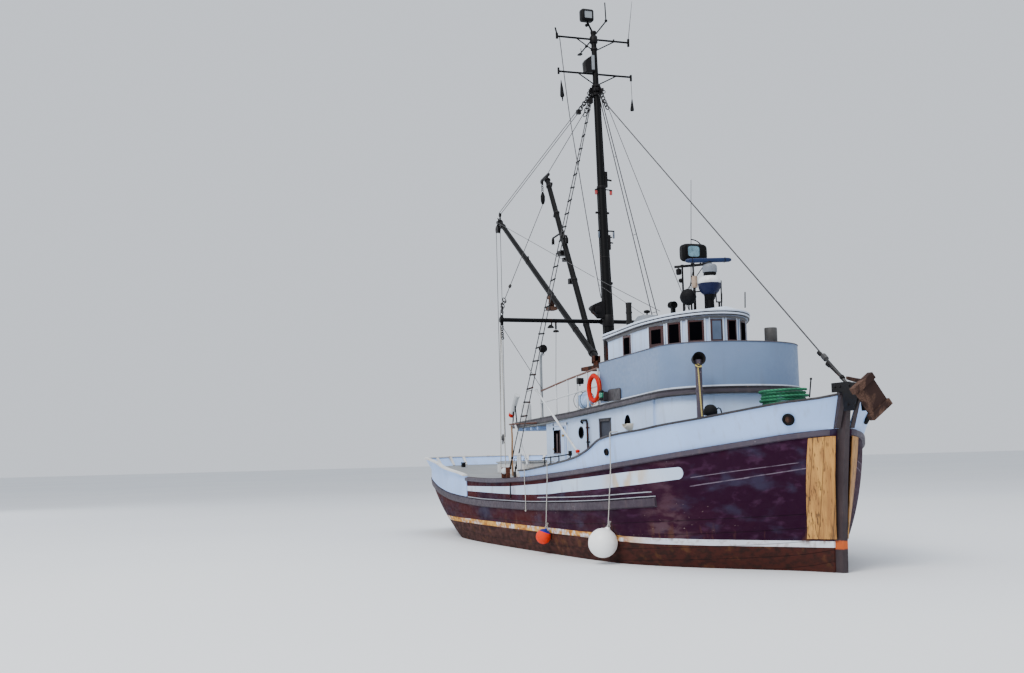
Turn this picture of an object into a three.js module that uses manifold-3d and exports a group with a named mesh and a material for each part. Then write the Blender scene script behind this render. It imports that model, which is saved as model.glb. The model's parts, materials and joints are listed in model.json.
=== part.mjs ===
// Wooden purse seiner, about 17.9 m long, afloat at rest.
// Millimetres. +X forward (bow), +Y port, +Z up. Origin amidships on the waterline.
import * as THREE from "three";
import Module from "manifold-3d";

const wasm = await Module();
wasm.setup();

// Sizes, in millimetres
const GAP = 0.4;
const AIR = 0.5;
const PLANK = 55;
const KEEL_HALF = 100;
const STEM_X = 8600;

// Tables over X: [X, value]
const DECK_EDGE_Z = [
  [-9000, 1850], [-8400, 1790], [-7200, 1690], [-5000, 1600], [-3600, 1570], [-2000, 1545], [240, 1590],
  [2000, 1680], [3300, 1760], [4800, 1880], [6200, 2030], [7300, 2170], [8050, 2280], [8600, 2345],
];
const DECK_EDGE_B = [
  [-9000, 160], [-8970, 500], [-8880, 950], [-8700, 1380], [-8400, 1720], [-7900, 1960], [-7200, 2120],
  [-6200, 2260], [-5000, 2355], [-3600, 2400], [-2000, 2430], [240, 2440], [3000, 2430], [4100, 2370],
  [4800, 2300], [5500, 2130], [6200, 1890], [6800, 1600], [7300, 1300], [7700, 1020], [8050, 750],
  [8300, 530], [8500, 315], [8600, 170],
];
const BOTTOM_Z = [
  [-9000, 1330], [-8970, 1270], [-8880, 1170], [-8700, 1030], [-8400, 830], [-7900, 530], [-7200, 130],
  [-6200, -400], [-5000, -850], [-3600, -1130], [-2000, -1240], [240, -1290], [4100, -1240],
  [6200, -1130], [7300, -1040], [8050, -930], [8600, -780],
];
const FULLNESS = [
  [-9000, 0.6], [-7200, 0.7], [-6200, 0.7], [-5000, 0.62], [-3000, 0.55], [0, 0.52], [3000, 0.55],
  [4500, 0.58], [5500, 0.7], [6600, 1.0], [7200, 1.2], [7800, 1.4], [8600, 1.55],
];
const RAIL_B = [
  [-9150, 160], [-9120, 560], [-9030, 1010], [-8850, 1450], [-8560, 1810], [-8150, 2060], [-7300, 2230],
  [-6200, 2360], [-5000, 2430], [-3600, 2450], [-2000, 2470], [240, 2480], [3000, 2460], [4500, 2390],
  [5500, 2210], [6500, 1910], [7200, 1570], [7800, 1180], [8300, 760], [8600, 400], [8700, 190],
];
// Top of the rail cap: forward, then round the stern on either quarter.
const RAIL_Z = [
  [-3600, 1740], [240, 1750], [1350, 1820], [2380, 1910], [3160, 2000], [3600, 2100], [3820, 2170],
  [4240, 2330], [4940, 2420], [5550, 2470], [6050, 2530], [6910, 2620], [7580, 2720], [8130, 2810],
  [8570, 2870], [8700, 2920],
];
const QUARTER_RAIL_Z = {
  starboard: [
    [-9150, 2120], [-7500, 2060], [-6180, 1955], [-5450, 1835], [-4800, 1760], [-4060, 1690], [-3600, 1630],
  ],
  port: [[-9150, 2120], [-7500, 2080], [-6180, 2000], [-4800, 1890], [-3600, 1740]],
};
const STRAKE_TOP_Z = [
  [-9000, 1710], [-8700, 1660], [-8400, 1610], [-7600, 1480], [-7000, 1390], [-6200, 1270], [-5000, 1150],
  [-3600, 1080], [-2000, 1050], [240, 1055], [2000, 1090], [4100, 1160], [5500, 1240], [8600, 1400],
];
const HULL_STATIONS = [
  -9000, -8970, -8880, -8700, -8400, -7900, -7200, -6200, -5000, -3600, -2000, 240, 2000, 3300, 4100, 4800,
  5500, 6200, 6800, 7300, 7700, 8050, 8300, 8500, 8600,
];
const QUARTER_X = -3600;
const STEM_RAKE = { from: 6200, head: 3000, reach: 340, power: 1.6, below: 0.1 };
const GUARD = { height: 110, depth: 62 };
const STRAKE = { height: 190, depth: 45, front: 5750 };

const BOAT_DECK = { half: 1560, aft: -2570, straight: 4760, nose: 5920, power: 2.3, thick: 130 };
const BOAT_DECK_TOP = [[-2570, 2850], [-800, 2880], [5920, 3220]];
const HOUSE = { half: 1460, aft: -640, straight: 4760, nose: 5790, power: 2.3, wall: 45 };
const DODGER = { half: 1500, aft: 2400, straight: 4900, nose: 5850, power: 2.15, wall: 40 };
const DODGER_TOP = [[2400, 3920], [5850, 4060]];
const PILOTHOUSE = { half: 1080, aft: 1980, straight: 3150, nose: 4930, power: 2.1, wall: 45 };
const ROOF = { half: 1160, aft: 1880, straight: 3150, nose: 5040, power: 2.1, thick: 120 };
const ROOF_TOP = [[1880, 4560], [5040, 4760]];

const MAST = { x: -150, rake: 0.042, foot: 2890, top: 12150, footRadius: 130, topRadius: 62 };
const CROSSTREES = [{ z: 11970, half: 935 }, { z: 11090, half: 940 }];
const SPREADER = { z: 5120, half: 2630, radius: 48 };

// Shaping helpers
function lookup(table, x) {
  if (x <= table[0][0]) return table[0][1];
  for (let i = 1; i < table.length; i += 1) {
    if (x <= table[i][0]) {
      const [x0, v0] = table[i - 1];
      const [x1, v1] = table[i];
      return v0 + ((v1 - v0) * (x - x0)) / (x1 - x0);
    }
  }
  return table[table.length - 1][1];
}

const vec = (x, y, z) => new THREE.Vector3(x, y, z);

function fromTriangles(points, faces) {
  let volume = 0;
  for (const [a, b, c] of faces) {
    volume += points[a].dot(new THREE.Vector3().crossVectors(points[b], points[c]));
  }
  const index = [];
  for (const [a, b, c] of faces) index.push(...(volume < 0 ? [a, c, b] : [a, b, c]));
  const geometry = new THREE.BufferGeometry();
  const numbers = points.flatMap((p) => [p.x, p.y, p.z]);
  geometry.setAttribute("position", new THREE.Float32BufferAttribute(numbers, 3));
  geometry.setIndex(index);
  return geometry;
}

// Closed body through rings of the same number of points.
function loft(rings, capAxes = ["y", "z"]) {
  const count = rings[0].length;
  const points = rings.flat();
  const faces = [];
  for (let i = 0; i + 1 < rings.length; i += 1) {
    for (let j = 0; j < count; j += 1) {
      const a = i * count + j;
      const b = i * count + ((j + 1) % count);
      faces.push([a, b, b + count], [a, b + count, a + count]);
    }
  }
  for (const last of [false, true]) {
    const ring = last ? rings[rings.length - 1] : rings[0];
    const base = last ? (rings.length - 1) * count : 0;
    const flat = ring.map((p) => new THREE.Vector2(p[capAxes[0]], p[capAxes[1]]));
    const clockwise = THREE.ShapeUtils.isClockWise(flat);
    const flip = clockwise !== last;
    const order = flat.map((_, k) => (clockwise ? count - 1 - k : k));
    const triangles = THREE.ShapeUtils.triangulateShape(order.map((k) => flat[k]), []);
    for (const [a, b, c] of triangles) {
      const t = [base + order[a], base + order[b], base + order[c]];
      faces.push(t);
      if (flip) t.reverse();
    }
  }
  return orient(points, faces);
}

// Makes neighbouring faces agree about their turning sense.
function orient(points, faces) {
  const edges = new Map();
  faces.forEach((face, f) => {
    for (let k = 0; k < 3; k += 1) {
      const a = face[k];
      const b = face[(k + 1) % 3];
      const key = a < b ? `${a}_${b}` : `${b}_${a}`;
      if (!edges.has(key)) edges.set(key, []);
      edges.get(key).push(f);
    }
  });
  const done = new Array(faces.length).fill(false);
  const queue = [0];
  done[0] = true;
  const has = (face, a, b) => (face[0] === a && face[1] === b) || (face[1] === a && face[2] === b)
    || (face[2] === a && face[0] === b);
  while (queue.length) {
    const f = queue.pop();
    const face = faces[f];
    for (let k = 0; k < 3; k += 1) {
      const a = face[k];
      const b = face[(k + 1) % 3];
      const key = a < b ? `${a}_${b}` : `${b}_${a}`;
      for (const g of edges.get(key)) {
        if (done[g]) continue;
        if (has(faces[g], a, b)) faces[g].reverse();
        done[g] = true;
        queue.push(g);
      }
    }
  }
  return fromTriangles(points, faces);
}

function box(x0, x1, y0, y1, z0, z1) {
  const geometry = new THREE.BoxGeometry(x1 - x0, y1 - y0, z1 - z0);
  geometry.translate((x0 + x1) / 2, (y0 + y1) / 2, (z0 + z1) / 2);
  return geometry;
}

// Round bar between two points.
function bar(from, to, r0, r1 = r0, sides = 12) {
  const axis = new THREE.Vector3().subVectors(to, from);
  const geometry = new THREE.CylinderGeometry(r1, r0, axis.length(), sides);
  geometry.applyQuaternion(new THREE.Quaternion().setFromUnitVectors(vec(0, 1, 0), axis.clone().normalize()));
  const mid = new THREE.Vector3().addVectors(from, to).multiplyScalar(0.5);
  geometry.translate(mid.x, mid.y, mid.z);
  return geometry;
}

function upright(x, y, z0, z1, radius, sides = 16) {
  return bar(vec(x, y, z0), vec(x, y, z1), radius, radius, sides);
}

// Turned body about the vertical axis; profile is [radius, z] from bottom to top.
function turned(profile, x, y, sides = 20) {
  const geometry = new THREE.LatheGeometry(profile.map(([r, z]) => new THREE.Vector2(r, z)), sides);
  geometry.rotateX(Math.PI / 2);
  geometry.translate(x, y, 0);
  return geometry;
}

// Plate standing in the XZ plane, from y0 to y1.
function plateXZ(outline, y0, y1) {
  const shape = new THREE.Shape(outline.map(([x, z]) => new THREE.Vector2(x, z)));
  const geometry = new THREE.ExtrudeGeometry(shape, { depth: y1 - y0, bevelEnabled: false });
  geometry.rotateX(Math.PI / 2);
  geometry.translate(0, y1, 0);
  return geometry;
}

function toManifold(geometry) {
  const plain = geometry.clone();
  plain.deleteAttribute("normal");
  plain.deleteAttribute("uv");
  const merged = mergeByPosition(plain);
  return new wasm.Manifold(new wasm.Mesh({
    numProp: 3, vertProperties: merged.points, triVerts: merged.index,
  }));
}

function mergeByPosition(geometry) {
  const position = geometry.getAttribute("position");
  const index = geometry.getIndex();
  const seen = new Map();
  const points = [];
  const remap = [];
  for (let i = 0; i < position.count; i += 1) {
    const p = [position.getX(i), position.getY(i), position.getZ(i)];
    const key = p.map((v) => Math.round(v * 1000)).join("_");
    if (!seen.has(key)) {
      seen.set(key, points.length / 3);
      points.push(...p);
    }
    remap.push(seen.get(key));
  }
  const faces = [];
  const total = index ? index.count : position.count;
  for (let i = 0; i < total; i += 3) {
    const t = [0, 1, 2].map((k) => remap[index ? index.getX(i + k) : i + k]);
    if (t[0] !== t[1] && t[1] !== t[2] && t[0] !== t[2]) faces.push(...t);
  }
  return { points: new Float32Array(points), index: new Uint32Array(faces) };
}

function fromManifold(solid) {
  const mesh = solid.getMesh();
  const geometry = new THREE.BufferGeometry();
  geometry.setAttribute("position", new THREE.BufferAttribute(new Float32Array(mesh.vertProperties), 3));
  geometry.setIndex(new THREE.BufferAttribute(new Uint32Array(mesh.triVerts), 1));
  return geometry;
}

function union(...geometries) {
  return fromManifold(geometries.map(toManifold).reduce((a, b) => a.add(b)));
}

function cut(geometry, ...tools) {
  return fromManifold(tools.map(toManifold).reduce((a, b) => a.subtract(b), toManifold(geometry)));
}

// The boat as one group
const group = new THREE.Group();
group.name = "purse_seiner";

const PAINT = {
  hull: { color: 0x3a2436, roughness: 0.55, metalness: 0 },
  white: { color: 0xdfe6f0, roughness: 0.5, metalness: 0 },
  dark: { color: 0x2a262c, roughness: 0.6, metalness: 0 },
  brown: { color: 0x5a3528, roughness: 0.6, metalness: 0 },
  orange: { color: 0xe8552a, roughness: 0.45, metalness: 0 },
};
const METAL = {
  grey: { color: 0x8f97a3, roughness: 0.5, metalness: 0.3 },
  black: { color: 0x17171a, roughness: 0.5, metalness: 0.3 },
  rust: { color: 0x6d4a35, roughness: 0.85, metalness: 0.4 },
  bronze: { color: 0x9a7a3c, roughness: 0.4, metalness: 0.9 },
};

function add(name, geometry, finish) {
  const plain = geometry.index ? geometry.toNonIndexed() : geometry;
  const mesh = new THREE.Mesh(plain, new THREE.MeshStandardMaterial(finish));
  mesh.name = name;
  group.add(mesh);
  return mesh;
}

// Hull, keel, stem and bulwarks
const deckZ = (x) => lookup(DECK_EDGE_Z, x);
const bottomZ = (x) => lookup(BOTTOM_Z, x);

function halfBreadth(x, z) {
  const low = bottomZ(x);
  const high = deckZ(x);
  const edge = lookup(DECK_EDGE_B, x);
  const t = Math.min(1, Math.max(0, (z - low) / (high - low)));
  const turn = x > 4500 ? 4 - 2.6 * ((x - 4500) / 4100) ** 0.8 : 4 - Math.max(0, -x - 5000) / 3700;
  const keel = Math.min(KEEL_HALF, edge * 0.6);
  return keel + (edge - keel) * (1 - (1 - t) ** turn) ** lookup(FULLNESS, x);
}

// The stem leans forward towards its head, so each station near the bow moves aft as it goes down.
function rakeX(x, z) {
  if (x <= STEM_RAKE.from) return x;
  const share = Math.min(1, (x - STEM_RAKE.from) / (STEM_X - STEM_RAKE.from)) ** 2;
  const { head, reach, power, below } = STEM_RAKE;
  const shift = z >= 0 ? -reach * (1 - Math.min(1, z / head) ** power) : -reach + below * z;
  return x + share * shift;
}

// Heights of the planking rows at a station, from the rabbet up to the deck edge.
function rowHeights(x) {
  const low = bottomZ(x);
  const high = deckZ(x);
  const guardLow = high - GUARD.height;
  const strakeTop = Math.min(lookup(STRAKE_TOP_Z, x), guardLow - 20);
  const span = strakeTop - STRAKE.height - low;
  const strakeLow = span > 40 ? strakeTop - STRAKE.height : low + 0.75 * (strakeTop - low);
  const lower = [0, 0.03, 0.1, 0.2, 0.33, 0.5, 0.68, 0.85].map((f) => low + f * (strakeLow - low));
  return [...lower, strakeLow, strakeTop, guardLow, high];
}

const sectionRow = (x) => rowHeights(x).map((z) => [halfBreadth(x, z), z]);

function hullRing(x, grow = 0) {
  const row = sectionRow(x);
  const last = row.length - 1;
  const at = x < -7000 ? x - grow : x + (x > 8500 ? grow : 0);
  const points = row.map(([b, z], i) => [b + grow, z + (i === last ? grow : 0), z]);
  return [
    ...points.map(([b, z, row0]) => vec(rakeX(at, row0), -b, z)),
    ...points.slice().reverse().map(([b, z, row0]) => vec(rakeX(at, row0), b, z)),
  ];
}

const RUDDER = { x: -6950, stock: 45, port: 49, heel: -1940 };
add("hull", cut(
  loft(HULL_STATIONS.map((x) => hullRing(x))),
  upright(RUDDER.x, 0, -400, 400, RUDDER.port, 16),
), PAINT.hull);

// The hull with a little air round it: what is fastened to it is trimmed against this.
const hullRoom = toManifold(loft(HULL_STATIONS.map((x) => hullRing(x, 0.8))));
const offHull = (geometry) => fromManifold(toManifold(geometry).subtract(hullRoom));

// Keel with deadwood and the propeller aperture aft.
const KEEL_AFT = -5900;
const KEEL_DEPTH = [
  [KEEL_AFT, 2050], [-2000, 2000], [4000, 1750], [7300, 1520], [8000, 1380], [8500, 1180], [8600, 1100],
];
const KEEL_HEEL = { x: -7450, z: -2060 };
const keelStations = HULL_STATIONS.filter((x) => x >= -5000);
const keelTop = [KEEL_AFT, ...keelStations].map((x) => [rakeX(x, bottomZ(x)), bottomZ(x) - GAP]);
const keelOutline = [
  ...keelTop,
  ...KEEL_DEPTH.slice().reverse().map(([x, d]) => [rakeX(x, -d), -d]),
  [KEEL_HEEL.x, KEEL_HEEL.z], [KEEL_HEEL.x, RUDDER.heel], [KEEL_AFT, RUDDER.heel],
];
add("keel", offHull(plateXZ(keelOutline, -KEEL_HALF + 5, KEEL_HALF - 5)), PAINT.brown);

// Stem timber in front of the planking, sided full at the rabbet and narrow at its face.
const STEM = { top: 2990, low: -1090, faceHalf: 45, deep: 150, backHalf: 92 };
function stemSolid(grow = 0) {
  const heights = [STEM.low, ...rowHeights(STEM_X), STEM.top + grow];
  return loft(heights.map((z) => {
    const back = rakeX(STEM_X, z) - 60 - grow;
    const face = rakeX(STEM_X, z) + STEM.deep + grow;
    const root = rakeX(STEM_X, z) + 1;
    const wide = STEM.backHalf + grow;
    const narrow = STEM.faceHalf + grow;
    return [
      vec(back, -wide, z), vec(root, -wide, z), vec(face, -narrow, z),
      vec(face, narrow, z), vec(root, wide, z), vec(back, wide, z),
    ];
  }), ["x", "y"]);
}
const keelRooms = [[AIR, 0], [AIR, AIR + 0.3], [AIR, -AIR]].map(([dx, dz]) => toManifold(
  plateXZ(keelOutline, -KEEL_HALF - AIR, KEEL_HALF + AIR).translate(dx, 0, dz),
));
const stemTimber = keelRooms.reduce((solid, room) => solid.subtract(room), toManifold(offHull(stemSolid())));
add("stem", fromManifold(stemTimber), PAINT.dark);

// Station of the rail above a station of the deck edge: the rail overhangs both ends.
function railStation(x) {
  if (x < -8000) return -8000 - (-8000 - x) * 1.15;
  return x > 8050 ? 8050 + ((x - 8050) * 600) / 520 : x;
}

// Section of a bulwark with its cap; side is -1 for starboard and 1 for port. An apron is a skin that
// stands proud of the planking and runs on down to the rub strake.
function railRing(x, side, zLow, zHigh, options = {}) {
  const { cap = 38, lip = 32, apron = 0 } = options;
  const railX = railStation(x);
  const outLow = lookup(DECK_EDGE_B, x) - 6 + apron;
  const outHigh = lookup(RAIL_B, railX) - 6 + apron;
  const at = (f, inward, z) => {
    const b = outLow + (outHigh - outLow) * f - inward;
    const px = rakeX(x, z) + (railX - x) * f;
    return vec(px + shiftX(x) * (inward - apron), side * Math.max(b, 30), z);
  };
  const top = zHigh - cap;
  const skirt = [];
  if (apron > 0) {
    const low = lookup(STRAKE_TOP_Z, x) + 8;
    const out = halfBreadth(x, low) + apron - 6;
    skirt.push(vec(x - shiftX(x) * apron, side * Math.max(out, 30), low));
    skirt.unshift(vec(x + shiftX(x) * 60, side * Math.max(out - 80, 20), low));
  }
  return [
    ...skirt, at(0, 0, zLow), at(1, 0, top), at(1, -lip, top), at(1, -lip, zHigh),
    at(1, PLANK + lip, zHigh), at(1, PLANK + lip, top), at(1, PLANK, top), at(0, PLANK + apron, zLow),
  ];
}

// Where the side turns across the boat its thickness also runs fore and aft.
function shiftX(x) {
  if (x < -7200) return Math.min(1, (-7200 - x) / 1400);
  return 0;
}

function bulwark(side, from, to) {
  const xs = [from, ...HULL_STATIONS.filter((x) => x > from + 1 && x < to - 1), to];
  const extra = RAIL_Z.map(([x]) => x).filter((x) => x > from + 150 && x < to - 150);
  const all = [...new Set([...xs, ...extra])].sort((a, b) => a - b);
  const clean = all.filter((x, i) => i === 0 || x - all[i - 1] > 30 || xs.includes(x));
  return loft(clean.map((x) => railRing(x, side, deckZ(x) - 4, lookup(RAIL_Z, x))));
}

const WAIST_X = 150;
const BOW_END = 8680;
const stemRoom = toManifold(stemSolid(AIR));
const offStem = (geometry) => fromManifold(toManifold(geometry).subtract(stemRoom));
add("bulwark_starboard", offStem(offHull(bulwark(-1, WAIST_X, BOW_END))), PAINT.white);
add("bulwark_port", offStem(offHull(bulwark(1, QUARTER_X, BOW_END))), PAINT.white);

// Stern bulwark: up the starboard quarter, round the fantail and back up the port quarter. Its skin
// runs on down over the planking as far as the rub strake.
const STERN_APRON = 26;
function sternBulwark() {
  const xs = [
    QUARTER_X - 0.6, -4060, -4800, -5450, -6200, -6700, -7200, -7550, -7900, -8150, -8400, -8560, -8700,
    -8800, -8880, -8935, -8970,
  ];
  const options = { apron: STERN_APRON };
  const half = (side, table, list) => list.map((x) => (
    railRing(x, side, deckZ(x) - 4, lookup(table, railStation(x)), options)
  ));
  const rings = [
    ...half(-1, QUARTER_RAIL_Z.starboard, xs),
    ...half(1, QUARTER_RAIL_Z.port, xs.slice().reverse()),
  ];
  return loft(rings, ["y", "z"]);
}
add("bulwark_stern", offHull(sternBulwark()), PAINT.white);

// Guards: bars that follow the planking between two of its rows.
function followBar(xs, rowIndex, depth, side) {
  return xs.map((x) => {
    const row = sectionRow(x);
    const [bLow, zLow] = row[rowIndex];
    const [bHigh, zHigh] = row[rowIndex + 1];
    const inset = -12;
    const dx = x < -7200 ? -Math.min(1, (-7200 - x) / 1300) : 0;
    const point = (b, out, z) => vec(rakeX(x, z) + dx * out, side * (b + out), z);
    return [
      point(bLow, inset, zLow + 2), point(bLow, depth * 0.75, zLow + 6), point(bLow, depth, zLow + 22),
      point(bHigh, depth, zHigh - 22), point(bHigh, depth * 0.75, zHigh - 12), point(bHigh, inset, zHigh - 6),
    ];
  });
}

function stationsBetween(from, to) {
  const inside = HULL_STATIONS.filter((x) => x > from + 1 && x < to - 1);
  return [from, ...inside, to];
}
const GUARD_ROW = 10;
const STRAKE_ROW = 8;
function guard(side) {
  const xs = stationsBetween(QUARTER_X + GAP, 8570);
  return offStem(offHull(loft(followBar(xs, GUARD_ROW, GUARD.depth, side))));
}
add("guard_starboard", guard(-1), PAINT.dark);
add("guard_port", guard(1), PAINT.dark);
function strakeLoop() {
  const xs = stationsBetween(-8970, STRAKE.front);
  const starboard = followBar(xs.slice().reverse(), STRAKE_ROW, STRAKE.depth, -1);
  const port = followBar(xs, STRAKE_ROW, STRAKE.depth, 1);
  return offHull(loft([...starboard, ...port]));
}
add("rub_strake", strakeLoop(), PAINT.dark);

// Plan curves of the houses
// Points from the aft starboard corner forward, round the nose and back to the port corner.
function planCurve({ half, aft, straight, nose, power }, steps = 14, extra = []) {
  const side = [aft, ...extra, straight];
  const points = side.map((x) => [x, -half]);
  for (let i = 1; i < steps * 2; i += 1) {
    const angle = -Math.PI / 2 + (Math.PI * i) / (steps * 2);
    const c = Math.abs(Math.cos(angle)) ** (2 / power);
    const s = Math.sign(Math.sin(angle)) * Math.abs(Math.sin(angle)) ** (2 / power);
    points.push([straight + (nose - straight) * c, half * s]);
  }
  return [...points, ...side.slice().reverse().map((x) => [x, half])];
}

// Offsets a plan curve towards its inside.
function inward(points, distance) {
  return points.map((p, i) => {
    const a = points[Math.max(0, i - 1)];
    const b = points[Math.min(points.length - 1, i + 1)];
    const d = [b[0] - a[0], b[1] - a[1]];
    const n = Math.hypot(...d);
    return [p[0] - (d[1] / n) * distance, p[1] + (d[0] / n) * distance];
  });
}

// Wall that follows a plan curve.
function wallAlong(curve, wall, bottom, top) {
  const inner = inward(curve, wall);
  return loft(curve.map((p, i) => {
    const q = inner[i];
    return [
      vec(p[0], p[1], bottom(p[0])), vec(p[0], p[1], top(p[0])),
      vec(q[0], q[1], top(q[0])), vec(q[0], q[1], bottom(q[0])),
    ];
  }));
}

// Slab over a closed plan curve with its own top and bottom heights.
function slab(curve, bottom, top) {
  const n = curve.length;
  const outline = curve.map(([x, y]) => new THREE.Vector2(x, y));
  const triangles = THREE.ShapeUtils.triangulateShape(outline, []);
  const points = [
    ...curve.map(([x, y]) => vec(x, y, bottom(x))),
    ...curve.map(([x, y]) => vec(x, y, top(x))),
  ];
  const faces = triangles.map(([a, b, c]) => [a, c, b]);
  faces.push(...triangles.map(([a, b, c]) => [a + n, b + n, c + n]));
  for (let i = 0; i < n; i += 1) {
    const j = (i + 1) % n;
    faces.push([i, j, j + n], [i, j + n, i + n]);
  }
  return orient(points, faces);
}

const boatDeckTop = (x) => lookup(BOAT_DECK_TOP, x);
const boatDeckBottom = (x) => boatDeckTop(x) - BOAT_DECK.thick;
const roofTop = (x) => lookup(ROOF_TOP, x);
const roofBottom = (x) => roofTop(x) - ROOF.thick;
const deckCurve = planCurve(BOAT_DECK, 12, [-800]);
const roofCurve = planCurve(ROOF, 12);
const deckRoom = toManifold(slab(deckCurve, (x) => boatDeckBottom(x) - AIR, (x) => boatDeckTop(x) + AIR));
const roofRoom = toManifold(slab(roofCurve, (x) => roofBottom(x) - AIR, (x) => roofTop(x) + AIR));
const offBoatDeck = (geometry) => fromManifold(toManifold(geometry).subtract(deckRoom));
const offRoof = (geometry) => fromManifold(toManifold(geometry).subtract(roofRoom));

// Deckhouse
const HOUSE_JOINT = HOUSE.straight - 60;
const sideBreaks = HULL_STATIONS.filter((x) => x > HOUSE.aft && x < HOUSE_JOINT);
const houseSide = [
  ...[HOUSE.aft, ...sideBreaks, HOUSE_JOINT].map((x) => [x, deckZ(x) + AIR]),
  [HOUSE_JOINT, boatDeckBottom(HOUSE_JOINT) - AIR],
  [HOUSE.aft, boatDeckBottom(HOUSE.aft) - AIR],
];
const DOOR = { x0: -120, x1: 480, z0: 1690, z1: 2640 };
const AFT_DOORWAY = { y0: 100, y1: 800, z0: 1700, z1: 2640 };
const HOUSE_WINDOW = { x0: 2250, x1: 2790, z0: 2360, z1: 2740 };
const PORTHOLES = [{ x: 1310, z: 2510, r: 115 }, { x: 3560, z: 2690, r: 95 }];
function houseSidePlate(side) {
  const y0 = side < 0 ? -HOUSE.half : HOUSE.half - HOUSE.wall;
  const [near, far] = [y0 - 20, y0 + HOUSE.wall + 20];
  const opening = ({ x0, x1, z0, z1 }) => box(x0, x1, near, far, z0, z1);
  const tools = PORTHOLES.map(({ x, z, r }) => bar(vec(x, near, z), vec(x, far, z), r, r, 20));
  tools.push(opening(HOUSE_WINDOW));
  if (side < 0) tools.push(opening(DOOR));
  return cut(plateXZ(houseSide, y0, y0 + HOUSE.wall), ...tools);
}
add("deckhouse_side_starboard", houseSidePlate(-1), PAINT.white);
add("deckhouse_side_port", houseSidePlate(1), PAINT.white);
const houseNose = planCurve({ ...HOUSE, aft: HOUSE_JOINT + GAP }, 10);
add("deckhouse_front", offHull(wallAlong(
  houseNose, HOUSE.wall, (x) => deckZ(x) - 4, (x) => boatDeckBottom(x) - AIR,
)), PAINT.white);
const houseInside = HOUSE.half - HOUSE.wall - GAP;
add("deckhouse_aft", offHull(cut(
  box(
    HOUSE.aft, HOUSE.aft + HOUSE.wall, -houseInside, houseInside,
    deckZ(HOUSE.aft) - 4, boatDeckBottom(HOUSE.aft) - AIR,
  ),
  box(HOUSE.aft - 30, HOUSE.aft + 90, AFT_DOORWAY.y0, AFT_DOORWAY.y1, AFT_DOORWAY.z0, AFT_DOORWAY.z1),
)), PAINT.white);
const LEAF = 33;
const HINGE = 13;
add("deckhouse_door", union(
  box(DOOR.x0 - 30, DOOR.x1 + 14, -HOUSE.half - 6 - LEAF, -HOUSE.half - 6, DOOR.z0 - 10, DOOR.z1 + 30),
  upright(DOOR.x1 + 18, -HOUSE.half - HINGE - 0.5, DOOR.z0 + 60, DOOR.z1 - 60, HINGE, 12),
), PAINT.brown);

// Boat deck, dodger and railings
add("boat_deck", slab(deckCurve, boatDeckBottom, boatDeckTop), PAINT.dark);
const dodgerCurve = planCurve(DODGER, 12);
add("dodger", offBoatDeck(wallAlong(
  dodgerCurve, DODGER.wall, (x) => boatDeckTop(x) - 4, (x) => lookup(DODGER_TOP, x),
)), PAINT.white);

const RAILING = { inset: 60, radius: 19, posts: [-800, 90, 745, 1260, 1790, 2330] };
const RAILING_TOP = [[-800, 650], [745, 731], [2330, 780]];
const RAILING_MID = [[-800, 370], [2330, 405]];
function railing(side) {
  const y = side * (BOAT_DECK.half - RAILING.inset);
  const { posts, radius } = RAILING;
  const height = (table, x) => boatDeckTop(x) + lookup(table, x);
  const parts = posts.map((x) => upright(x, y, boatDeckTop(x) - 4, height(RAILING_TOP, x), radius, 8));
  const overlap = 9;
  for (const table of [RAILING_TOP, RAILING_MID]) {
    for (let i = 0; i + 1 < posts.length; i += 1) {
      const from = vec(posts[i] - overlap, y, height(table, posts[i]));
      const to = vec(posts[i + 1] + overlap, y, height(table, posts[i + 1]));
      parts.push(bar(from, to, radius - 1, radius - 1, 8));
    }
  }
  return offBoatDeck(union(...parts));
}
add("railing_starboard", railing(-1), PAINT.white);
add("railing_port", railing(1), PAINT.white);

// Pilothouse
const pilothouseCurve = planCurve(PILOTHOUSE, 12);
const pilothouseShell = wallAlong(
  pilothouseCurve, PILOTHOUSE.wall, (x) => boatDeckTop(x) - 4, (x) => roofBottom(x) - AIR,
);
const SIDE_WINDOW = { x0: 2735, x1: 3090, low: 4010, high: 4440 };
// Windows round the nose: [aft x, y, forward x, y, sill, head], repeated on both sides.
const NOSE_WINDOWS = [
  [3775, 1020, 4170, 906, 4100, 4515],
  [4260, 867, 4515, 720, 4112, 4545],
  [4630, 630, 4830, 390, 4136, 4560],
  [4883, 280, 4930, 50, 4144, 4565],
];
const windowTools = [
  box(SIDE_WINDOW.x0, SIDE_WINDOW.x1, -1400, 1400, SIDE_WINDOW.low, SIDE_WINDOW.high),
];
for (const side of [-1, 1]) {
  for (const [xa, ya, xb, yb, sill, head] of NOSE_WINDOWS) {
    const width = Math.hypot(xb - xa, yb - ya);
    const pane = box(-width / 2, width / 2, -160, 160, sill, head);
    pane.rotateZ(Math.atan2(side * (yb - ya), xb - xa));
    pane.translate((xa + xb) / 2, (side * (ya + yb)) / 2, 0);
    windowTools.push(pane);
  }
}
add("pilothouse_wall", offBoatDeck(cut(pilothouseShell, ...windowTools)), PAINT.white);
const PH_DOOR = { y0: -380, y1: 300, z0: 3030, z1: 4390 };
const pilothouseInside = PILOTHOUSE.half - PILOTHOUSE.wall - GAP;
add("pilothouse_aft", offBoatDeck(cut(
  box(
    PILOTHOUSE.aft, PILOTHOUSE.aft + PILOTHOUSE.wall, -pilothouseInside, pilothouseInside,
    boatDeckTop(PILOTHOUSE.aft) - 4, roofBottom(PILOTHOUSE.aft) - AIR,
  ),
  box(PILOTHOUSE.aft - 50, PILOTHOUSE.aft + 90, PH_DOOR.y0, PH_DOOR.y1, PH_DOOR.z0 + 60, PH_DOOR.z1),
)), PAINT.white);
const phLeafBack = PILOTHOUSE.aft - 6;
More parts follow.
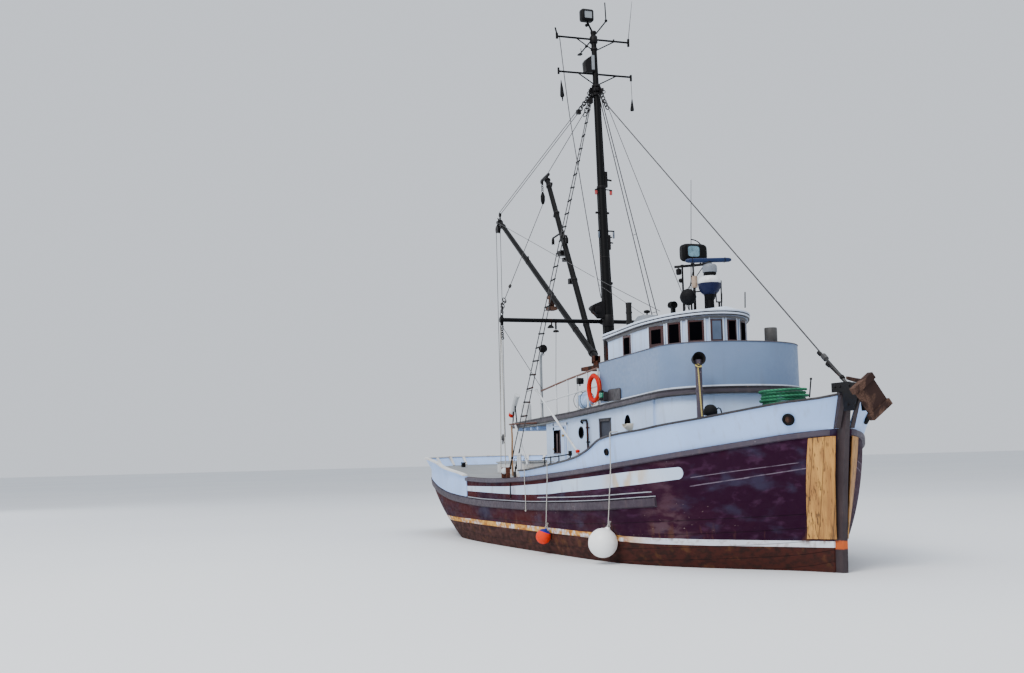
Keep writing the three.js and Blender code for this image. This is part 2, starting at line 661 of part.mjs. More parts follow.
add("pilothouse_door", union(
  box(
    phLeafBack - LEAF, phLeafBack, PH_DOOR.y0 - 30, PH_DOOR.y1 + 14, PH_DOOR.z0 + 45, PH_DOOR.z1 + 20,
  ),
  upright(PILOTHOUSE.aft - HINGE - 0.5, PH_DOOR.y1 + 18, PH_DOOR.z0 + 120, PH_DOOR.z1 - 60, HINGE, 12),
), PAINT.brown);
add("pilothouse_roof", slab(roofCurve, roofBottom, roofTop), PAINT.white);

// Gear on the pilothouse roof
const RADAR = { x: 4450, y: 0 };
const roofAt = (x) => roofTop(x) + 2;
const radarFootZ = roofAt(RADAR.x - 210) - 6;
const radarPlateZ = roofAt(RADAR.x) + 50;
add("radar_pedestal", offRoof(turned([
  [0, radarFootZ], [210, radarFootZ], [210, radarPlateZ], [80, radarPlateZ + 40],
  [225, 5290], [225, 5420], [150, 5470], [150, 5640], [110, 5700], [0, 5700],
], RADAR.x, RADAR.y, 20)), METAL.grey);
const scanner = box(-450, 450, -60, 60, 5745, 5835);
scanner.rotateZ((70 * Math.PI) / 180);
scanner.translate(RADAR.x, RADAR.y, 0);
add("radar_scanner", union(scanner, upright(RADAR.x, RADAR.y, 5700.5, 5760, 70)), PAINT.white);
const LIGHT_MAST = { x: 3807, y: 6, arm: 275, barZ: 5790 };
const lightPost = (dx, top, radius) => {
  const x = LIGHT_MAST.x + dx;
  return upright(x, LIGHT_MAST.y + dx, roofAt(x) - 8, top, radius, 10);
};
add("light_mast", offRoof(union(
  lightPost(0, 5900, 26),
  lightPost(-160, LIGHT_MAST.barZ, 20),
  lightPost(160, LIGHT_MAST.barZ, 20),
  bar(
    vec(LIGHT_MAST.x - LIGHT_MAST.arm, LIGHT_MAST.y - LIGHT_MAST.arm, LIGHT_MAST.barZ),
    vec(LIGHT_MAST.x + LIGHT_MAST.arm - 70, LIGHT_MAST.y + LIGHT_MAST.arm - 70, LIGHT_MAST.barZ), 26, 26, 8,
  ),
  box(LIGHT_MAST.x - 110, LIGHT_MAST.x + 110, LIGHT_MAST.y - 260, LIGHT_MAST.y + 260, 5860, 6230),
)), METAL.grey);
const BALL = { x: 4150, y: -330, z: 5090, radius: 165, leg: 30 };
add("roof_ball", offRoof(union(
  new THREE.SphereGeometry(BALL.radius, 20, 14).translate(BALL.x, BALL.y, BALL.z),
  upright(BALL.x, BALL.y, roofAt(BALL.x) - 8, BALL.z - 90, BALL.leg, 10),
)), METAL.black);
const HUMP = { x0: 2250, x1: 2860, y0: -720, y1: -120, top: 4920 };
add("roof_hump", offRoof(
  box(HUMP.x0, HUMP.x1, HUMP.y0, HUMP.y1, roofTop(HUMP.x0) - 8, HUMP.top),
), METAL.grey);
const STACK = { x: 1995, y: -570, top: 5250, radius: 62 };
add("stack_pipe", offRoof(
  upright(STACK.x, STACK.y, roofTop(STACK.x) - 8, STACK.top, STACK.radius, 16),
), METAL.black);

// Gear on and beside the boat deck
const VENT = { x: 5000, y: 990, top: 4360, radius: 125 };
add("vent_pipe", offBoatDeck(
  upright(VENT.x, VENT.y, boatDeckTop(VENT.x - 200) - 4, VENT.top, VENT.radius, 20),
), METAL.grey);
const COWL = { x: 6080, y: -1260, mouthZ: 3680, pipe: 60, throat: 85, mouth: 122 };
add("cowl_vent", offHull(union(
  upright(COWL.x, COWL.y, deckZ(COWL.x - 70) - 4, COWL.mouthZ, COWL.pipe, 14),
  bar(
    vec(COWL.x - 60, COWL.y, COWL.mouthZ), vec(COWL.x + 110, COWL.y - 40, COWL.mouthZ + 10),
    COWL.throat, COWL.mouth, 18,
  ),
)), METAL.black);
const RING = { x: 2270, z: 3400, major: 255, minor: 50 };
RING.y = -BOAT_DECK.half + RAILING.inset - RAILING.radius - RING.minor - 0.3;
const ring = new THREE.TorusGeometry(RING.major, RING.minor, 12, 32);
ring.rotateX(Math.PI / 2);
ring.translate(RING.x, RING.y, RING.z);
add("life_ring", ring, PAINT.orange);
const SIDELIGHT = { x0: 2750, screenX: 2830, x1: 3400, z0: 3100, z1: 3340, board: 30, screen: 190 };
function sidelight(side) {
  const { x0, screenX, x1, z0, z1, board, screen } = SIDELIGHT;
  const y = DODGER.half + GAP;
  const across = (depth) => (side < 0 ? [-y - depth, -y] : [y, y + depth]);
  return union(box(x0, x1, ...across(board), z0, z1), box(x0, screenX, ...across(screen), z0, z1));
}
add("sidelight_starboard", sidelight(-1), METAL.black);
add("sidelight_port", sidelight(1), METAL.black);
const BOTTLE = { x: -2380, y: -1250, foot: 2850, shoulder: 3290, top: 3370, radius: 120 };
add("gas_bottle", offBoatDeck(turned([
  [0, BOTTLE.foot], [BOTTLE.radius, BOTTLE.foot], [BOTTLE.radius, BOTTLE.shoulder],
  [BOTTLE.radius / 2, BOTTLE.top], [0, BOTTLE.top],
], BOTTLE.x, BOTTLE.y, 18)), PAINT.white);

// Mast, booms and stays
const mastX = (z) => MAST.x - MAST.rake * (z - 3000);
const HEAD_LAMP = { half: 110, y0: -295, y1: -20, z0: 12385, z1: 12670 };
const HEAD_BOX = { half: 90, y0: -285, y1: -35, z0: 11150, z1: 11530 };
const HEAD_ARM = { y: 350, z: 12480 };
function mastSolid() {
  const foot = vec(mastX(MAST.foot), 0, MAST.foot);
  const head = vec(mastX(MAST.top), 0, MAST.top);
  const parts = [bar(foot, head, MAST.footRadius, MAST.topRadius, 16)];
  for (const { z, half } of CROSSTREES) {
    const x = mastX(z);
    parts.push(bar(vec(x, -half, z), vec(x, half, z), 26, 26, 8));
    parts.push(bar(vec(x, -half * 0.55, z), vec(x, 0, z - 260), 18, 18, 8));
    parts.push(bar(vec(x, half * 0.55, z), vec(x, 0, z - 260), 18, 18, 8));
  }
  const x = head.x;
  const fitting = ({ half, y0, y1, z0, z1 }) => box(x - half, x + half, y0, y1, z0, z1);
  parts.push(bar(vec(x, 0, MAST.top - 40), vec(x, -150, HEAD_LAMP.z0 + 40), 26, 26, 8));
  parts.push(fitting(HEAD_LAMP));
  parts.push(bar(vec(x, 0, MAST.top - 40), vec(x, HEAD_ARM.y, HEAD_ARM.z), 20, 16, 8));
  parts.push(fitting(HEAD_BOX));
  parts.push(bar(vec(x, HEAD_BOX.y1 - 40, HEAD_BOX.z0 + 150), vec(x, 0, HEAD_BOX.z0 + 150), 40, 40, 8));
  return union(...parts);
}
add("mast", offBoatDeck(mastSolid()), METAL.black);
function mastRadius(z) {
  const share = (z - MAST.foot) / (MAST.top - MAST.foot);
  return MAST.footRadius + (MAST.topRadius - MAST.footRadius) * share;
}
const mastRoom = bar(
  vec(mastX(MAST.foot), 0, MAST.foot), vec(mastX(MAST.top), 0, MAST.top),
  MAST.footRadius + AIR, MAST.topRadius + AIR, 16,
);
const spreaderX = mastX(SPREADER.z) - mastRadius(SPREADER.z) - 40;
add("spreader_bar", cut(union(
  bar(
    vec(spreaderX, -SPREADER.half, SPREADER.z), vec(spreaderX, SPREADER.half, SPREADER.z),
    SPREADER.radius, SPREADER.radius, 12,
  ),
  upright(mastX(SPREADER.z), 0, SPREADER.z - 70, SPREADER.z + 70, mastRadius(SPREADER.z) + 26, 16),
), mastRoom), METAL.black);

const MAIN_HEEL = { x: -640, y: -150, z: 4280 };
const MAIN_TIP = { x: -6850, y: -150, z: 8725 };
const SECOND_HEEL = { x: -1150, y: 80, z: 4280 };
const SECOND_TIP = { x: -3830, y: 80, z: 9295 };
const BOOM = { radius: 76, tipRadius: 62, plate: 50, neck: 330 };
const BRACKET = { x0: -1250, y0: -270, y1: 200, z0: 4020, z1: 4110 };
// Fork on a short pin: the boom's heel turns between its two cheeks.
function swivel({ x, y, z }) {
  return union(
    upright(x, y, BRACKET.z1 + AIR, z - 60, 70, 14),
    box(x - 70, x + 70, y - 85, y - 55, z - 80, z + 60),
    box(x - 70, x + 70, y + 55, y + 85, z - 80, z + 60),
  );
}
function boomSolid(heel, tip) {
  const from = vec(heel.x, heel.y, heel.z);
  const to = vec(tip.x, tip.y, tip.z);
  const along = (d) => from.clone().addScaledVector(to.clone().sub(from).normalize(), d);
  const end = along(BOOM.neck);
  const neck = plateXZ([
    [end.x + 40, end.z + 60], [end.x - 60, end.z - 40],
    [from.x - 30, from.z - 40], [from.x + 40, from.z + 30],
  ], heel.y - BOOM.plate, heel.y + BOOM.plate);
  return union(
    bar(along(220), to, BOOM.radius, BOOM.tipRadius, 14),
    neck,
    bar(vec(heel.x, heel.y - 54.5, heel.z), vec(heel.x, heel.y + 54.5, heel.z), 50, 50, 14),
  );
}
add("boom_bracket", cut(union(
  box(BRACKET.x0, mastX(4080) - 60, BRACKET.y0, BRACKET.y1, BRACKET.z0, BRACKET.z1),
  box(mastX(4080) - 300, mastX(4080) - 60, -100, 100, 3700, 4060),
  upright(mastX(4000), 0, 3850, 4100, mastRadius(4000) + 30, 16),
), mastRoom), METAL.black);
add("main_boom_swivel", swivel(MAIN_HEEL), METAL.black);
add("main_boom", boomSolid(MAIN_HEEL, MAIN_TIP), METAL.black);
add("second_boom_swivel", swivel(SECOND_HEEL), METAL.black);
add("second_boom", boomSolid(SECOND_HEEL, SECOND_TIP), METAL.black);

// Main stays: one wire to the stem head, a pair of shrouds to each side.
const FORESTAY = {
  topZ: 10640, foot: [8690, 3075], wire: 13, rod: 24, eye: 50, screwFrom: 3180, screwTo: 3560,
};
function forestaySolid() {
  const top = vec(mastX(FORESTAY.topZ), 0, FORESTAY.topZ);
  const foot = vec(FORESTAY.foot[0], 0, FORESTAY.foot[1]);
  const length = foot.distanceTo(top);
  const slope = length / (top.z - foot.z);
  const at = (z) => (z - foot.z) * slope;
  const { wire, rod, eye } = FORESTAY;
  const [low, high] = [at(FORESTAY.screwFrom), at(FORESTAY.screwTo)];
  const profile = [
    [0, 0], [rod, 0], [rod, low], [rod + 6, low + 6], [rod, high - 80], [eye, high - 70],
    [eye, high + 40], [wire, high + 60], [wire, length], [0, length],
  ];
  const stay = new THREE.LatheGeometry(profile.map(([r, d]) => new THREE.Vector2(r, d)), 10);
  const direction = top.clone().sub(foot).normalize();
  stay.applyQuaternion(new THREE.Quaternion().setFromUnitVectors(vec(0, 1, 0), direction));
  stay.translate(foot.x, foot.y, foot.z);
  const lug = box(foot.x - 50, foot.x + 50, -32, 32, 3020.5, foot.z + 30);
  return cut(union(stay, lug), mastRoom);
}
add("forestay", forestaySolid(), METAL.black);
const SHROUD = {
  feet: [-860, -480], y: 2325, top: 10980, spread: 34, wire: 12, batten: 8, shares: [0.2, 0.4, 0.6, 0.8],
};
function shrouds(side) {
  const legs = SHROUD.feet.map((x, i) => ({
    foot: vec(x, side * SHROUD.y, deckZ(x) + 90),
    top: vec(mastX(SHROUD.top) + (i === 0 ? -SHROUD.spread : SHROUD.spread), 0, SHROUD.top),
  }));
  const parts = legs.map(({ foot, top }) => bar(foot, top, SHROUD.wire, SHROUD.wire, 8));
  for (const { foot } of legs) {
    parts.push(box(foot.x - 45, foot.x + 45, foot.y - 18, foot.y + 18, deckZ(foot.x) - 4, foot.z + 30));
  }
  for (const share of SHROUD.shares) {
    const [a, b] = legs.map(({ foot, top }) => foot.clone().lerp(top, share));
    parts.push(bar(a, b, SHROUD.batten, SHROUD.batten, 6));
  }
  return offHull(cut(union(...parts), mastRoom));
}
add("shrouds_starboard", shrouds(-1), METAL.black);
add("shrouds_port", shrouds(1), METAL.black);

// Gear on the working deck and the foredeck
const HATCH = { x0: -5600, x1: -3700, half: 850, z: 1880, board: 50, lip: 30, lid: 50 };
add("hatch_coaming", offHull(cut(
  box(HATCH.x0, HATCH.x1, -HATCH.half, HATCH.half, deckZ(HATCH.x1) - 4, HATCH.z),
  box(
    HATCH.x0 + HATCH.board, HATCH.x1 - HATCH.board, -HATCH.half + HATCH.board, HATCH.half - HATCH.board,
    1500, HATCH.z + 10,
  ),
)), PAINT.white);
add("hatch_lid", box(
  HATCH.x0 - HATCH.lip, HATCH.x1 + HATCH.lip, -HATCH.half - HATCH.lip, HATCH.half + HATCH.lip,
  HATCH.z + AIR, HATCH.z + HATCH.lid,
), METAL.grey);

const WINCH = {
  x: -1500, z: 2000, bed: 260, bedHalf: 700, bedTop: 1640, post: 180, cheek: 356, cheekTop: 2080, thick: 64,
  drum: 85, rim: 190, rimAt: 325,
};
const winchCheek = (y0, y1) => box(WINCH.x - WINCH.post, WINCH.x + WINCH.post, y0, y1, 1600, WINCH.cheekTop);
add("deck_winch_frame", offHull(union(
  box(
    WINCH.x - WINCH.bed, WINCH.x + WINCH.bed, -WINCH.bedHalf, WINCH.bedHalf,
    deckZ(-2000) - 4, WINCH.bedTop,
  ),
  winchCheek(-WINCH.cheek - WINCH.thick, -WINCH.cheek),
  winchCheek(WINCH.cheek, WINCH.cheek + WINCH.thick),
)), METAL.rust);
const onWinch = (y) => vec(WINCH.x, y, WINCH.z);
add("deck_winch_drum", union(
  bar(onWinch(-WINCH.cheek + AIR), onWinch(WINCH.cheek - AIR), WINCH.drum, WINCH.drum, 16),
  bar(onWinch(-WINCH.rimAt - 15), onWinch(-WINCH.rimAt + 15), WINCH.rim, WINCH.rim, 20),
  bar(onWinch(WINCH.rimAt - 15), onWinch(WINCH.rimAt + 15), WINCH.rim, WINCH.rim, 20),
), METAL.rust);

const ANCHOR_WINCH = { x: 6920, z: 2520, bedTop: 2290, cheek: 301, thick: 44, cheekTop: 2620, drum: 140 };
const anchorWinchHalf = ANCHOR_WINCH.cheek + ANCHOR_WINCH.thick;
const anchorCheek = (y0, y1) => box(6820, 7020, y0, y1, 2200, ANCHOR_WINCH.cheekTop);
add("anchor_winch_base", offHull(union(
  box(6700, 7150, -anchorWinchHalf, anchorWinchHalf, deckZ(6700) - 4, ANCHOR_WINCH.bedTop),
  anchorCheek(-anchorWinchHalf, -ANCHOR_WINCH.cheek),
  anchorCheek(ANCHOR_WINCH.cheek, anchorWinchHalf),
)), METAL.rust);
add("anchor_winch_drum", bar(
  vec(ANCHOR_WINCH.x, -ANCHOR_WINCH.cheek + 0.6, ANCHOR_WINCH.z),
  vec(ANCHOR_WINCH.x, ANCHOR_WINCH.cheek - 0.6, ANCHOR_WINCH.z),
  ANCHOR_WINCH.drum, ANCHOR_WINCH.drum, 18,
), METAL.rust);

const ROLLER = { x: 9130, z: 2990, radius: 62, half: 150, cheek: 40 };
const rollerCheek = [
  [8520, 2935], [8800, 2935], [8830, 2620], [9080, 2620], [9190, 2800], [9210, 2990], [9150, 3060],
  [8900, 3090], [8520, 3090],
];
const rollerBar = (reach, radius) => (
  bar(vec(ROLLER.x, -reach, ROLLER.z), vec(ROLLER.x, reach, ROLLER.z), radius, radius, 16)
);
const rollerOutside = ROLLER.half + ROLLER.cheek;
add("bow_roller", union(
  plateXZ(rollerCheek, -rollerOutside, -ROLLER.half),
  plateXZ(rollerCheek, ROLLER.half, rollerOutside),
  box(8520, 8800, -rollerOutside, rollerOutside, STEM.top + GAP, 3020),
  rollerBar(ROLLER.half + 20, ROLLER.radius),
), METAL.rust);
// Anchor hauled up on the roller: its shank lies over it, its flat head hangs askew in front.
const ANCHOR = { x: 9290, z: 2830, tilt: -36, long: 620, wide: 400, thick: 70, end: 110, endThick: 130 };
function anchorSolid() {
  const { long, wide, thick, end, endThick } = ANCHOR;
  const parts = [
    box(-thick / 2, thick / 2, -wide / 2, wide / 2, -long / 2 + 20, long / 2 - 20),
    box(-endThick / 2, endThick / 2, -wide / 2 - 25, wide / 2 + 25, long / 2 - end, long / 2),
    box(-endThick / 2, endThick / 2, -wide / 2 - 25, wide / 2 + 25, -long / 2, -long / 2 + end),
  ];
  for (const part of parts) {
    part.rotateX((-ANCHOR.tilt * Math.PI) / 180);
    part.translate(ANCHOR.x, 0, ANCHOR.z);
  }
  const shank = plateXZ([
    [8700, 3190], [8700, 3140], [8900, 3085], [9130, 3052.6], [9250, 3020], [9290, 2940], [9320, 2960],
    [9300, 3060], [9150, 3110], [8900, 3150],
  ], -26, 26);
  return cut(union(shank, ...parts), rollerBar(rollerOutside + 10, ROLLER.radius + AIR));
}
add("anchor", anchorSolid(), METAL.rust);

// Bent pipe that turns in its foot, with a flat disc at its head.
const DAVIT = { x: -890, y: -1450, foot: 2880, top: 4330, pipe: 32, disc: { y: -1390, z: 4520, radius: 95 } };
add("davit", union(
  upright(DAVIT.x, DAVIT.y, DAVIT.foot, DAVIT.top, DAVIT.pipe, 12),
  upright(DAVIT.x, DAVIT.y, DAVIT.foot, DAVIT.foot + 60, DAVIT.pipe + 23, 12),
  bar(vec(DAVIT.x, DAVIT.y, DAVIT.top - 10), vec(DAVIT.x + 20, DAVIT.disc.y, DAVIT.disc.z - 60), 26, 26, 10),
  bar(
    vec(DAVIT.x - 40, DAVIT.disc.y, DAVIT.disc.z), vec(DAVIT.x + 60, DAVIT.disc.y, DAVIT.disc.z),
    DAVIT.disc.radius, DAVIT.disc.radius, 16,
  ),
), PAINT.white);

// Rudder and propeller
const PROPELLER = { z: -1300, x0: -6260, x1: -5900.5, hub: [60, 90], blades: 4, blade: [36, 250, 430] };
const propellerParts = [bar(
  vec(PROPELLER.x0, 0, PROPELLER.z), vec(PROPELLER.x1, 0, PROPELLER.z), ...PROPELLER.hub, 16,
)];
for (let k = 0; k < PROPELLER.blades; k += 1) {
  const blade = new THREE.BoxGeometry(...PROPELLER.blade);
  blade.rotateZ(0.5);
  blade.translate(-6110, 0, 260);
  blade.rotateX((k * 2 * Math.PI) / PROPELLER.blades);
  blade.translate(0, 0, PROPELLER.z);
  propellerParts.push(blade);
}
add("propeller", union(...propellerParts), METAL.bronze);
add("rudder", union(
  upright(RUDDER.x, 0, RUDDER.heel + 0.5, 390, RUDDER.stock, 16),
  box(-7420, -6900, -35, 35, -1900, -420),
), PAINT.dark);

// Fenders: each hangs from the rail cap on its own line and lies against the planking.
const FENDER = { line: 8, pressed: 7 };
function fender(x, lineX, radius, z) {
  const { line, pressed } = FENDER;
  const y = halfBreadth(x, z) + radius - pressed;
  const edge = lookup(RAIL_B, lineX) + 26 + line + AIR;
  const knee = vec(lineX, -edge, lookup(RAIL_Z, lineX) - 120);
  return offHull(union(
    new THREE.SphereGeometry(radius, 22, 14).translate(x, -y, z),
    bar(vec(lineX, -y, z + radius * 0.4), knee, line, line, 8),
    bar(vec(lineX, -edge, knee.z - 2), vec(lineX, -edge, knee.z + 116), line, line, 8),
  ));
}
add("fender_white", fender(4520, 4700, 272, 395), PAINT.white);
add("fender_orange", fender(1640, 1745, 155, 372), PAINT.orange);

export default group;
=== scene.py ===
"""Dresses a wooden purse seiner: planking, paint, glass, rigging and deck gear.

Metres. +X towards the bow, +Y to port, +Z up, origin amidships on the waterline.
"""

import json
import logging
import math
from dataclasses import dataclass, field
from enum import Enum

import bmesh
import bpy
import numpy as np
from mathutils import Matrix

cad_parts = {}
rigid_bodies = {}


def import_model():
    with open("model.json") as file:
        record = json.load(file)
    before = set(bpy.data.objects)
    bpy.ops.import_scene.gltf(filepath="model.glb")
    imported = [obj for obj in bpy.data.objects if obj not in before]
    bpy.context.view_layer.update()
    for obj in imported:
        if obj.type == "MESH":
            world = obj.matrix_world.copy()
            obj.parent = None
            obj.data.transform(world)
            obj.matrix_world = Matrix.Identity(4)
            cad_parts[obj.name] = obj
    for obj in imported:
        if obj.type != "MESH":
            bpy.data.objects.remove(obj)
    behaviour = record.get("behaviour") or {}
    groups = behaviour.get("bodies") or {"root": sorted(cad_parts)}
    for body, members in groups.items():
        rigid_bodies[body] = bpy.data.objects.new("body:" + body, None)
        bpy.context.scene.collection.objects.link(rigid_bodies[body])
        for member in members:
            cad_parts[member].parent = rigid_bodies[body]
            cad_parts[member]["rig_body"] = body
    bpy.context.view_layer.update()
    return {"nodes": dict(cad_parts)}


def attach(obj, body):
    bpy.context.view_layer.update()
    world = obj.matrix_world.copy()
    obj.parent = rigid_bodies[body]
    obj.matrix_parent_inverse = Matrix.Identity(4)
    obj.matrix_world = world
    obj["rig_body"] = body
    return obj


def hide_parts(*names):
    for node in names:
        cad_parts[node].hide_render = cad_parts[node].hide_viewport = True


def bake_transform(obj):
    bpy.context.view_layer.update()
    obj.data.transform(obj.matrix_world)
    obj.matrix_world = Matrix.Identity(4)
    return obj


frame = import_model()
LOG = logging.getLogger("seiner")
Point = tuple[float, float, float]
Colour = tuple[float, float, float]
Table = tuple[tuple[float, float], ...]
Part = tuple[np.ndarray, list, np.ndarray | None]
Rods = tuple[tuple[Point, Point, float], ...]
Blocks = tuple[tuple[Point, Point], ...]
VESSEL = "vessel"
SIDES = ((-1.0, "starboard"), (1.0, "port"))
MERGE = 2e-5
BEVEL_ANGLE = math.radians(38)
THIRD_TURN = 2.094
UP = np.array([0, 0, 1.0])


class Axis(Enum):
    """Direction along which a grain, seam or streak runs."""

    X = 0
    Y = 1
    Z = 2


# Shapes as arrays


@dataclass
class Shape:
    """Vertices, faces and texture coordinates of one piece, gathered part by part."""

    verts: list[np.ndarray] = field(default_factory=list)
    faces: list[list[int]] = field(default_factory=list)
    uvs: list[np.ndarray] = field(default_factory=list)
    count: int = 0

    def add(self, verts: np.ndarray, faces: np.ndarray | list, uv: np.ndarray | None = None) -> "Shape":
        """Adds one part.

        Args:
            verts: points, one row each.
            faces: rows of indices into verts.
            uv: one texture coordinate for each point, or nothing.

        Returns:
            This shape, so that calls can follow each other.
        """
        verts = np.asarray(verts, float).reshape(-1, 3)
        self.faces += [[int(i) + self.count for i in face] for face in faces]
        self.verts.append(verts)
        self.uvs.append(np.zeros((len(verts), 2)) if uv is None else np.asarray(uv, float).reshape(-1, 2))
        self.count += len(verts)
        return self

    def tube(self, *sizes: object, **options: object) -> "Shape":
        """Adds a round bar along a path, from the values that the function of that name takes."""
        return self.add(*tube(*sizes, **options))

    def bar(self, *sizes: object, **options: object) -> "Shape":
        """Adds a straight round bar in the same way."""
        return self.add(*bar(*sizes, **options))

    def turned(self, *sizes: object, **options: object) -> "Shape":
        """Adds a turned body in the same way."""
        return self.add(*turned(*sizes, **options))

    def ball(self, *sizes: object, **options: object) -> "Shape":
        """Adds a ball in the same way."""
        return self.add(*ball(*sizes, **options))

    def block(self, low: Point, high: Point) -> "Shape":
        """Adds a block between two corners."""
        return self.add(*block(low, high))

    def turned_block(self, *sizes: object) -> "Shape":
        """Adds a block whose own X and Z follow two directions."""
        return self.add(*turned_block(*sizes))

    def loop(self, *sizes: object, **options: object) -> "Shape":
        """Adds a ring or a part of one."""
        return self.add(*loop(*sizes, **options))

    def points(self) -> np.ndarray:
        """Returns all points as one array."""
        return np.concatenate(self.verts)


def grid_faces(rows: int, cols: int, wrap: bool = False) -> np.ndarray:
    """Quads of a grid: row i, column j joins i+1 and j+1, and the last column the first one if it wraps."""
    i, j = np.meshgrid(np.arange(rows - 1), np.arange(cols if wrap else cols - 1), indexing="ij")
    k = (j + 1) % cols
    return np.stack([i * cols + j, i * cols + k, (i + 1) * cols + k, (i + 1) * cols + j], -1).reshape(-1, 4)


def surface(points: np.ndarray, wrap: bool = False, caps: bool = False) -> Part:
    """Surface over a grid of points, with both ends closed by one face each if asked.

    Args:
        points: array of rows x columns x 3.
        wrap: joins the last column to the first.
        caps: closes the first and last row.

    Returns:
        Points, faces and texture coordinates, which run from 0 to 1 both ways.
    """
    rows, cols = points.shape[:2]
    faces = grid_faces(rows, cols, wrap).tolist()
    if caps:
        faces += [list(range(cols))[::-1], list(range((rows - 1) * cols, rows * cols))]
    u, v = np.meshgrid(np.linspace(0, 1, rows), np.linspace(0, 1, cols), indexing="ij")
    return points.reshape(-1, 3), faces, np.stack([u, v], -1).reshape(-1, 2)


def solid(points: np.ndarray) -> Shape:
    """Returns a shape of one closed body: columns joined round, both ends capped."""
    return Shape().add(*surface(points, wrap=True, caps=True))


def round_grid(low: float, high: float, rows: int, columns: int) -> tuple[np.ndarray, np.ndarray]:
    """Returns the two parameters of a closed surface: a run from low to high by rows, a full turn by
    columns."""
    turn = np.linspace(0, 2 * np.pi, columns, endpoint=False)
    run, around = np.meshgrid(np.linspace(low, high, rows), turn, indexing="ij")
    return run, around


def powered(value: np.ndarray, power: float) -> np.ndarray:
    """Raises the size of a value to a power and keeps its sign, which makes a circle's sine and cosine a
    rounded square."""
    return np.sign(value) * np.abs(value) ** power


def collar(radius: float, extra: float, wide: float, edge: float) -> list[tuple[float, float]]:
    """Profile of a band round a bar: it rises by extra over the bar's radius within an edge at both ends of
    its width."""
    return [(0, radius), (edge, radius + extra), (wide - edge, radius + extra), (wide, radius)]


def border(low: tuple[float, float], high: tuple[float, float], in_low: tuple[float, float],
           in_high: tuple[float, float]) -> tuple[tuple[tuple[float, float], tuple[float, float]], ...]:
    """Four strips of a frame, left, right, lower and upper, between its outer corners and those of its
    opening."""
    return ((low, (in_low[0], high[1])), ((in_high[0], low[1]), high),
            (low, (high[0], in_low[1])), ((low[0], in_high[1]), high))


def frames(path: np.ndarray) -> tuple[np.ndarray, np.ndarray, np.ndarray]:
    """Tangent, side and top directions along a path: the side is square to the tangent and to the axis
    least like it."""
    tangent = np.gradient(path, axis=0)
    tangent /= np.linalg.norm(tangent, axis=1, keepdims=True) + 1e-12
    reference = np.eye(3)[int(np.argmin(np.abs(tangent).max(0)))]
    side = np.cross(tangent, reference)
    side /= np.linalg.norm(side, axis=1, keepdims=True) + 1e-12
    return tangent, side, np.cross(side, tangent)


def tube(path: list | np.ndarray, radius: float | np.ndarray, sides: int = 10) -> Part:
    """Round bar along a path: each ring is the path's point plus radius times (cos a, sin a) across it.

    Args:
        path: points along the bar.
        radius: one radius, or one for each point.
        sides: corners of a ring.

    Returns:
        Points, faces and texture coordinates, u being the length in radii.
    """
    path = np.asarray(path, float)
    _, side, top = frames(path)
    angle = np.linspace(0, 2 * np.pi, sides, endpoint=False)
    r = np.broadcast_to(np.asarray(radius, float), (len(path),))[:, None, None]
    rings = path[:, None] + r * (np.cos(angle)[None, :,
                                               None] * side[:, None] + np.sin(angle)[None, :, None]
                                 * top[:, None])
    points, faces, uv = surface(rings, wrap=True, caps=True)
    run = np.concatenate([[0], np.cumsum(np.linalg.norm(np.diff(path, axis=0), axis=1))])
    uv[:, 0] = np.repeat(run / max(float(np.mean(r)), 1e-6), sides)
    uv[:, 1] = np.tile(np.arange(sides) / sides, len(path))
    return points, faces, uv


def bar(start: Point, end: Point, r0: float, r1: float | None = None, sides: int = 12) -> Part:
    """Straight round bar whose radius runs from r0 to r1."""
    share = np.linspace(0, 1, 2)[:, None]
    path = np.asarray(start, float) * (1 - share) + np.asarray(end, float) * share
    return tube(path, np.array([r0, r0 if r1 is None else r1]), sides)


def turned(profile: list[tuple[float, float]], base: Point, along: Point = (0, 0, 1),
           sides: int = 24) -> Part:
    """Body turned about an axis: radius r at distance d from the base, carried round in full circles.

    Args:
        profile: pairs of distance along the axis and radius.
        base: where distance 0 is.
        along: direction of the axis.
        sides: corners of a ring.

    Returns:
        Points, faces and texture coordinates.
    """
    d, r = np.array(profile, float).T
    axis = np.asarray(along, float) / np.linalg.norm(along)
    side = np.cross(axis, np.eye(3)[int(np.argmin(np.abs(axis)))])
    side /= np.linalg.norm(side)
    top = np.cross(axis, side)
    angle = np.linspace(0, 2 * np.pi, sides, endpoint=False)
    circle = np.cos(angle)[:, None] * side + np.sin(angle)[:, None] * top
    wide = np.maximum(r, 1e-4)[:, None, None]
    rings = np.asarray(base, float) + d[:, None, None] * axis + wide * circle[None]
    return surface(rings, wrap=True, caps=True)


def ball(centre: Point, radius: float, squash: float = 1.0, sides: int = 24) -> Part:
    """Ball turned from a half circle: radius times sin a at height minus cos a."""
    a = np.linspace(0.05, np.pi - 0.05, sides // 2)
    profile = list(zip(-radius * squash * np.cos(a), radius * np.sin(a)))
    return turned(profile, centre, sides=sides)


def block(lo: Point, hi: Point) -> Part:
    """Block between two corners; its edges are rounded by the piece's bevel."""
    corner = np.array([[x, y, z] for z in (0, 1) for y in (0, 1) for x in (0, 1)], float)
    faces = np.array([[0, 2, 3, 1], [4, 5, 7, 6], [0, 1, 5, 4], [2, 6, 7, 3], [0, 4, 6, 2], [1, 3, 7, 5]])
    return np.asarray(lo, float) + corner * (np.asarray(hi, float) - np.asarray(lo, float)), faces, None


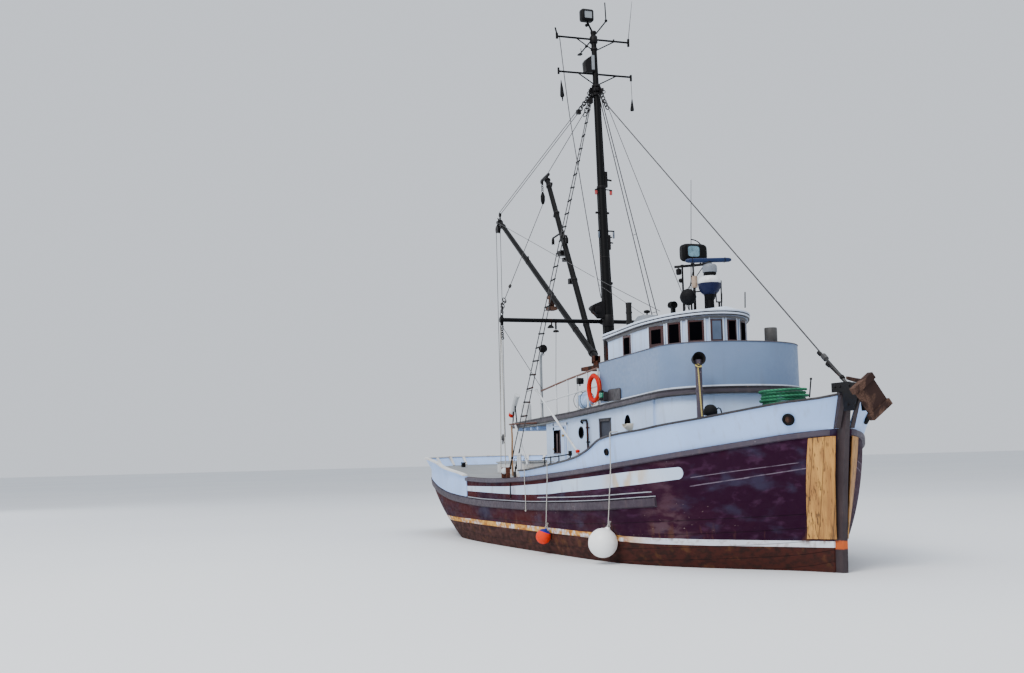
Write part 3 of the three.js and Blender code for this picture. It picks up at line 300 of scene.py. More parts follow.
def turned_block(centre: Point, size: Point, x_dir: Point, z_dir: Point = (0, 0, 1)) -> Part:
    """Block of a size about a centre whose own X and Z follow two directions."""
    x = np.asarray(x_dir, float) / np.linalg.norm(x_dir)
    y = np.cross(np.asarray(z_dir, float), x)
    y /= np.linalg.norm(y)
    basis = np.stack([x, y, np.cross(x, y)])
    points, faces, _ = block((-0.5, -0.5, -0.5), (0.5, 0.5, 0.5))
    return np.asarray(centre, float) + (points * np.asarray(size, float)) @ basis, faces, None


def prism(outline: list, axis: Axis, low: float, high: float) -> Part:
    """Plate of a flat outline carried along an axis; the outline gives the other two coordinates in order."""
    flat = np.asarray(outline, float)
    rings = np.stack([np.insert(flat, axis.value, value, axis=1) for value in (low, high)])
    n = len(flat)
    faces = grid_faces(2, n, True).tolist() + [list(range(n))[::-1], list(range(n, 2 * n))]
    return rings.reshape(-1, 3), faces, None


def sweep(profile: np.ndarray, path: np.ndarray, closed: bool = False) -> Part:
    """Moulding: a closed profile of (outward, up) offsets carried along a level path, outward to its right.

    Args:
        profile: corners of the section.
        path: points of the run.
        closed: joins the run's end to its start.

    Returns:
        Points, faces and texture coordinates.
    """
    path = np.asarray(path, float)
    around = np.concatenate([path[-1:], path, path[:1]]) if closed else path
    tangent = (np.gradient(around, axis=0)[1:-1] if closed else np.gradient(around, axis=0)) * (1, 1, 0)
    tangent /= np.linalg.norm(tangent, axis=1, keepdims=True) + 1e-12
    out = np.stack([tangent[:, 1], -tangent[:, 0], np.zeros(len(path))], -1)
    profile = np.asarray(profile, float)
    rings = path[:, None] + profile[None, :, :1] * out[:, None] + profile[None, :, 1:] * np.array([0, 0, 1.0])
    if closed:
        rings = np.concatenate([rings, rings[:1]])
    return surface(rings, wrap=True, caps=not closed)


def smooth_value(table: Table, at: np.ndarray | float) -> np.ndarray:
    """Smooth curve through a table: a cubic on each span whose end slopes are the harmonic means of the
    spans' slopes on both sides, and zero where these differ in sign, so the curve never overshoots."""
    x, y = np.array(table, float).T / 1000
    at = np.clip(np.asarray(at, float), x[0], x[-1])
    step = np.diff(y) / np.diff(x)
    slope = np.concatenate([[step[0]], np.where(step[1:] * step[:-1] > 0,
                                                2 * step[1:] * step[:-1] / (step[1:] + step[:-1] + 1e-12), 0),
                            [step[-1]]])
    k = np.clip(np.searchsorted(x, at) - 1, 0, len(x) - 2)
    h = x[k + 1] - x[k]
    t = (at - x[k]) / h
    return ((1 + 2 * t) * (1 - t) ** 2 * y[k] + t * (1 - t) ** 2 * h * slope[k]
            + t * t * (3 - 2 * t) * y[k + 1] + t * t * (t - 1) * h * slope[k + 1])


def straight_value(table: Table, at: np.ndarray | float) -> np.ndarray:
    """Straight runs between a table's entries, in metres."""
    x, y = np.array(table, float).T / 1000
    return np.interp(at, x, y)


# Materials


class Graph:
    """Short calls for the nodes of one material, all read from Object coordinates or the piece's own UV
    map."""

    def __init__(self, name: str) -> None:
        """Starts a material with one shader."""
        self.material = bpy.data.materials.new(name)
        self.material.use_nodes = True
        self.tree = self.material.node_tree
        self.tree.nodes.clear()
        self.shader = self.tree.nodes.new("ShaderNodeBsdfPrincipled")
        output = self.tree.nodes.new("ShaderNodeOutputMaterial")
        self.link(self.shader.outputs[0], output.inputs[0])
        coordinate = self.tree.nodes.new("ShaderNodeTexCoord")
        self.place = coordinate.outputs["Object"]
        self.uv = coordinate.outputs["UV"]

    def link(self, a: object, b: object) -> None:
        """Joins two sockets."""
        self.tree.links.new(a, b)

    def put(self, socket: object, value: object) -> None:
        """Sets a socket to a number or colour, or links it."""
        if isinstance(value, (int, float)):
            socket.default_value = value
        elif isinstance(value, tuple):
            socket.default_value = (*value,
                                    1.0) if len(value) == 3 and len(socket.default_value) == 4 else value
        else:
            self.link(value, socket)

    def mapped(self, stretch: Point, source: object = None, shift: Point = (0, 0, 0)) -> object:
        """Returns coordinates multiplied along each axis."""
        node = self.tree.nodes.new("ShaderNodeMapping")
        self.link(source or self.place, node.inputs[0])
        node.inputs["Location"].default_value = shift
        node.inputs["Scale"].default_value = stretch
        return node.outputs[0]

    def noise(self, scale: float, detail: float = 4, stretch: Point = (1, 1, 1), source: object = None,
              warp: float = 0) -> object:
        """Returns a cloudy value about one half."""
        node = self.tree.nodes.new("ShaderNodeTexNoise")
        self.link(self.mapped(stretch, source), node.inputs["Vector"])
        node.inputs["Scale"].default_value = scale
        node.inputs["Detail"].default_value = detail
        node.inputs["Distortion"].default_value = warp
        return node.outputs["Fac"]

    def axis(self, axis: Axis, source: object = None) -> object:
        """Returns one coordinate."""
        node = self.tree.nodes.new("ShaderNodeSeparateXYZ")
        self.link(source or self.place, node.inputs[0])
        return node.outputs[axis.value]

    def math(self, kind: str, a: object, b: object = 0.0, c: object = 0.0) -> object:
        """Returns a sum, product or other operation on values."""
        node = self.tree.nodes.new("ShaderNodeMath")
        node.operation = kind
        for socket, value in zip(node.inputs, (a, b, c)):
            self.put(socket, value)
        return node.outputs[0]

    def span(self, value: object, low: float, high: float, to_low: float = 0.0,
             to_high: float = 1.0) -> object:
        """Returns a value carried from one range to another, smooth and held at its ends."""
        node = self.tree.nodes.new("ShaderNodeMapRange")
        node.interpolation_type = "SMOOTHSTEP"
        for socket, number in zip(node.inputs, (value, low, high, to_low, to_high)):
            self.put(socket, number)
        return node.outputs[0]

    def mix(self, share: object, a: object, b: object, mode: str = "MIX") -> object:
        """Returns a mixture of two colours."""
        node = self.tree.nodes.new("ShaderNodeMix")
        node.data_type = "RGBA"
        node.blend_type = mode
        self.put(node.inputs["Factor"], share)
        self.put(node.inputs[6], a)
        self.put(node.inputs[7], b)
        return node.outputs[2]

    def seams(self, value: object, pitch: float, width: float) -> object:
        """Returns 1 in narrow lines a pitch apart: the distance of value/pitch from its whole part, held
        below width."""
        part = self.math("FRACT", self.math("DIVIDE", value, pitch))
        near = self.math("MINIMUM", part, self.math("SUBTRACT", 1.0, part))
        return self.span(near, 0.0, width / pitch, 1.0, 0.0)

    def finish(self, colour: object, roughness: object, heights: list[tuple[object, float]],
               metallic: float = 0.0, specular: float = 0.5, coat: float = 0.0) -> bpy.types.Material:
        """Sets the shader from colour, roughness and bump heights in metres, and returns the material."""
        self.put(self.shader.inputs["Base Color"], colour)
        self.put(self.shader.inputs["Roughness"], roughness)
        self.shader.inputs["Metallic"].default_value = metallic
        self.shader.inputs["Specular IOR Level"].default_value = specular
        self.shader.inputs["Coat Weight"].default_value = coat
        normal = None
        for value, distance in heights:
            bump = self.tree.nodes.new("ShaderNodeBump")
            bump.inputs["Strength"].default_value = 1.0
            bump.inputs["Distance"].default_value = distance
            self.link(value, bump.inputs["Height"])
            if normal:
                self.link(normal, bump.inputs["Normal"])
            normal = bump.outputs[0]
        if normal:
            self.link(normal, self.shader.inputs["Normal"])
        return self.material


@dataclass(frozen=True)
class Paint:
    """Brushed paint on boards or plates, with run-down dirt, worn spots and boards' seams."""

    name: str
    base: Colour
    worn: Colour = (0.3, 0.26, 0.22)
    dirt: Colour = (0.28, 0.24, 0.2)
    dirty: float = 0.35
    wear: float = 0.25
    seam_axis: Axis | None = None
    pitch: float = 0.14
    rough: float = 0.5
    specular: float = 0.4
    stain: Colour | None = None
    stained: tuple[float, float] = (0.0, 0.0)

    def make(self) -> bpy.types.Material:
        """Returns the material: base colour shifted by broad clouds, streaked downwards, bare where fine
        clouds peak."""
        g = Graph(self.name)
        broad = g.noise(0.9, 5, (1, 1, 1.6))
        fine = g.noise(14, 8)
        streak = g.noise(5, 6, (1.6, 1.6, 0.16))
        tone = g.mix(g.span(broad, 0.3, 0.7), self.base, tuple(min(1.0, c * 1.12 + 0.01) for c in self.base))
        soiled = g.mix(g.math("MULTIPLY", g.span(streak, 0.52, 0.8), self.dirty), tone, self.dirt)
        grime = g.mix(g.math("MULTIPLY", g.span(g.noise(2.3, 9), 0.55, 0.8), self.dirty * 0.6), soiled,
                      self.dirt)
        spots = g.math("MULTIPLY", g.span(g.noise(34, 7, warp=0.4), 0.66, 0.72),
                       g.span(broad, 0.45, 0.65, 0, self.wear * 4))
        colour = g.mix(g.math("MINIMUM", spots, 1.0), grime, self.worn)
        heights = [(fine, 0.0012), (spots, -0.0006)]
        if self.stain is not None:
            level = g.math("ADD", g.axis(Axis.Z), g.math("MULTIPLY", fine, 0.03))
            low, high = self.stained
            inside = g.math("MULTIPLY", g.span(level, low, low + 0.03),
                            g.span(level, high, high + 0.03, 1, 0))
            colour = g.mix(g.math("MULTIPLY", inside, g.span(g.noise(9, 6), 0.25, 0.5, 0.45, 1.0)), colour,
                           self.stain)
        if self.seam_axis is not None:
            seam = g.seams(g.axis(self.seam_axis), self.pitch, 0.006)
            colour = g.mix(g.math("MULTIPLY", seam, 0.45), colour, tuple(c * 0.35 for c in self.base))
            heights.append((seam, -0.004))
        return g.finish(colour, g.span(fine, 0.3, 0.7, self.rough - 0.08, self.rough + 0.14), heights,
                        specular=self.specular)


@dataclass(frozen=True)
class Metal:
    """Painted or bare iron with rust in patches and runs."""

    name: str
    base: Colour
    rust: Colour = (0.16, 0.058, 0.024)
    rusty: float = 0.4
    rough: float = 0.5
    metallic: float = 0.0
    low_rust: tuple[float, float] | None = None
    specular: float = 0.25

    def make(self) -> bpy.types.Material:
        """Returns the material: paint where clouds are low, rust where they are high, more of it below a
        height if given."""
        g = Graph(self.name)
        clouds = g.noise(3.5, 9, (1, 1, 0.5), warp=0.6)
        grain = g.noise(60, 8)
        edge = 0.78 - 0.4 * self.rusty
        patch = g.span(clouds, edge, edge + 0.09)
        if self.low_rust:
            near = g.span(g.axis(Axis.Z), self.low_rust[0], self.low_rust[1], 0.24, 0.0)
            patch = g.span(g.math("ADD", clouds, near), edge, edge + 0.09)
        rust = g.mix(g.span(grain, 0.35, 0.7), self.rust, tuple(min(1.0, c * 2.1) for c in self.rust))
        tone = g.mix(g.span(g.noise(1.5, 4), 0.3, 0.7), self.base, tuple(c * 0.75 for c in self.base))
        colour = g.mix(patch, tone, rust)
        return g.finish(colour, g.span(patch, 0, 1, self.rough, 0.85), [(grain, 0.0012), (patch, 0.0012)],
                        self.metallic, self.specular)


@dataclass(frozen=True)
class Wood:
    """Bare or varnished wood with its grain along one axis."""

    name: str
    base: Colour
    dark: Colour
    along: Axis = Axis.Z
    board: float = 0.0
    board_axis: Axis = Axis.X
    rough: float = 0.6
    checked: float = 0.0

    def make(self) -> bpy.types.Material:
        """Returns the material: clouds drawn long along the grain make light and dark bands, and boards
        differ in tone."""
        g = Graph(self.name)
        stretch = tuple(0.06 if i == self.along.value else 1.0 for i in range(3))
        grain = g.noise(46, 10, stretch, warp=0.5)
        bands = g.noise(9, 6, stretch, warp=1.2)
        colour = g.mix(g.span(bands, 0.35, 0.68), self.base, self.dark)
        colour = g.mix(g.math("MULTIPLY", g.span(grain, 0.5, 0.75), 0.6), colour, self.dark)
        blot = g.span(g.noise(1.8, 8), 0.52, 0.75, 0, 0.55)
        colour = g.mix(blot, colour, tuple(c * 0.45 for c in self.dark))
        heights = [(grain, 0.0018)]
        if self.checked:
            crack = g.span(g.noise(40, 3, tuple(s * (1.6 if s < 1 else 1.0) for s in stretch)), 0.57, 0.62)
            crack = g.math("MULTIPLY", crack, g.span(g.noise(3.2, 4, (1, 1, 1.6)), 0.36, 0.52, 0,
                                                     self.checked))
            colour = g.mix(crack, colour, tuple(c * 0.18 for c in self.dark))
            heights.append((crack, -0.003))
        if self.board:
            value = g.axis(self.board_axis)
            seam = g.seams(value, self.board, 0.008)
            step = g.math("FRACT", g.math("MULTIPLY", g.math("FLOOR", g.math("DIVIDE", value, self.board)),
                                          0.618))
            colour = g.mix(g.math("MULTIPLY", step, 0.4), colour, self.dark)
            colour = g.mix(g.math("MULTIPLY", seam, 0.8), colour, tuple(c * 0.2 for c in self.dark))
            heights.append((seam, -0.005))
        return g.finish(colour, self.rough, heights)


@dataclass(frozen=True)
class Plain:
    """Even stuff such as rubber, plastic, glass or a lamp lens, with fine clouds in tone and gloss."""

    name: str
    base: Colour
    rough: float = 0.5
    specular: float = 0.5
    coat: float = 0.0
    mottle: float = 0.25
    scale: float = 7.0
    bump: float = 0.0008
    metallic: float = 0.0
    dirt: Colour | None = None

    def make(self) -> bpy.types.Material:
        """Returns the material: the base colour darkened by clouds, with dirt in their peaks if a dirt
        colour is given."""
        g = Graph(self.name)
        clouds = g.noise(self.scale, 7)
        colour = g.mix(g.span(clouds, 0.35, 0.75, 0, self.mottle), self.base,
                       tuple(c * 0.4 for c in self.base))
        if self.dirt:
            colour = g.mix(g.span(g.noise(self.scale * 0.6, 9, warp=0.5), 0.52, 0.72, 0, 0.7), colour,
                           self.dirt)
        rough = g.span(g.noise(self.scale * 4, 5), 0.3, 0.7, max(0.02, self.rough - 0.06), self.rough + 0.08)
        return g.finish(colour, rough, [(g.noise(self.scale * 9, 5), self.bump)], self.metallic,
                        self.specular, self.coat)


@dataclass(frozen=True)
class Rope:
    """Laid rope: slanting strands wound round the line, from the piece's own UV map."""

    name: str
    base: Colour
    dark: Colour
    rough: float = 0.8

    def make(self) -> bpy.types.Material:
        """Returns the material: three strands, found as the fraction of a third of the length in radii plus
        the turn."""
        g = Graph(self.name)
        u, v = g.axis(Axis.X, g.uv), g.axis(Axis.Y, g.uv)
        turn = g.math("FRACT", g.math("ADD", g.math("MULTIPLY", u, 0.32), g.math("MULTIPLY", v, 3.0)))
        strand = g.math("SINE", g.math("MULTIPLY", turn, math.pi))
        fibre = g.noise(90, 5)
        colour = g.mix(g.span(strand, 0.1, 0.8), self.dark, self.base)
        colour = g.mix(g.span(g.noise(3, 6), 0.45, 0.75, 0, 0.5), colour, self.dark)
        return g.finish(colour, self.rough, [(strand, 0.004), (fibre, 0.001)])


@dataclass(frozen=True)
class HullPaint:
    """Paint of the planking: bottom colour, boot stripe, dark topsides and a white band between the guards.

    The piece's UV map holds the station in metres and the row: 0 to 1 below the strake, 1 to 2 the strake,
    2 to 2.25 up to the band, 2.25 to 2.75 the band, up to 3 the planks over it and 3 to 4 the guard.
    """

    name: str
    bottom: Colour = (0.06, 0.018, 0.014)
    stripe: Colour = (0.74, 0.78, 0.86)
    side: Colour = (0.02, 0.0032, 0.0155)
    scuffed: Colour = (0.054, 0.019, 0.047)
    band: Colour = (0.5, 0.61, 0.79)
    rust: Colour = (0.42, 0.15, 0.028)
    stripe_wide: float = 0.105
    band_aft: float = -3.59
    band_round: float = 6.27
    planks: float = 13.0
    scratches: tuple[tuple[float, ...], ...] = (
        (6.47, 1.44, 7.47, 1.58, 0.006), (7.4, 1.575, 8.33, 1.72, 0.005), (6.5, 1.59, 8.2, 1.81, 0.003))

    def scratch(self, g: Graph, x: object, z: object, run: tuple[float, ...]) -> object:
        """Returns 1 near a straight scrape: the height over the line between its ends is below its width,
        broken by clouds."""
        x0, z0, x1, z1, wide = run
        line = g.math("ADD", g.math("MULTIPLY", x, (z1 - z0) / (x1 - x0)), z0 - x0 * (z1 - z0) / (x1 - x0))
        off = g.math("ABSOLUTE", g.math("SUBTRACT", g.math("ADD", z, g.math("MULTIPLY", g.noise(3, 4), 0.01)),
                                        line))
        near = g.span(g.math("SUBTRACT", off, 0.005), wide * 0.4, wide, 1, 0)
        inside = g.math("MULTIPLY", g.span(x, x0 - 0.02, x0 + 0.02), g.span(x, x1 - 0.02, x1 + 0.02, 1, 0))
        return g.math("MULTIPLY", g.math("MULTIPLY", near, inside),
                      g.span(g.noise(5, 9), 0.28, 0.56, 0.25, 1.0))

    def make(self) -> bpy.types.Material:
        """Returns the material, built up from the bottom colour by masks of height, station and row."""
        g = Graph(self.name)
        x, row, z = g.axis(Axis.X, g.uv), g.axis(Axis.Y, g.uv), g.axis(Axis.Z)
        broad, fine = g.noise(0.8, 6, (0.6, 1, 1)), g.noise(11, 9, (0.5, 1, 1))
        drag = g.noise(6, 9, (0.22, 1, 1.2), warp=0.2)
        side = g.mix(g.span(drag, 0.52, 0.74, 0, 0.75), self.side, self.scuffed)
        side = g.mix(g.span(broad, 0.48, 0.72, 0, 0.6), side, (0.05, 0.01, 0.024))
        side = g.mix(g.math("MULTIPLY", g.span(g.noise(1.3, 8, (0.5, 1, 1)), 0.36, 0.62),
                            g.span(x, 4.6, 2.2, 0, 0.95)), side, (0.056, 0.008, 0.0085))
        side = g.mix(g.span(g.noise(2.2, 9, (0.6, 1, 1.4), warp=0.15), 0.5, 0.72, 0, 0.55), side,
                     (0.04, 0.04, 0.074))
        chips = g.span(g.noise(26, 9, (0.45, 1, 1)), 0.67, 0.7, 0, 0.7)
        side = g.mix(g.math("MULTIPLY", chips, g.span(broad, 0.5, 0.62)), side, (0.28, 0.22, 0.2))
        rubbed = g.math("MULTIPLY", g.math("MULTIPLY", g.span(x, 5.2, 5.7), g.span(x, 6.0, 6.5, 1, 0)),
                        g.span(drag, 0.4, 0.6))
        side = g.mix(g.math("MULTIPLY", rubbed, g.span(z, 1.35, 0.6, 0.25, 0.6)), side, (0.105, 0.062, 0.07))
        for run in self.scratches:
            side = g.mix(g.math("MULTIPLY", self.scratch(g, x, z, run), 0.42), side, (0.3, 0.25, 0.31))
        bottom = g.mix(g.span(fine, 0.35, 0.7), self.bottom, (0.03, 0.016, 0.014))
        bottom = g.mix(g.span(g.noise(4, 8), 0.55, 0.7, 0, 0.6), bottom, (0.12, 0.05, 0.022))
        wave = g.math("MULTIPLY", g.math("SUBTRACT", g.noise(2.2, 5), 0.5), 0.012)
        level = g.math("SUBTRACT", g.math("ADD", z, wave), g.span(x, 3.6, 5.6, 0.545, 0.512))
        stripe = g.mix(g.span(fine, 0.5, 0.68, 0, 0.5), self.stripe, (0.34, 0.28, 0.26))
        blots = g.math("ADD", g.math("MULTIPLY", g.noise(1.5, 9, (1, 1, 2)), 0.6),
                       g.math("MULTIPLY", g.noise(9, 9), 0.4))
        stain = g.math("MULTIPLY", g.span(blots, 0.38, 0.5), g.span(x, 5.6, 4.6, 0.06, 1.0))
        tan = g.mix(g.span(fine, 0.35, 0.65), self.rust, (0.72, 0.4, 0.1))
        stripe = g.mix(stain, stripe, tan)
        colour = g.mix(g.span(level, -self.stripe_wide - 0.004, -self.stripe_wide + 0.004), bottom, stripe)
        colour = g.mix(g.span(level, -0.004, 0.004), colour, side)
        weep = g.math("MULTIPLY", g.span(g.noise(6, 7, (1, 1, 0.12)), 0.58, 0.72),
                      g.span(level, 0.38, 0.0, 0, 0.7))
        colour = g.mix(g.math("MULTIPLY", weep, g.span(level, -0.1, 0.0)), colour, (0.11, 0.05, 0.028))
        ahead = g.math("MAXIMUM", g.math("DIVIDE", g.math("SUBTRACT", x, self.band_round), 0.1), 0.0)
        across = g.math("DIVIDE", g.math("SUBTRACT", row, 2.5), 0.25)
        reach = g.math("SQRT", g.math("ADD", g.math("MULTIPLY", ahead, ahead),
                                      g.math("MULTIPLY", across, across)))
        band = g.math("MULTIPLY", g.span(reach, 0.97, 1.01, 1, 0),
                      g.span(x, self.band_aft - 0.01, self.band_aft))
        pale = g.mix(g.span(g.noise(1.4, 7, (0.5, 1, 1)), 0.4, 0.7), self.band, (0.6, 0.69, 0.83))
        pale = g.mix(g.span(g.noise(5, 8, (0.8, 1, 0.25)), 0.56, 0.76, 0, 0.6), pale, (0.27, 0.24, 0.28))
        amber = g.math("MULTIPLY", g.span(g.noise(2.6, 8, (1, 1, 0.4)), 0.48, 0.62, 0, 0.7),
                       g.span(x, 4.0, 4.8))
        pale = g.mix(g.math("MULTIPLY", amber, g.span(x, 5.9, 5.2)), pale, (0.58, 0.4, 0.17))
        colour = g.mix(band, colour, pale)
        seam = g.math("MULTIPLY", g.seams(row, 1.0 / self.planks, 0.004), g.span(row, 0.99, 1.0, 1, 0))
        colour = g.mix(g.math("MULTIPLY", seam, 0.5), colour, (0.006, 0.004, 0.006))
        rough = g.span(fine, 0.3, 0.7, 0.6, 0.85)
        return g.finish(colour, rough, [(seam, -0.006), (fine, 0.002), (drag, 0.003)], specular=0.08)


class Kit:
    """Every finish of the boat, made once and handed out by name."""

    FINISHES = (
        HullPaint("paint_planking"),
        Paint("paint_white", (0.37, 0.54, 0.88), dirty=0.26, wear=0.1),
        Paint("paint_white_boards", (0.47, 0.6, 0.82), dirty=0.32, wear=0.14),
        # Painted shade: the dodger's white paint is made dark blue-grey for the shade that lies on the
        # screen.
        Paint("paint_dodger_shaded", (0.132, 0.196, 0.318), dirty=0.22, wear=0.08, dirt=(0.13, 0.14, 0.17)),
        Paint("paint_inside", (0.62, 0.62, 0.61), dirty=0.5, wear=0.3, dirt=(0.36, 0.24, 0.15)),
        Paint("paint_guard", (0.05, 0.038, 0.056), worn=(0.22, 0.18, 0.21), dirty=0.5, wear=0.6, rough=0.6,
              dirt=(0.12, 0.085, 0.085)),
        Paint("paint_strake", (0.03, 0.018, 0.03), worn=(0.26, 0.22, 0.25), dirty=0.5, wear=0.5, rough=0.6,
              dirt=(0.085, 0.045, 0.05)),
        Paint("paint_cap", (0.02, 0.016, 0.021), worn=(0.16, 0.1, 0.08), dirty=0.4, wear=0.4,
              dirt=(0.09, 0.07, 0.065)),
        Paint("paint_fascia", (0.045, 0.036, 0.048), worn=(0.2, 0.16, 0.17), dirty=0.35, wear=0.3,
              dirt=(0.1, 0.08, 0.085)),
        Paint("paint_ledge", (0.3, 0.31, 0.35), worn=(0.045, 0.034, 0.045), dirty=0.7, wear=1.0,
              dirt=(0.07, 0.05, 0.06)),
        Paint("paint_grey", (0.155, 0.175, 0.205), dirty=0.3, wear=0.2),
        Paint("paint_stem", (0.026, 0.015, 0.018), worn=(0.12, 0.05, 0.035), dirty=0.4, wear=0.4,
              dirt=(0.075, 0.045, 0.04),
              stain=(0.5, 0.085, 0.008), stained=(0.385, 0.52)),
        # Painted shade: the cream cornice under the roof's edge is made dark grey for the shade it lies in.
        Paint("paint_cornice_shaded", (0.15, 0.148, 0.155), dirty=0.4, wear=0.15, specular=0.1),
        Paint("paint_roof", (0.58, 0.66, 0.79), dirty=0.4, wear=0.15),
        Paint("paint_deck", (0.23, 0.24, 0.25), dirty=0.7, wear=0.6, seam_axis=Axis.Y, pitch=0.11,
              rough=0.75),
        Paint("paint_boat_deck", (0.3, 0.31, 0.31), dirty=0.6, wear=0.5, rough=0.75),
        Paint("paint_hatch", (0.36, 0.38, 0.4), dirty=0.6, wear=0.6, rough=0.7, seam_axis=Axis.Y, pitch=0.2),
        Paint("paint_bottom", (0.06, 0.018, 0.014), worn=(0.12, 0.06, 0.04), dirty=0.6, wear=0.5, rough=0.75),
        Paint("paint_blue_dark", (0.0018, 0.0048, 0.036), dirty=0.05, wear=0.1, rough=0.4, specular=0.2,
              dirt=(0.02, 0.02, 0.03)),
        Wood("wood_sheathing", (0.6, 0.3, 0.066), (0.33, 0.145, 0.034), Axis.Z, 0.145, Axis.Y, checked=0.9),
        Wood("wood_varnished", (0.048, 0.0055, 0.005), (0.018, 0.003, 0.003), Axis.Z, rough=0.5),
        Metal("iron_black", (0.0024, 0.0023, 0.0028), rust=(0.028, 0.0095, 0.007), rusty=0.12,
              low_rust=(3.0, 6.5), specular=0.12),
        Metal("iron_fitting", (0.006, 0.005, 0.0058), rust=(0.04, 0.016, 0.011), rusty=0.35, specular=0.15),
        Metal("iron_anchor", (0.038, 0.021, 0.018), rust=(0.06, 0.033, 0.024), rusty=0.75, rough=0.8,
              specular=0.1),
        Metal("iron_rusty", (0.026, 0.012, 0.01), rust=(0.06, 0.022, 0.014), rusty=0.8, rough=0.8,
              specular=0.1),
        Metal("pipe_white", (0.62, 0.64, 0.66), rusty=0.3),
        Metal("pipe_rusty", (0.16, 0.085, 0.065), rust=(0.1, 0.042, 0.028), rusty=0.7),
        Metal("metal_grey", (0.24, 0.26, 0.28), rusty=0.18),
        Metal("metal_dull", (0.085, 0.082, 0.08), rusty=0.2),
        Metal("metal_sooty", (0.014, 0.013, 0.013), rusty=0.3, rough=0.8),
        Metal("metal_bronze", (0.34, 0.22, 0.08), rust=(0.05, 0.1, 0.075), rusty=0.35, metallic=0.8),
        Plain("plastic_radar", (0.006, 0.018, 0.07), rough=0.4, specular=0.25),
        Plain("plastic_white", (0.72, 0.74, 0.76), rough=0.35, dirt=(0.4, 0.36, 0.3), scale=4),
        Plain("plastic_cream", (0.6, 0.55, 0.44), rough=0.5, scale=5),
        Plain("plastic_tan", (0.42, 0.3, 0.22), rough=0.5),
        Plain("plastic_blue_bag", (0.36, 0.52, 0.78), rough=0.45, mottle=0.3, scale=12),
        Plain("rubber_black", (0.005, 0.005, 0.006), rough=0.7, specular=0.15),
        Plain("pane_black", (0.002, 0.002, 0.003), rough=0.8, specular=0.0),
        # Painted light: pale blue for the bright sky seen in a pane.
        Plain("pane_sky_lit", (0.12, 0.16, 0.235), rough=0.5, specular=0.1, mottle=0.5, scale=2),
        Plain("pane_grey", (0.055, 0.06, 0.078), rough=0.6, specular=0.05),
        Plain("glass_dark", (0.0018, 0.0018, 0.0024), rough=0.3, specular=0.1, mottle=0.5, bump=0.0002,
              scale=2),
        Plain("glass_pale", (0.11, 0.135, 0.175), rough=0.22, specular=0.3, mottle=0.4, bump=0.0002, scale=3),
        Plain("glass_flood", (0.15, 0.29, 0.36), rough=0.2, specular=0.6, mottle=0.9, bump=0.0004, scale=9),
        Plain("glass_green", (0.01, 0.22, 0.13), rough=0.12, specular=0.8, coat=0.5),
        Plain("glass_red", (0.36, 0.012, 0.012), rough=0.12, specular=0.8, coat=0.5),
        Plain("fender_white_skin", (0.96, 0.96, 0.95), rough=0.42, mottle=0.05, scale=5,
              dirt=(0.78, 0.74, 0.68)),
        Plain("fender_orange_skin", (0.86, 0.042, 0.009), rough=0.6, specular=0.12, mottle=0.15, scale=6,
              dirt=(0.62, 0.07, 0.025)),
        Plain("fender_blue_cap", (0.016, 0.024, 0.26), rough=0.45, specular=0.2),
        Plain("ring_orange", (0.52, 0.009, 0.002), rough=0.6, specular=0.12, mottle=0.25, scale=9,
              dirt=(0.36, 0.015, 0.006)),
        Rope("rope_yellow", (0.62, 0.5, 0.14), (0.22, 0.16, 0.05)),
        Rope("rope_tan", (0.42, 0.24, 0.12), (0.15, 0.075, 0.035)),
        Rope("rope_orange", (0.55, 0.17, 0.045), (0.2, 0.06, 0.02)),
        Rope("rope_green", (0.018, 0.22, 0.095), (0.004, 0.055, 0.028)),
        Rope("rope_white", (0.6, 0.58, 0.54), (0.28, 0.26, 0.23)),
        Rope("rope_dark", (0.03, 0.027, 0.027), (0.01, 0.009, 0.009)),
        Rope("wire", (0.06, 0.058, 0.06), (0.02, 0.019, 0.02), rough=0.5),
    )

    def __init__(self) -> None:
        """Makes an empty store."""
        self.made: dict[str, bpy.types.Material] = {}
        self.known = {finish.name: finish for finish in self.FINISHES}

    def get(self, name: str) -> bpy.types.Material:
        """Returns the material of that name, making it the first time."""
        if name not in self.made:
            self.made[name] = self.known[name].make()
        return self.made[name]


KIT = Kit()


# Pieces


def piece(name: str, shape: Shape, finish: str, body: str = VESSEL, *, replaces: tuple[str, ...] = (),
          bevel: float = 0.0, smooth: float = 35.0,
          levels: int = 1) -> bpy.types.Object:
    """Makes one piece from a shape and sets it on its body.

    Args:
        name: the piece's name.
        shape: its points and faces.
        finish: its finish's name.
        body: the body that carries it, or nothing to leave it on no body.
        replaces: nodes that it stands for.
        bevel: width of its rounded edges.
        smooth: angle in degrees up to which edges shade smooth.
        levels: segments of the rounding.

    Returns:
        The piece's object.
    """
    mesh = bpy.data.meshes.new(name)
    mesh.from_pydata(shape.points().tolist(), [], shape.faces)
    uv = np.concatenate(shape.uvs)
    layer = mesh.uv_layers.new(name="UVMap")
    loops = np.zeros(len(mesh.loops), np.int32)
    mesh.loops.foreach_get("vertex_index", loops)
    layer.data.foreach_set("uv", uv[loops].astype(np.float32).ravel())
    tidy = bmesh.new()
    tidy.from_mesh(mesh)
    bmesh.ops.remove_doubles(tidy, verts=tidy.verts, dist=MERGE)
    bmesh.ops.recalc_face_normals(tidy, faces=tidy.faces)
    tidy.to_mesh(mesh)
    tidy.free()
    return settle(name, mesh, finish, body, replaces, bevel, smooth, levels)


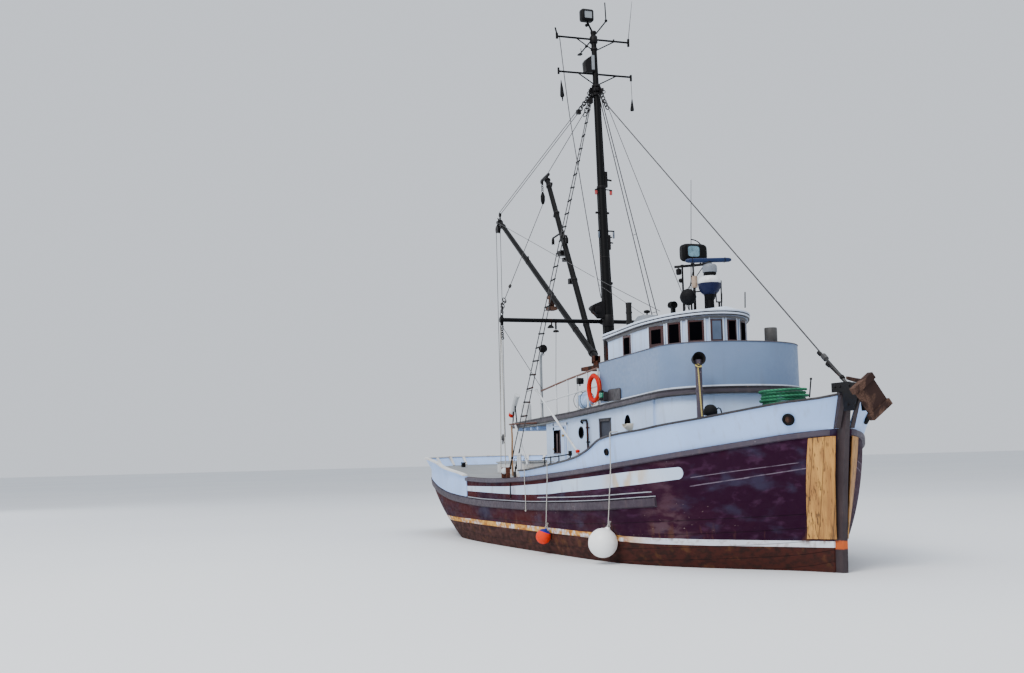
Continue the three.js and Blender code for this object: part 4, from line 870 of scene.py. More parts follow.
def settle(name: str, mesh: bpy.types.Mesh, finish: str, body: str, replaces: tuple[str, ...], bevel: float,
           smooth: float, levels: int = 1) -> bpy.types.Object:
    """Turns a finished mesh into a piece: material, shading, rounded edges, body and replaced nodes."""
    mesh.materials.clear()
    mesh.materials.append(KIT.get(finish))
    mesh.shade_smooth()
    mesh.set_sharp_from_angle(angle=math.radians(smooth))
    thing = bpy.data.objects.new(name, mesh)
    bpy.context.scene.collection.objects.link(thing)
    if bevel:
        rounding = thing.modifiers.new("rounded", "BEVEL")
        rounding.width = bevel
        rounding.segments = levels
        rounding.limit_method = "ANGLE"
        rounding.angle_limit = BEVEL_ANGLE
        rounding.harden_normals = False
    if body:
        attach(thing, body)
    if replaces:
        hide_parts(*replaces)
    LOG.info("%s: %d points, rides on %s", name, len(mesh.vertices), body or "two bodies")
    return thing


def node_body(node: str) -> str:
    """Returns the body that a node belongs to."""
    return frame["nodes"][node]["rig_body"]


def softened(node: str, finish: str, bevel: float = 0.0, smooth: float = 32.0,
             levels: int = 1) -> bpy.types.Object:
    """Replaces a node by a merged copy of it that shades smooth across its small facets."""
    mesh = frame["nodes"][node].data.copy()
    tidy = bmesh.new()
    tidy.from_mesh(mesh)
    bmesh.ops.remove_doubles(tidy, verts=tidy.verts, dist=MERGE)
    bmesh.ops.dissolve_limit(tidy, angle_limit=math.radians(0.6), verts=tidy.verts, edges=tidy.edges)
    tidy.to_mesh(mesh)
    tidy.free()
    return settle(f"{node}_dressed", mesh, finish, node_body(node), (node,), bevel, smooth, levels)


# The photograph's camera, the floor and the light


@dataclass
class Studio:
    """Camera at the photograph's place, pale floor at the waterline and soft light from above."""

    image: tuple[int, int] = (1024, 673)
    focal_pixels: float = 1225.15
    eye: Point = (25.3831, -12.25905, 1.98921)
    yaw: float = 158.95634
    pitch: float = 5.69562
    roll: float = -1.44145
    sensor: float = 36.0
    floor_half: float = 400.0

    def directions(self) -> np.ndarray:
        """Returns right, up and back: forward has the yaw and pitch, right is level, and both turn by the
        roll."""
        yaw, pitch, roll = (math.radians(v) for v in (self.yaw, self.pitch, self.roll))
        forward = np.array([math.cos(pitch) * math.cos(yaw), math.cos(pitch) * math.sin(yaw),
                            math.sin(pitch)])
        level = np.array([math.sin(yaw), -math.cos(yaw), 0.0])
        top = np.cross(level, forward)
        right = math.cos(roll) * level + math.sin(roll) * top
        return np.stack([right, -math.sin(roll) * level + math.cos(roll) * top, -forward])

    def camera(self) -> None:
        """Makes the camera; the lens is the sensor width times the focal length over the image width."""
        data = bpy.data.cameras.new("camera")
        data.sensor_width = self.sensor
        data.lens = self.focal_pixels * self.sensor / self.image[0]
        data.clip_end = 1000.0
        camera = bpy.data.objects.new("camera", data)
        bpy.context.scene.collection.objects.link(camera)
        matrix = np.eye(4)
        matrix[:3, :3] = self.directions().T
        matrix[:3, 3] = self.eye
        camera.matrix_world = Matrix(matrix.tolist())
        bpy.context.scene.camera = camera

    def lamp(self, name: str, place: Point, target: Point, size: float, watts: float, colour: Colour) -> None:
        """Makes one square soft light that faces a target."""
        data = bpy.data.lights.new(name, "AREA")
        data.size, data.energy, data.color = size, watts, colour
        light = bpy.data.objects.new(name, data)
        bpy.context.scene.collection.objects.link(light)
        back = np.subtract(place, target) / np.linalg.norm(np.subtract(place, target))
        side = np.cross((0, 0, 1), back)
        side /= np.linalg.norm(side)
        matrix = np.eye(4)
        matrix[:3, :3] = np.stack([side, np.cross(back, side), back], 1)
        matrix[:3, 3] = place
        light.matrix_world = Matrix(matrix.tolist())

    def build(self) -> None:
        """Makes camera, floor, world and lights."""
        self.camera()
        h = self.floor_half
        mesh = bpy.data.meshes.new("floor")
        mesh.from_pydata([(-h, -h, 0), (h, -h, 0), (h, h, 0), (-h, h, 0)], [], [(0, 1, 2, 3)])
        g = Graph("floor")
        mesh.materials.append(g.finish(g.mix(g.span(g.noise(0.05, 3), 0.3, 0.7), (0.74, 0.76, 0.79),
                                             (0.78, 0.8, 0.82)), 0.9, []))
        floor = bpy.data.objects.new("floor", mesh)
        bpy.context.scene.collection.objects.link(floor)
        world = bpy.data.worlds.new("studio")
        bpy.context.scene.world = world
        world.use_nodes = True
        sky = world.node_tree.nodes["Background"]
        sky.inputs[0].default_value = (0.84, 0.89, 0.97, 1)
        sky.inputs[1].default_value = 1.0
        self.lamp("key", (26, -30, 38), (0, 0, 2), 20, 20000, (1.0, 0.98, 0.95))
        self.lamp("top", (2, 4, 44), (0, 0, 0), 30, 7000, (0.95, 0.98, 1.0))
        self.lamp("fill", (-34, -22, 14), (-4, 0, 3), 22, 2200, (0.93, 0.96, 1.0))


# Hull


@dataclass
class HullLines:
    """The hull's curves in millimetres along its length, the same that its solid follows, and the points
    they give."""

    deck_z: Table = (
        (-9000, 1850), (-8400, 1790), (-7200, 1690), (-5000, 1600), (-3600, 1570), (-2000, 1545), (240, 1590),
        (2000, 1680), (3300, 1760), (4800, 1880), (6200, 2030), (7300, 2170), (8050, 2280), (8600, 2345))
    deck_b: Table = (
        (-9000, 160), (-8970, 500), (-8880, 950), (-8700, 1380), (-8400, 1720), (-7900, 1960), (-7200, 2120),
        (-6200, 2260), (-5000, 2355), (-3600, 2400), (-2000, 2430), (240, 2440), (3000, 2430), (4100, 2370),
        (4800, 2300), (5500, 2130), (6200, 1890), (6800, 1600), (7300, 1300), (7700, 1020), (8050, 750),
        (8300, 530), (8500, 315), (8600, 170))
    bottom: Table = (
        (-9000, 1330), (-8970, 1270), (-8880, 1170), (-8700, 1030), (-8400, 830), (-7900, 530), (-7200, 130),
        (-6200, -400), (-5000, -850), (-3600, -1130), (-2000, -1240), (240, -1290), (4100, -1240),
        (6200, -1130), (7300, -1040), (8050, -930), (8600, -780))
    fullness: Table = (
        (-9000, 600), (-7200, 700), (-6200, 700), (-5000, 620), (-3000, 550), (0, 520), (3000, 550),
        (4500, 580), (5500, 700), (6600, 1000), (7200, 1200), (7800, 1400), (8600, 1550))
    strake_top: Table = ((-9000, 1710), (-8700, 1660), (-8400, 1610), (-7600, 1480), (-7000, 1390),
                         (-6200, 1270), (-5000, 1150), (-3600, 1080), (-2000, 1050), (240, 1055),
                         (2000, 1090), (4100, 1160), (5500, 1240), (8600, 1400))
    rail_b: Table = (
        (-9150, 160), (-9120, 560), (-9030, 1010), (-8850, 1450), (-8560, 1810), (-8150, 2060), (-7300, 2230),
        (-6200, 2360), (-5000, 2430), (-3600, 2450), (-2000, 2470), (240, 2480), (3000, 2460), (4500, 2390),
        (5500, 2210), (6500, 1910), (7200, 1570), (7800, 1180), (8300, 760), (8600, 400), (8700, 190))
    rail_z: Table = ((-3600, 1740), (240, 1750), (1350, 1820), (2380, 1910), (3160, 2000), (3600, 2100),
                     (3820, 2170), (4240, 2330), (4940, 2420), (5550, 2470), (6050, 2530), (6910, 2620),
                     (7580, 2720), (8130, 2810), (8570, 2870), (8700, 2920))
    band_low: Table = ((-3600, 1225), (-280, 1200), (1700, 1240), (2330, 1280), (4120, 1380), (5380, 1470),
                       (6300, 1560), (8600, 1790))
    band_top: Table = ((-3600, 1345), (-1150, 1365), (1280, 1450), (2350, 1520), (4120, 1630), (5400, 1720),
                       (6250, 1770), (8600, 1960))
    quarter_starboard: Table = ((-9150, 2120), (-7500, 2060), (-6180, 1955), (-5450, 1835), (-4800, 1760),
                                (-4060, 1690), (-3600, 1630))
    quarter_port: Table = ((-9150, 2120), (-7500, 2080), (-6180, 2000), (-4800, 1890), (-3600, 1740))
    guard_high: float = 0.11
    strake_high: float = 0.19
    keel_half: float = 0.1
    stem_x: float = 8.6

    def breadth(self, x: np.ndarray, z: np.ndarray) -> np.ndarray:
        """Half-breadth at a station and height: keel half plus the rest times (1 - (1 - t)^turn)^fullness,
        t running from 0 at the rabbet to 1 at the deck edge."""
        low, high, edge = smooth_value(self.bottom,
                                       x), smooth_value(self.deck_z, x), smooth_value(self.deck_b, x)
        t = np.clip((z - low) / (high - low), 0, 1)
        turn = np.where(x > 4.5, 4 - 2.6 * (np.clip(x - 4.5, 0, None) / 4.1) ** 0.8,
                        4 - np.clip(-x - 5, 0, None) / 3.7)
        keel = np.minimum(self.keel_half, edge * 0.6)
        return keel + (edge - keel) * (1 - (1 - t) ** turn) ** smooth_value(self.fullness, x)

    def raked(self, x: np.ndarray, z: np.ndarray) -> np.ndarray:
        """Station moved aft below the stem head: by 0.34 (1 - (z/3)^1.6) at the stem, fading with the
        square of the way."""
        share = np.clip((x - 6.2) / (self.stem_x - 6.2), 0, 1) ** 2
        up = np.clip(z, 0, 3.0) / 3.0
        return x + share * np.where(z >= 0, -0.34 * (1 - up ** 1.6), -0.34 + 0.1 * z)

    def rows(self, x: np.ndarray) -> tuple[np.ndarray, np.ndarray, np.ndarray, np.ndarray, np.ndarray]:
        """Returns bottom, strake low, strake top, guard low and deck heights at stations."""
        low, high = smooth_value(self.bottom, x), smooth_value(self.deck_z, x)
        guard = high - self.guard_high
        top = np.minimum(smooth_value(self.strake_top, x), guard - 0.02)
        span = top - self.strake_high - low
        return low, np.where(span > 0.04, top - self.strake_high, low + 0.75 * (top - low)), top, guard, high

    def side(self, x: np.ndarray, z: np.ndarray, side: float, out: float = 0.0) -> np.ndarray:
        """Returns points on the planking at stations and heights, moved outwards by a distance."""
        aft = np.clip((-7.2 - x) / 1.3, 0, 1) * out
        return np.stack(np.broadcast_arrays(self.raked(x, z) - aft, side * (self.breadth(x, z) + out), z), -1)

    def rail(self, x: np.ndarray, side: float) -> np.ndarray:
        """Returns the outer top edge of the bulwark at stations, which leans out past the deck at both
        ends."""
        over = np.where(x < -8, -8 - (-8 - x) * 1.15, np.where(x > 8.05, 8.05 + (x - 8.05) * 0.6 / 0.52, x))
        quarter = self.quarter_starboard if side < 0 else self.quarter_port
        z = np.where(x < -3.6, smooth_value(quarter, over), smooth_value(self.rail_z, over))
        return np.stack([over, side * smooth_value(self.rail_b, over), z], -1)


LINES = HullLines()


@dataclass
class Hull:
    """Planked hull with deck, guards, rub strake, bulwarks with their caps and stanchions, sheathing and
    hawse holes."""

    stations: int = 190
    lower: int = 26
    guard_depth: float = 0.062
    strake_depth: float = 0.045
    plank: float = 0.055
    waist_x: float = 0.15
    quarter_x: float = -3.6
    bow_x: float = 8.68

    def planking(self) -> None:
        """Lofts the hull: at each station the rows' heights give points on both sides, joined over keel and
        deck."""
        turn = np.linspace(0, math.pi, self.stations)
        x = -0.2 - 8.8 * np.cos(turn)
        x[0], x[-1] = -9.0, 8.6
        low, under, top, guard, high = LINES.rows(x)
        parts, labels = [], []
        inside = guard - 0.012
        band_low = np.clip(smooth_value(LINES.band_low, x), top + 0.25 * (inside - top) * (x < -3.6),
                           inside - 0.012)
        band_top = np.clip(smooth_value(LINES.band_top, x), band_low + 0.006, inside)
        spans = ((low, under, self.lower, 0, 1), (under, top, 4, 1, 1), (top, band_low, 4, 2, 0.25),
                 (band_low, band_top, 5, 2.25, 0.5), (band_top, guard, 3, 2.75, 0.25), (guard, high, 3, 3, 1))
        for a, b, n, label, wide in spans:
            t = np.linspace(0, 1, n, endpoint=label == 3)
            power = 1.5 if label == 0 else 1.0
            parts.append(a[:, None] + (b - a)[:, None] * t[None] ** power)
            labels.append(label + wide * t)
        z = np.concatenate(parts, 1)
        row = np.concatenate(labels)
        xs = np.broadcast_to(x[:, None], z.shape)
        shape = Shape()
        for side in (-1.0, 1.0):
            points = LINES.side(xs, z, side)
            uv = np.stack(np.broadcast_arrays(xs, row[None]), -1)
            shape.add(points.reshape(-1, 3), grid_faces(*z.shape), uv)
        starboard, port = LINES.side(x, low, -1.0), LINES.side(x, low, 1.0)
        shape.add(np.stack([starboard, port], 1).reshape(-1, 3), grid_faces(len(x), 2),
                  np.zeros((2 * len(x), 2)))
        for k in (0, -1):
            ends = np.concatenate([LINES.side(xs[k], z[k], -1.0), LINES.side(xs[k], z[k], 1.0)[::-1]])
            uv = np.stack([np.full(len(ends), x[k]), np.concatenate([row, row[::-1]])], -1)
            shape.add(ends, [list(range(len(ends)))], uv)
        deck = np.stack([LINES.side(x, high, -1.0), LINES.side(x, high, 1.0)], 1)
        share = np.linspace(0, 1, 9)[None, :, None]
        sheet = deck[:, :1] * (1 - share) + deck[:, 1:] * share
        shape.add(sheet.reshape(-1, 3), grid_faces(len(x), 9), np.full((len(x) * 9, 2), -20.0))
        piece("hull_planking", shape, "paint_planking", replaces=("hull",), smooth=40)
        up = np.array([0, 0, 0.004])
        edge = sheet * (1, 0.985, 1) + up
        slab = np.concatenate([edge, (edge - up * 0.9)[:, ::-1]], 1)
        piece("deck_planks", solid(slab[2:-2]), "paint_deck")

    def timber(self, name: str, sides: tuple[float, ...], x0: float, x1: float, low: int, high: int,
               depth: float, finish: str, replaces: tuple[str, ...]) -> None:
        """Carries a rounded bar along the planking between two of its rows.

        Args:
            name: the piece's name.
            sides: sides of the boat it runs on.
            x0: aft end.
            x1: forward end.
            low: index of the lower row.
            high: index of the upper row.
            depth: how far it stands out.
            finish: its finish.
            replaces: nodes that it stands for.
        """
        shape = Shape()
        for side in sides:
            x = np.linspace(x0, x1, 150)
            if x0 < -8:
                x = x0 + (x1 - x0) * np.linspace(0, 1, 190) ** 1.8
            rows = LINES.rows(x)
            arc = np.linspace(0, 1, 9)
            out = depth * np.clip(np.sin(arc * np.pi) * 2.6, 0, 1) - 0.004
            z = rows[low][:, None] + 0.004 + (rows[high] - rows[low] - 0.01)[:, None] * arc[None]
            xs = np.broadcast_to(x[:, None], z.shape)
            base = LINES.side(xs, z, side)
            outer = base + (LINES.side(xs, z, side, 1.0) - base) * out[None, :, None]
            shape.add(*surface(outer, wrap=True, caps=True))
        piece(name, shape, finish, replaces=replaces, smooth=50)

    def ledges(self) -> None:
        """Lays two thin worn ledges along the planking: one on the strake's top edge and one a hand above
        it."""
        upper, edge = Shape(), Shape()
        arc = np.linspace(0, np.pi, 7)
        for side in (-1.0, 1.0):
            for shape, x0, x1, lift, high, depth in ((upper, 1.1, 5.66, 0.078, 0.022, 0.02),
                                                     (edge, -3.55, 5.74, -0.002, 0.02, 0.047)):
                x = np.linspace(x0, x1, 110)
                z = LINES.rows(x)[2][:, None] + lift + high * (1 - np.cos(arc))[None] / 2
                xs = np.broadcast_to(x[:, None], z.shape)
                taper = np.clip(np.minimum(x - x0, x1 - x) / 0.1, 0.15, 1)[:, None]
                base, away = LINES.side(xs, z, side), LINES.side(xs, z, side, 1.0)
                out = depth * np.clip(np.sin(arc) * 1.6, 0, 1)[None] * taper - 0.004
                shape.add(*surface(base + (away - base) * out[..., None], wrap=True, caps=True))
        piece("ledge_upper", upper, "paint_ledge", smooth=50)
        piece("strake_edge", edge, "paint_ledge", smooth=50)

    def bulwark(self, name: str, side: float, x0: float, x1: float, apron: float, node: str,
                cap_finish: str) -> None:
        """Builds one run of bulwark: skin from deck edge to rail, cap on it and stanchions inside.

        Args:
            name: start of the pieces' names.
            side: -1 starboard, 1 port, 0 round the stern.
            x0: aft end.
            x1: forward end.
            apron: how far the skin stands out over the planking below the deck edge.
            node: the node that the skin stands for.
            cap_finish: the cap's finish.
        """
        if side:
            x = np.linspace(x0, x1, 130)
            signs = np.full(len(x), side)
        else:
            run = -3.6006 - 5.36 * np.sin(np.linspace(0, np.pi / 2, 90))
            x = np.concatenate([run, run[::-1]])
            signs = np.concatenate([np.full(90, -1.0), np.full(90, 1.0)])
        deck = LINES.side(x, smooth_value(LINES.deck_z, x), 1.0)
        deck[:, 1] *= signs
        rail = np.where(signs[:, None] < 0, LINES.rail(x, -1.0), LINES.rail(x, 1.0))
        inward = self.inward(x, signs)
        deck, rail = deck + inward * 0.006 - inward * apron, rail + inward * 0.006 - inward * apron
        lift = np.linspace(0, 1, 7)[None, :, None]
        outer = (deck + UP * 0.001)[:, None] * (1 - lift) + (rail - UP * 0.04)[:, None] * lift
        inner = outer[:, ::-1] + inward[:, None] * (self.plank + apron * (1 - lift[:, ::-1]))
        if apron:
            drop = np.linspace(0, 1, 5)[None, :-1]
            low = smooth_value(LINES.strake_top, x) + 0.008
            z = low[:, None] + (deck[:, 2] - low)[:, None] * drop
            xs = np.broadcast_to(x[:, None], z.shape)
            skin = LINES.side(xs, z, 1.0, apron - 0.006)
            back = LINES.side(xs, z, 1.0, -0.01)
            skin[..., 1] *= signs[:, None]
            back[..., 1] *= signs[:, None]
            ring = np.concatenate([skin, outer, inner, back[:, ::-1]], 1)
        else:
            ring = np.concatenate([outer, inner], 1)
        piece(f"{name}_skin", solid(ring), "paint_white", replaces=(node,), smooth=35)
        profile = np.array([[-0.034, 0.0], [-0.034, 0.03], [-0.024, 0.038], [0.079, 0.038], [0.087, 0.03],
                            [0.087, 0.0]])
        cap = (rail - UP * 0.0395)[:, None] + inward[:,
                                                     None] * profile[None, :, :1] + UP * profile[None, :, 1:]
        piece(f"{name}_cap", solid(cap), cap_finish, smooth=40)
        stanchions = Shape()
        tangent = np.gradient(deck[:, :2], axis=0)
        tangent /= np.linalg.norm(tangent, axis=1, keepdims=True)
        square = np.stack([-tangent[:, 1], tangent[:, 0], 0 * x], -1)
        square *= np.sign((square * inward).sum(1, keepdims=True))
        for k in range(6, len(x) - 6, 9):
            within = square[k] * (self.plank + 0.035)
            foot, head = deck[k] + within, rail[k] + within - UP * 0.045
            if head[2] - foot[2] > 0.12:
                along = np.array([*tangent[k], 0.0])
                middle, tall = (foot + head) / 2, float(np.linalg.norm(head - foot))
                stanchions.turned_block(middle, (0.075, 0.06, tall), along, (head - foot) / tall)
        piece(f"{name}_stanchions", stanchions, "paint_inside", bevel=0.006)

    def inward(self, x: np.ndarray, signs: np.ndarray) -> np.ndarray:
        """Returns the level direction into the boat: across it amidships, forward and across round the
        stern."""
        aft = np.clip((-7.2 - x) / 1.4, 0, 1)
        direction = np.stack([aft, -signs * np.sqrt(1 - 0.75 * aft ** 2), np.zeros(len(x))], -1)
        return direction / np.linalg.norm(direction, axis=1, keepdims=True)

    def sheathing(self) -> None:
        """Lays bare boards over the planking of the bow, from the boot stripe up to the guard."""
        for side, name in SIDES:
            share = np.linspace(0, 1, 12)[:, None]
            up = np.linspace(0, 1, 16)[None]
            xs = (8.15 + 0.2 * up ** 0.7) * (1 - share) + 8.585 * share
            z = 0.545 + (LINES.rows(xs)[3] - 0.552) * up
            outer, inner = LINES.side(xs, z, side, 0.02), LINES.side(xs, z, side, 0.001)
            lap = np.array([[[0.078, -side * 0.03, 0.0]]])
            outer = np.concatenate([outer, outer[-1:] + lap])
            inner = np.concatenate([inner, inner[-1:] + lap])
            ring = np.concatenate([outer, inner[:, ::-1]], 1)
            piece(f"sheathing_{name}", solid(ring), "wood_sheathing", smooth=30)

    def knightheads(self) -> None:
        """Sets the dark end strips of the bulwarks beside the stem: a thin plate over their outer face,
        from deck to cap."""
        shape = Shape()
        for side in (-1.0, 1.0):
            x = np.linspace(8.612, 8.68, 5)
            deck, rail = LINES.side(x, smooth_value(LINES.deck_z, x), side), LINES.rail(x, side)
            inward = self.inward(x, np.full(5, side))[:, None]
            lift = np.linspace(0, 1, 7)[None, :, None]
            face = (deck + UP * 0.002)[:, None] * (1 - lift) + (rail - UP * 0.041)[:, None] * lift
            plate = np.concatenate([face - inward * 0.008, (face + inward * 0.014)[:, ::-1]], 1)
            shape.add(*surface(plate, wrap=True, caps=True))
            end = face[-1] + np.array([0.003, 0, 0])
            lip = np.stack([end - inward[-1] * 0.008, end + inward[-1] * 0.072])
            fold = np.concatenate([lip, lip[::-1] + np.array([0.014, 0, 0])]).transpose(1, 0, 2)
            shape.add(*surface(fold, wrap=True, caps=True))
        piece("knightheads", shape, "paint_stem", smooth=30)

    def hawse(self) -> None:
        """Sets a turned iron ring, dark inside, round each hole in the bulwarks."""
        for side, name in SIDES:
            rims, holes = Shape(), Shape()
            for x, z, r in ((8.148, 2.525, 0.105), (4.46, 2.07, 0.07)):
                share = (z - smooth_value(LINES.deck_z, x)) / (LINES.rail(np.array([x]), side)[0, 2]
                                                               - smooth_value(LINES.deck_z, x))
                foot, head = LINES.side(np.array(x), smooth_value(LINES.deck_z, x),
                                        side), LINES.rail(np.array([x]), side)[0]
                centre = foot + (head - foot) * float(share)
                ahead = LINES.rail(np.array([x + 0.05]), side)[0] - head
                normal = np.cross(ahead, head - foot) * side * -1
                normal /= np.linalg.norm(normal)
                if normal[1] * side < 0:
                    normal = -normal
                start = centre + normal * (0.012 if x > 5 else -0.012)
                rims.turned([(0, r * 0.98), (0.02, r), (0.04, r * 0.93), (0.046, r * 0.8), (0.038, r * 0.62),
                             (0.0, r * 0.5)], start, normal, 28)
                holes.turned([(0.0, r * 0.56), (0.012, r * 0.56)], start, normal, 28)
            piece(f"hawse_rims_{name}", rims, "rubber_black", smooth=50)
            piece(f"hawse_holes_{name}", holes, "iron_anchor")

    def build(self) -> None:
        """Makes every part of the hull."""
        self.planking()
        self.timber("guard_timber_starboard", (-1.0,), self.quarter_x + 0.001, 8.57, 3, 4, self.guard_depth,
                    "paint_guard", ("guard_starboard",))
        self.timber("guard_timber_port", (1.0,), self.quarter_x + 0.001, 8.57, 3, 4, self.guard_depth,
                    "paint_guard", ("guard_port",))
        self.timber("rub_strake_timber", (-1.0, 1.0), -8.97, 5.75, 1, 2, self.strake_depth, "paint_strake",
                    ("rub_strake",))
        self.ledges()
        self.bulwark("bulwark_starboard", -1.0, self.waist_x, self.bow_x, 0.0, "bulwark_starboard",
                     "paint_cap")
        self.bulwark("bulwark_port", 1.0, self.quarter_x, self.bow_x, 0.0, "bulwark_port", "paint_cap")
        self.bulwark("bulwark_stern", 0.0, 0, 0, 0.026, "bulwark_stern", "paint_inside")
        self.sheathing()
        self.knightheads()
        self.hawse()
        softened("stem", "paint_stem", 0.006)
        softened("keel", "paint_bottom", 0.006)


# Houses


@dataclass(frozen=True)
class Plan:
    """Outline of a house seen from above: straight sides and a nose that is half a super-ellipse."""

    half: float
    aft: float
    straight: float
    nose: float
    power: float

    def curve(self, steps: int = 30, inset: float = 0.0) -> np.ndarray:
        """Returns points from the aft starboard corner round the nose to the port one.

        The nose is straight + reach cos(a)^(2/power) forward and half sin(a)^(2/power) across.
        """
        a = np.linspace(-np.pi / 2, np.pi / 2, 2 * steps + 1)
        x = self.straight + (self.nose - inset - self.straight) * np.abs(np.cos(a)) ** (2 / self.power)
        y = (self.half - inset) * np.sign(np.sin(a)) * np.abs(np.sin(a)) ** (2 / self.power)
        run = np.array([self.aft, self.aft + 0.03, self.aft + 0.5 * (self.straight - self.aft),
                        self.straight - 0.05])
        starboard = np.stack([run, np.full(4, -(self.half - inset))], -1)
        port = np.stack([run[::-1], np.full(4, self.half - inset)], -1)
        return np.concatenate([starboard, np.stack([x, y], -1), port])

    def width(self, x: np.ndarray, inset: float = 0.0) -> np.ndarray:
        """Half-width at stations: half (1 - share^power)^(1/power), share being the way into the nose."""
        share = np.clip((x - self.straight) / (self.nose - inset - self.straight), 0, 1)
        return (self.half - inset) * (1 - share ** self.power) ** (1 / self.power)


BOAT_DECK = Plan(1.56, -2.57, 4.76, 5.92, 2.3)
HOUSE = Plan(1.46, -0.64, 4.76, 5.79, 2.3)
DODGER = Plan(1.5, 2.4, 4.9, 5.85, 2.15)
PILOTHOUSE = Plan(1.08, 1.98, 3.15, 4.93, 2.1)
ROOF = Plan(1.16, 1.88, 3.15, 5.04, 2.1)
DECK_TOP: Table = ((-2570, 2850), (-800, 2880), (5920, 3220))
DODGER_TOP: Table = ((2400, 3920), (5850, 4060))
ROOF_TOP: Table = ((1880, 4560), (5040, 4760))


def roof_at(x: float) -> float:
    """Returns the height of the pilothouse roof's cambered middle at a station."""
    return float(straight_value(ROOF_TOP, x)) + 0.03


def run_level(curve: np.ndarray, top: Table, lift: float = 0.0) -> np.ndarray:
    """Points of a plan curve with heights from a table."""
    return np.column_stack([curve, straight_value(top, curve[:, 0]) + lift])


def floor_plate(plan: Plan, top: Table, low: float, high: float, inset: float, camber: float = 0.0) -> Part:
    """Plate inside a plan: rows across it at stations, its top raised by camber (1 - v^2) across.

    Args:
        plan: its outline.
        top: heights along its length.
        low: underside relative to these.
        high: upper side relative to these.
        inset: how far it stays inside the outline.
        camber: rise at the middle.

    Returns:
        Points, faces and texture coordinates.
    """
    a = np.linspace(0, np.pi / 2, 26)
    nose = plan.nose - inset - 0.001
    x = np.concatenate([np.linspace(plan.aft + inset, plan.straight, 14)[:-1],
                        plan.straight + (nose - plan.straight) * np.sin(a)])
    v = np.linspace(-1, 1, 15)
    y = plan.width(x, inset)[:, None] * v[None]
    z = straight_value(top, x)[:, None]
    xs = np.broadcast_to(x[:, None], y.shape)
    upper = np.stack(np.broadcast_arrays(xs, y, z + high + camber * (1 - v[None] ** 2)), -1)
    lower = np.stack(np.broadcast_arrays(xs, y, z + low), -1)
    return surface(np.concatenate([upper, lower[:, ::-1]], 1), wrap=True, caps=True)


def wall(curve: np.ndarray, thick: float, low: np.ndarray, high: np.ndarray) -> Part:
    """Wall along a plan curve: outer and inner face with a rounded top, the inner one moved in square to
    the curve."""
    tangent = np.gradient(curve, axis=0)
    tangent /= np.linalg.norm(tangent, axis=1, keepdims=True)
    within = curve + np.stack([-tangent[:, 1], tangent[:, 0]], -1) * thick
    middle = (curve + within) / 2
    rows = ((curve, low), (curve, high - 0.012), (0.75 * curve + 0.25 * middle, high),
            (0.75 * within + 0.25 * middle, high), (within, high - 0.012), (within, low))
    return surface(np.stack([np.column_stack(row) for row in rows], 1), wrap=True, caps=True)


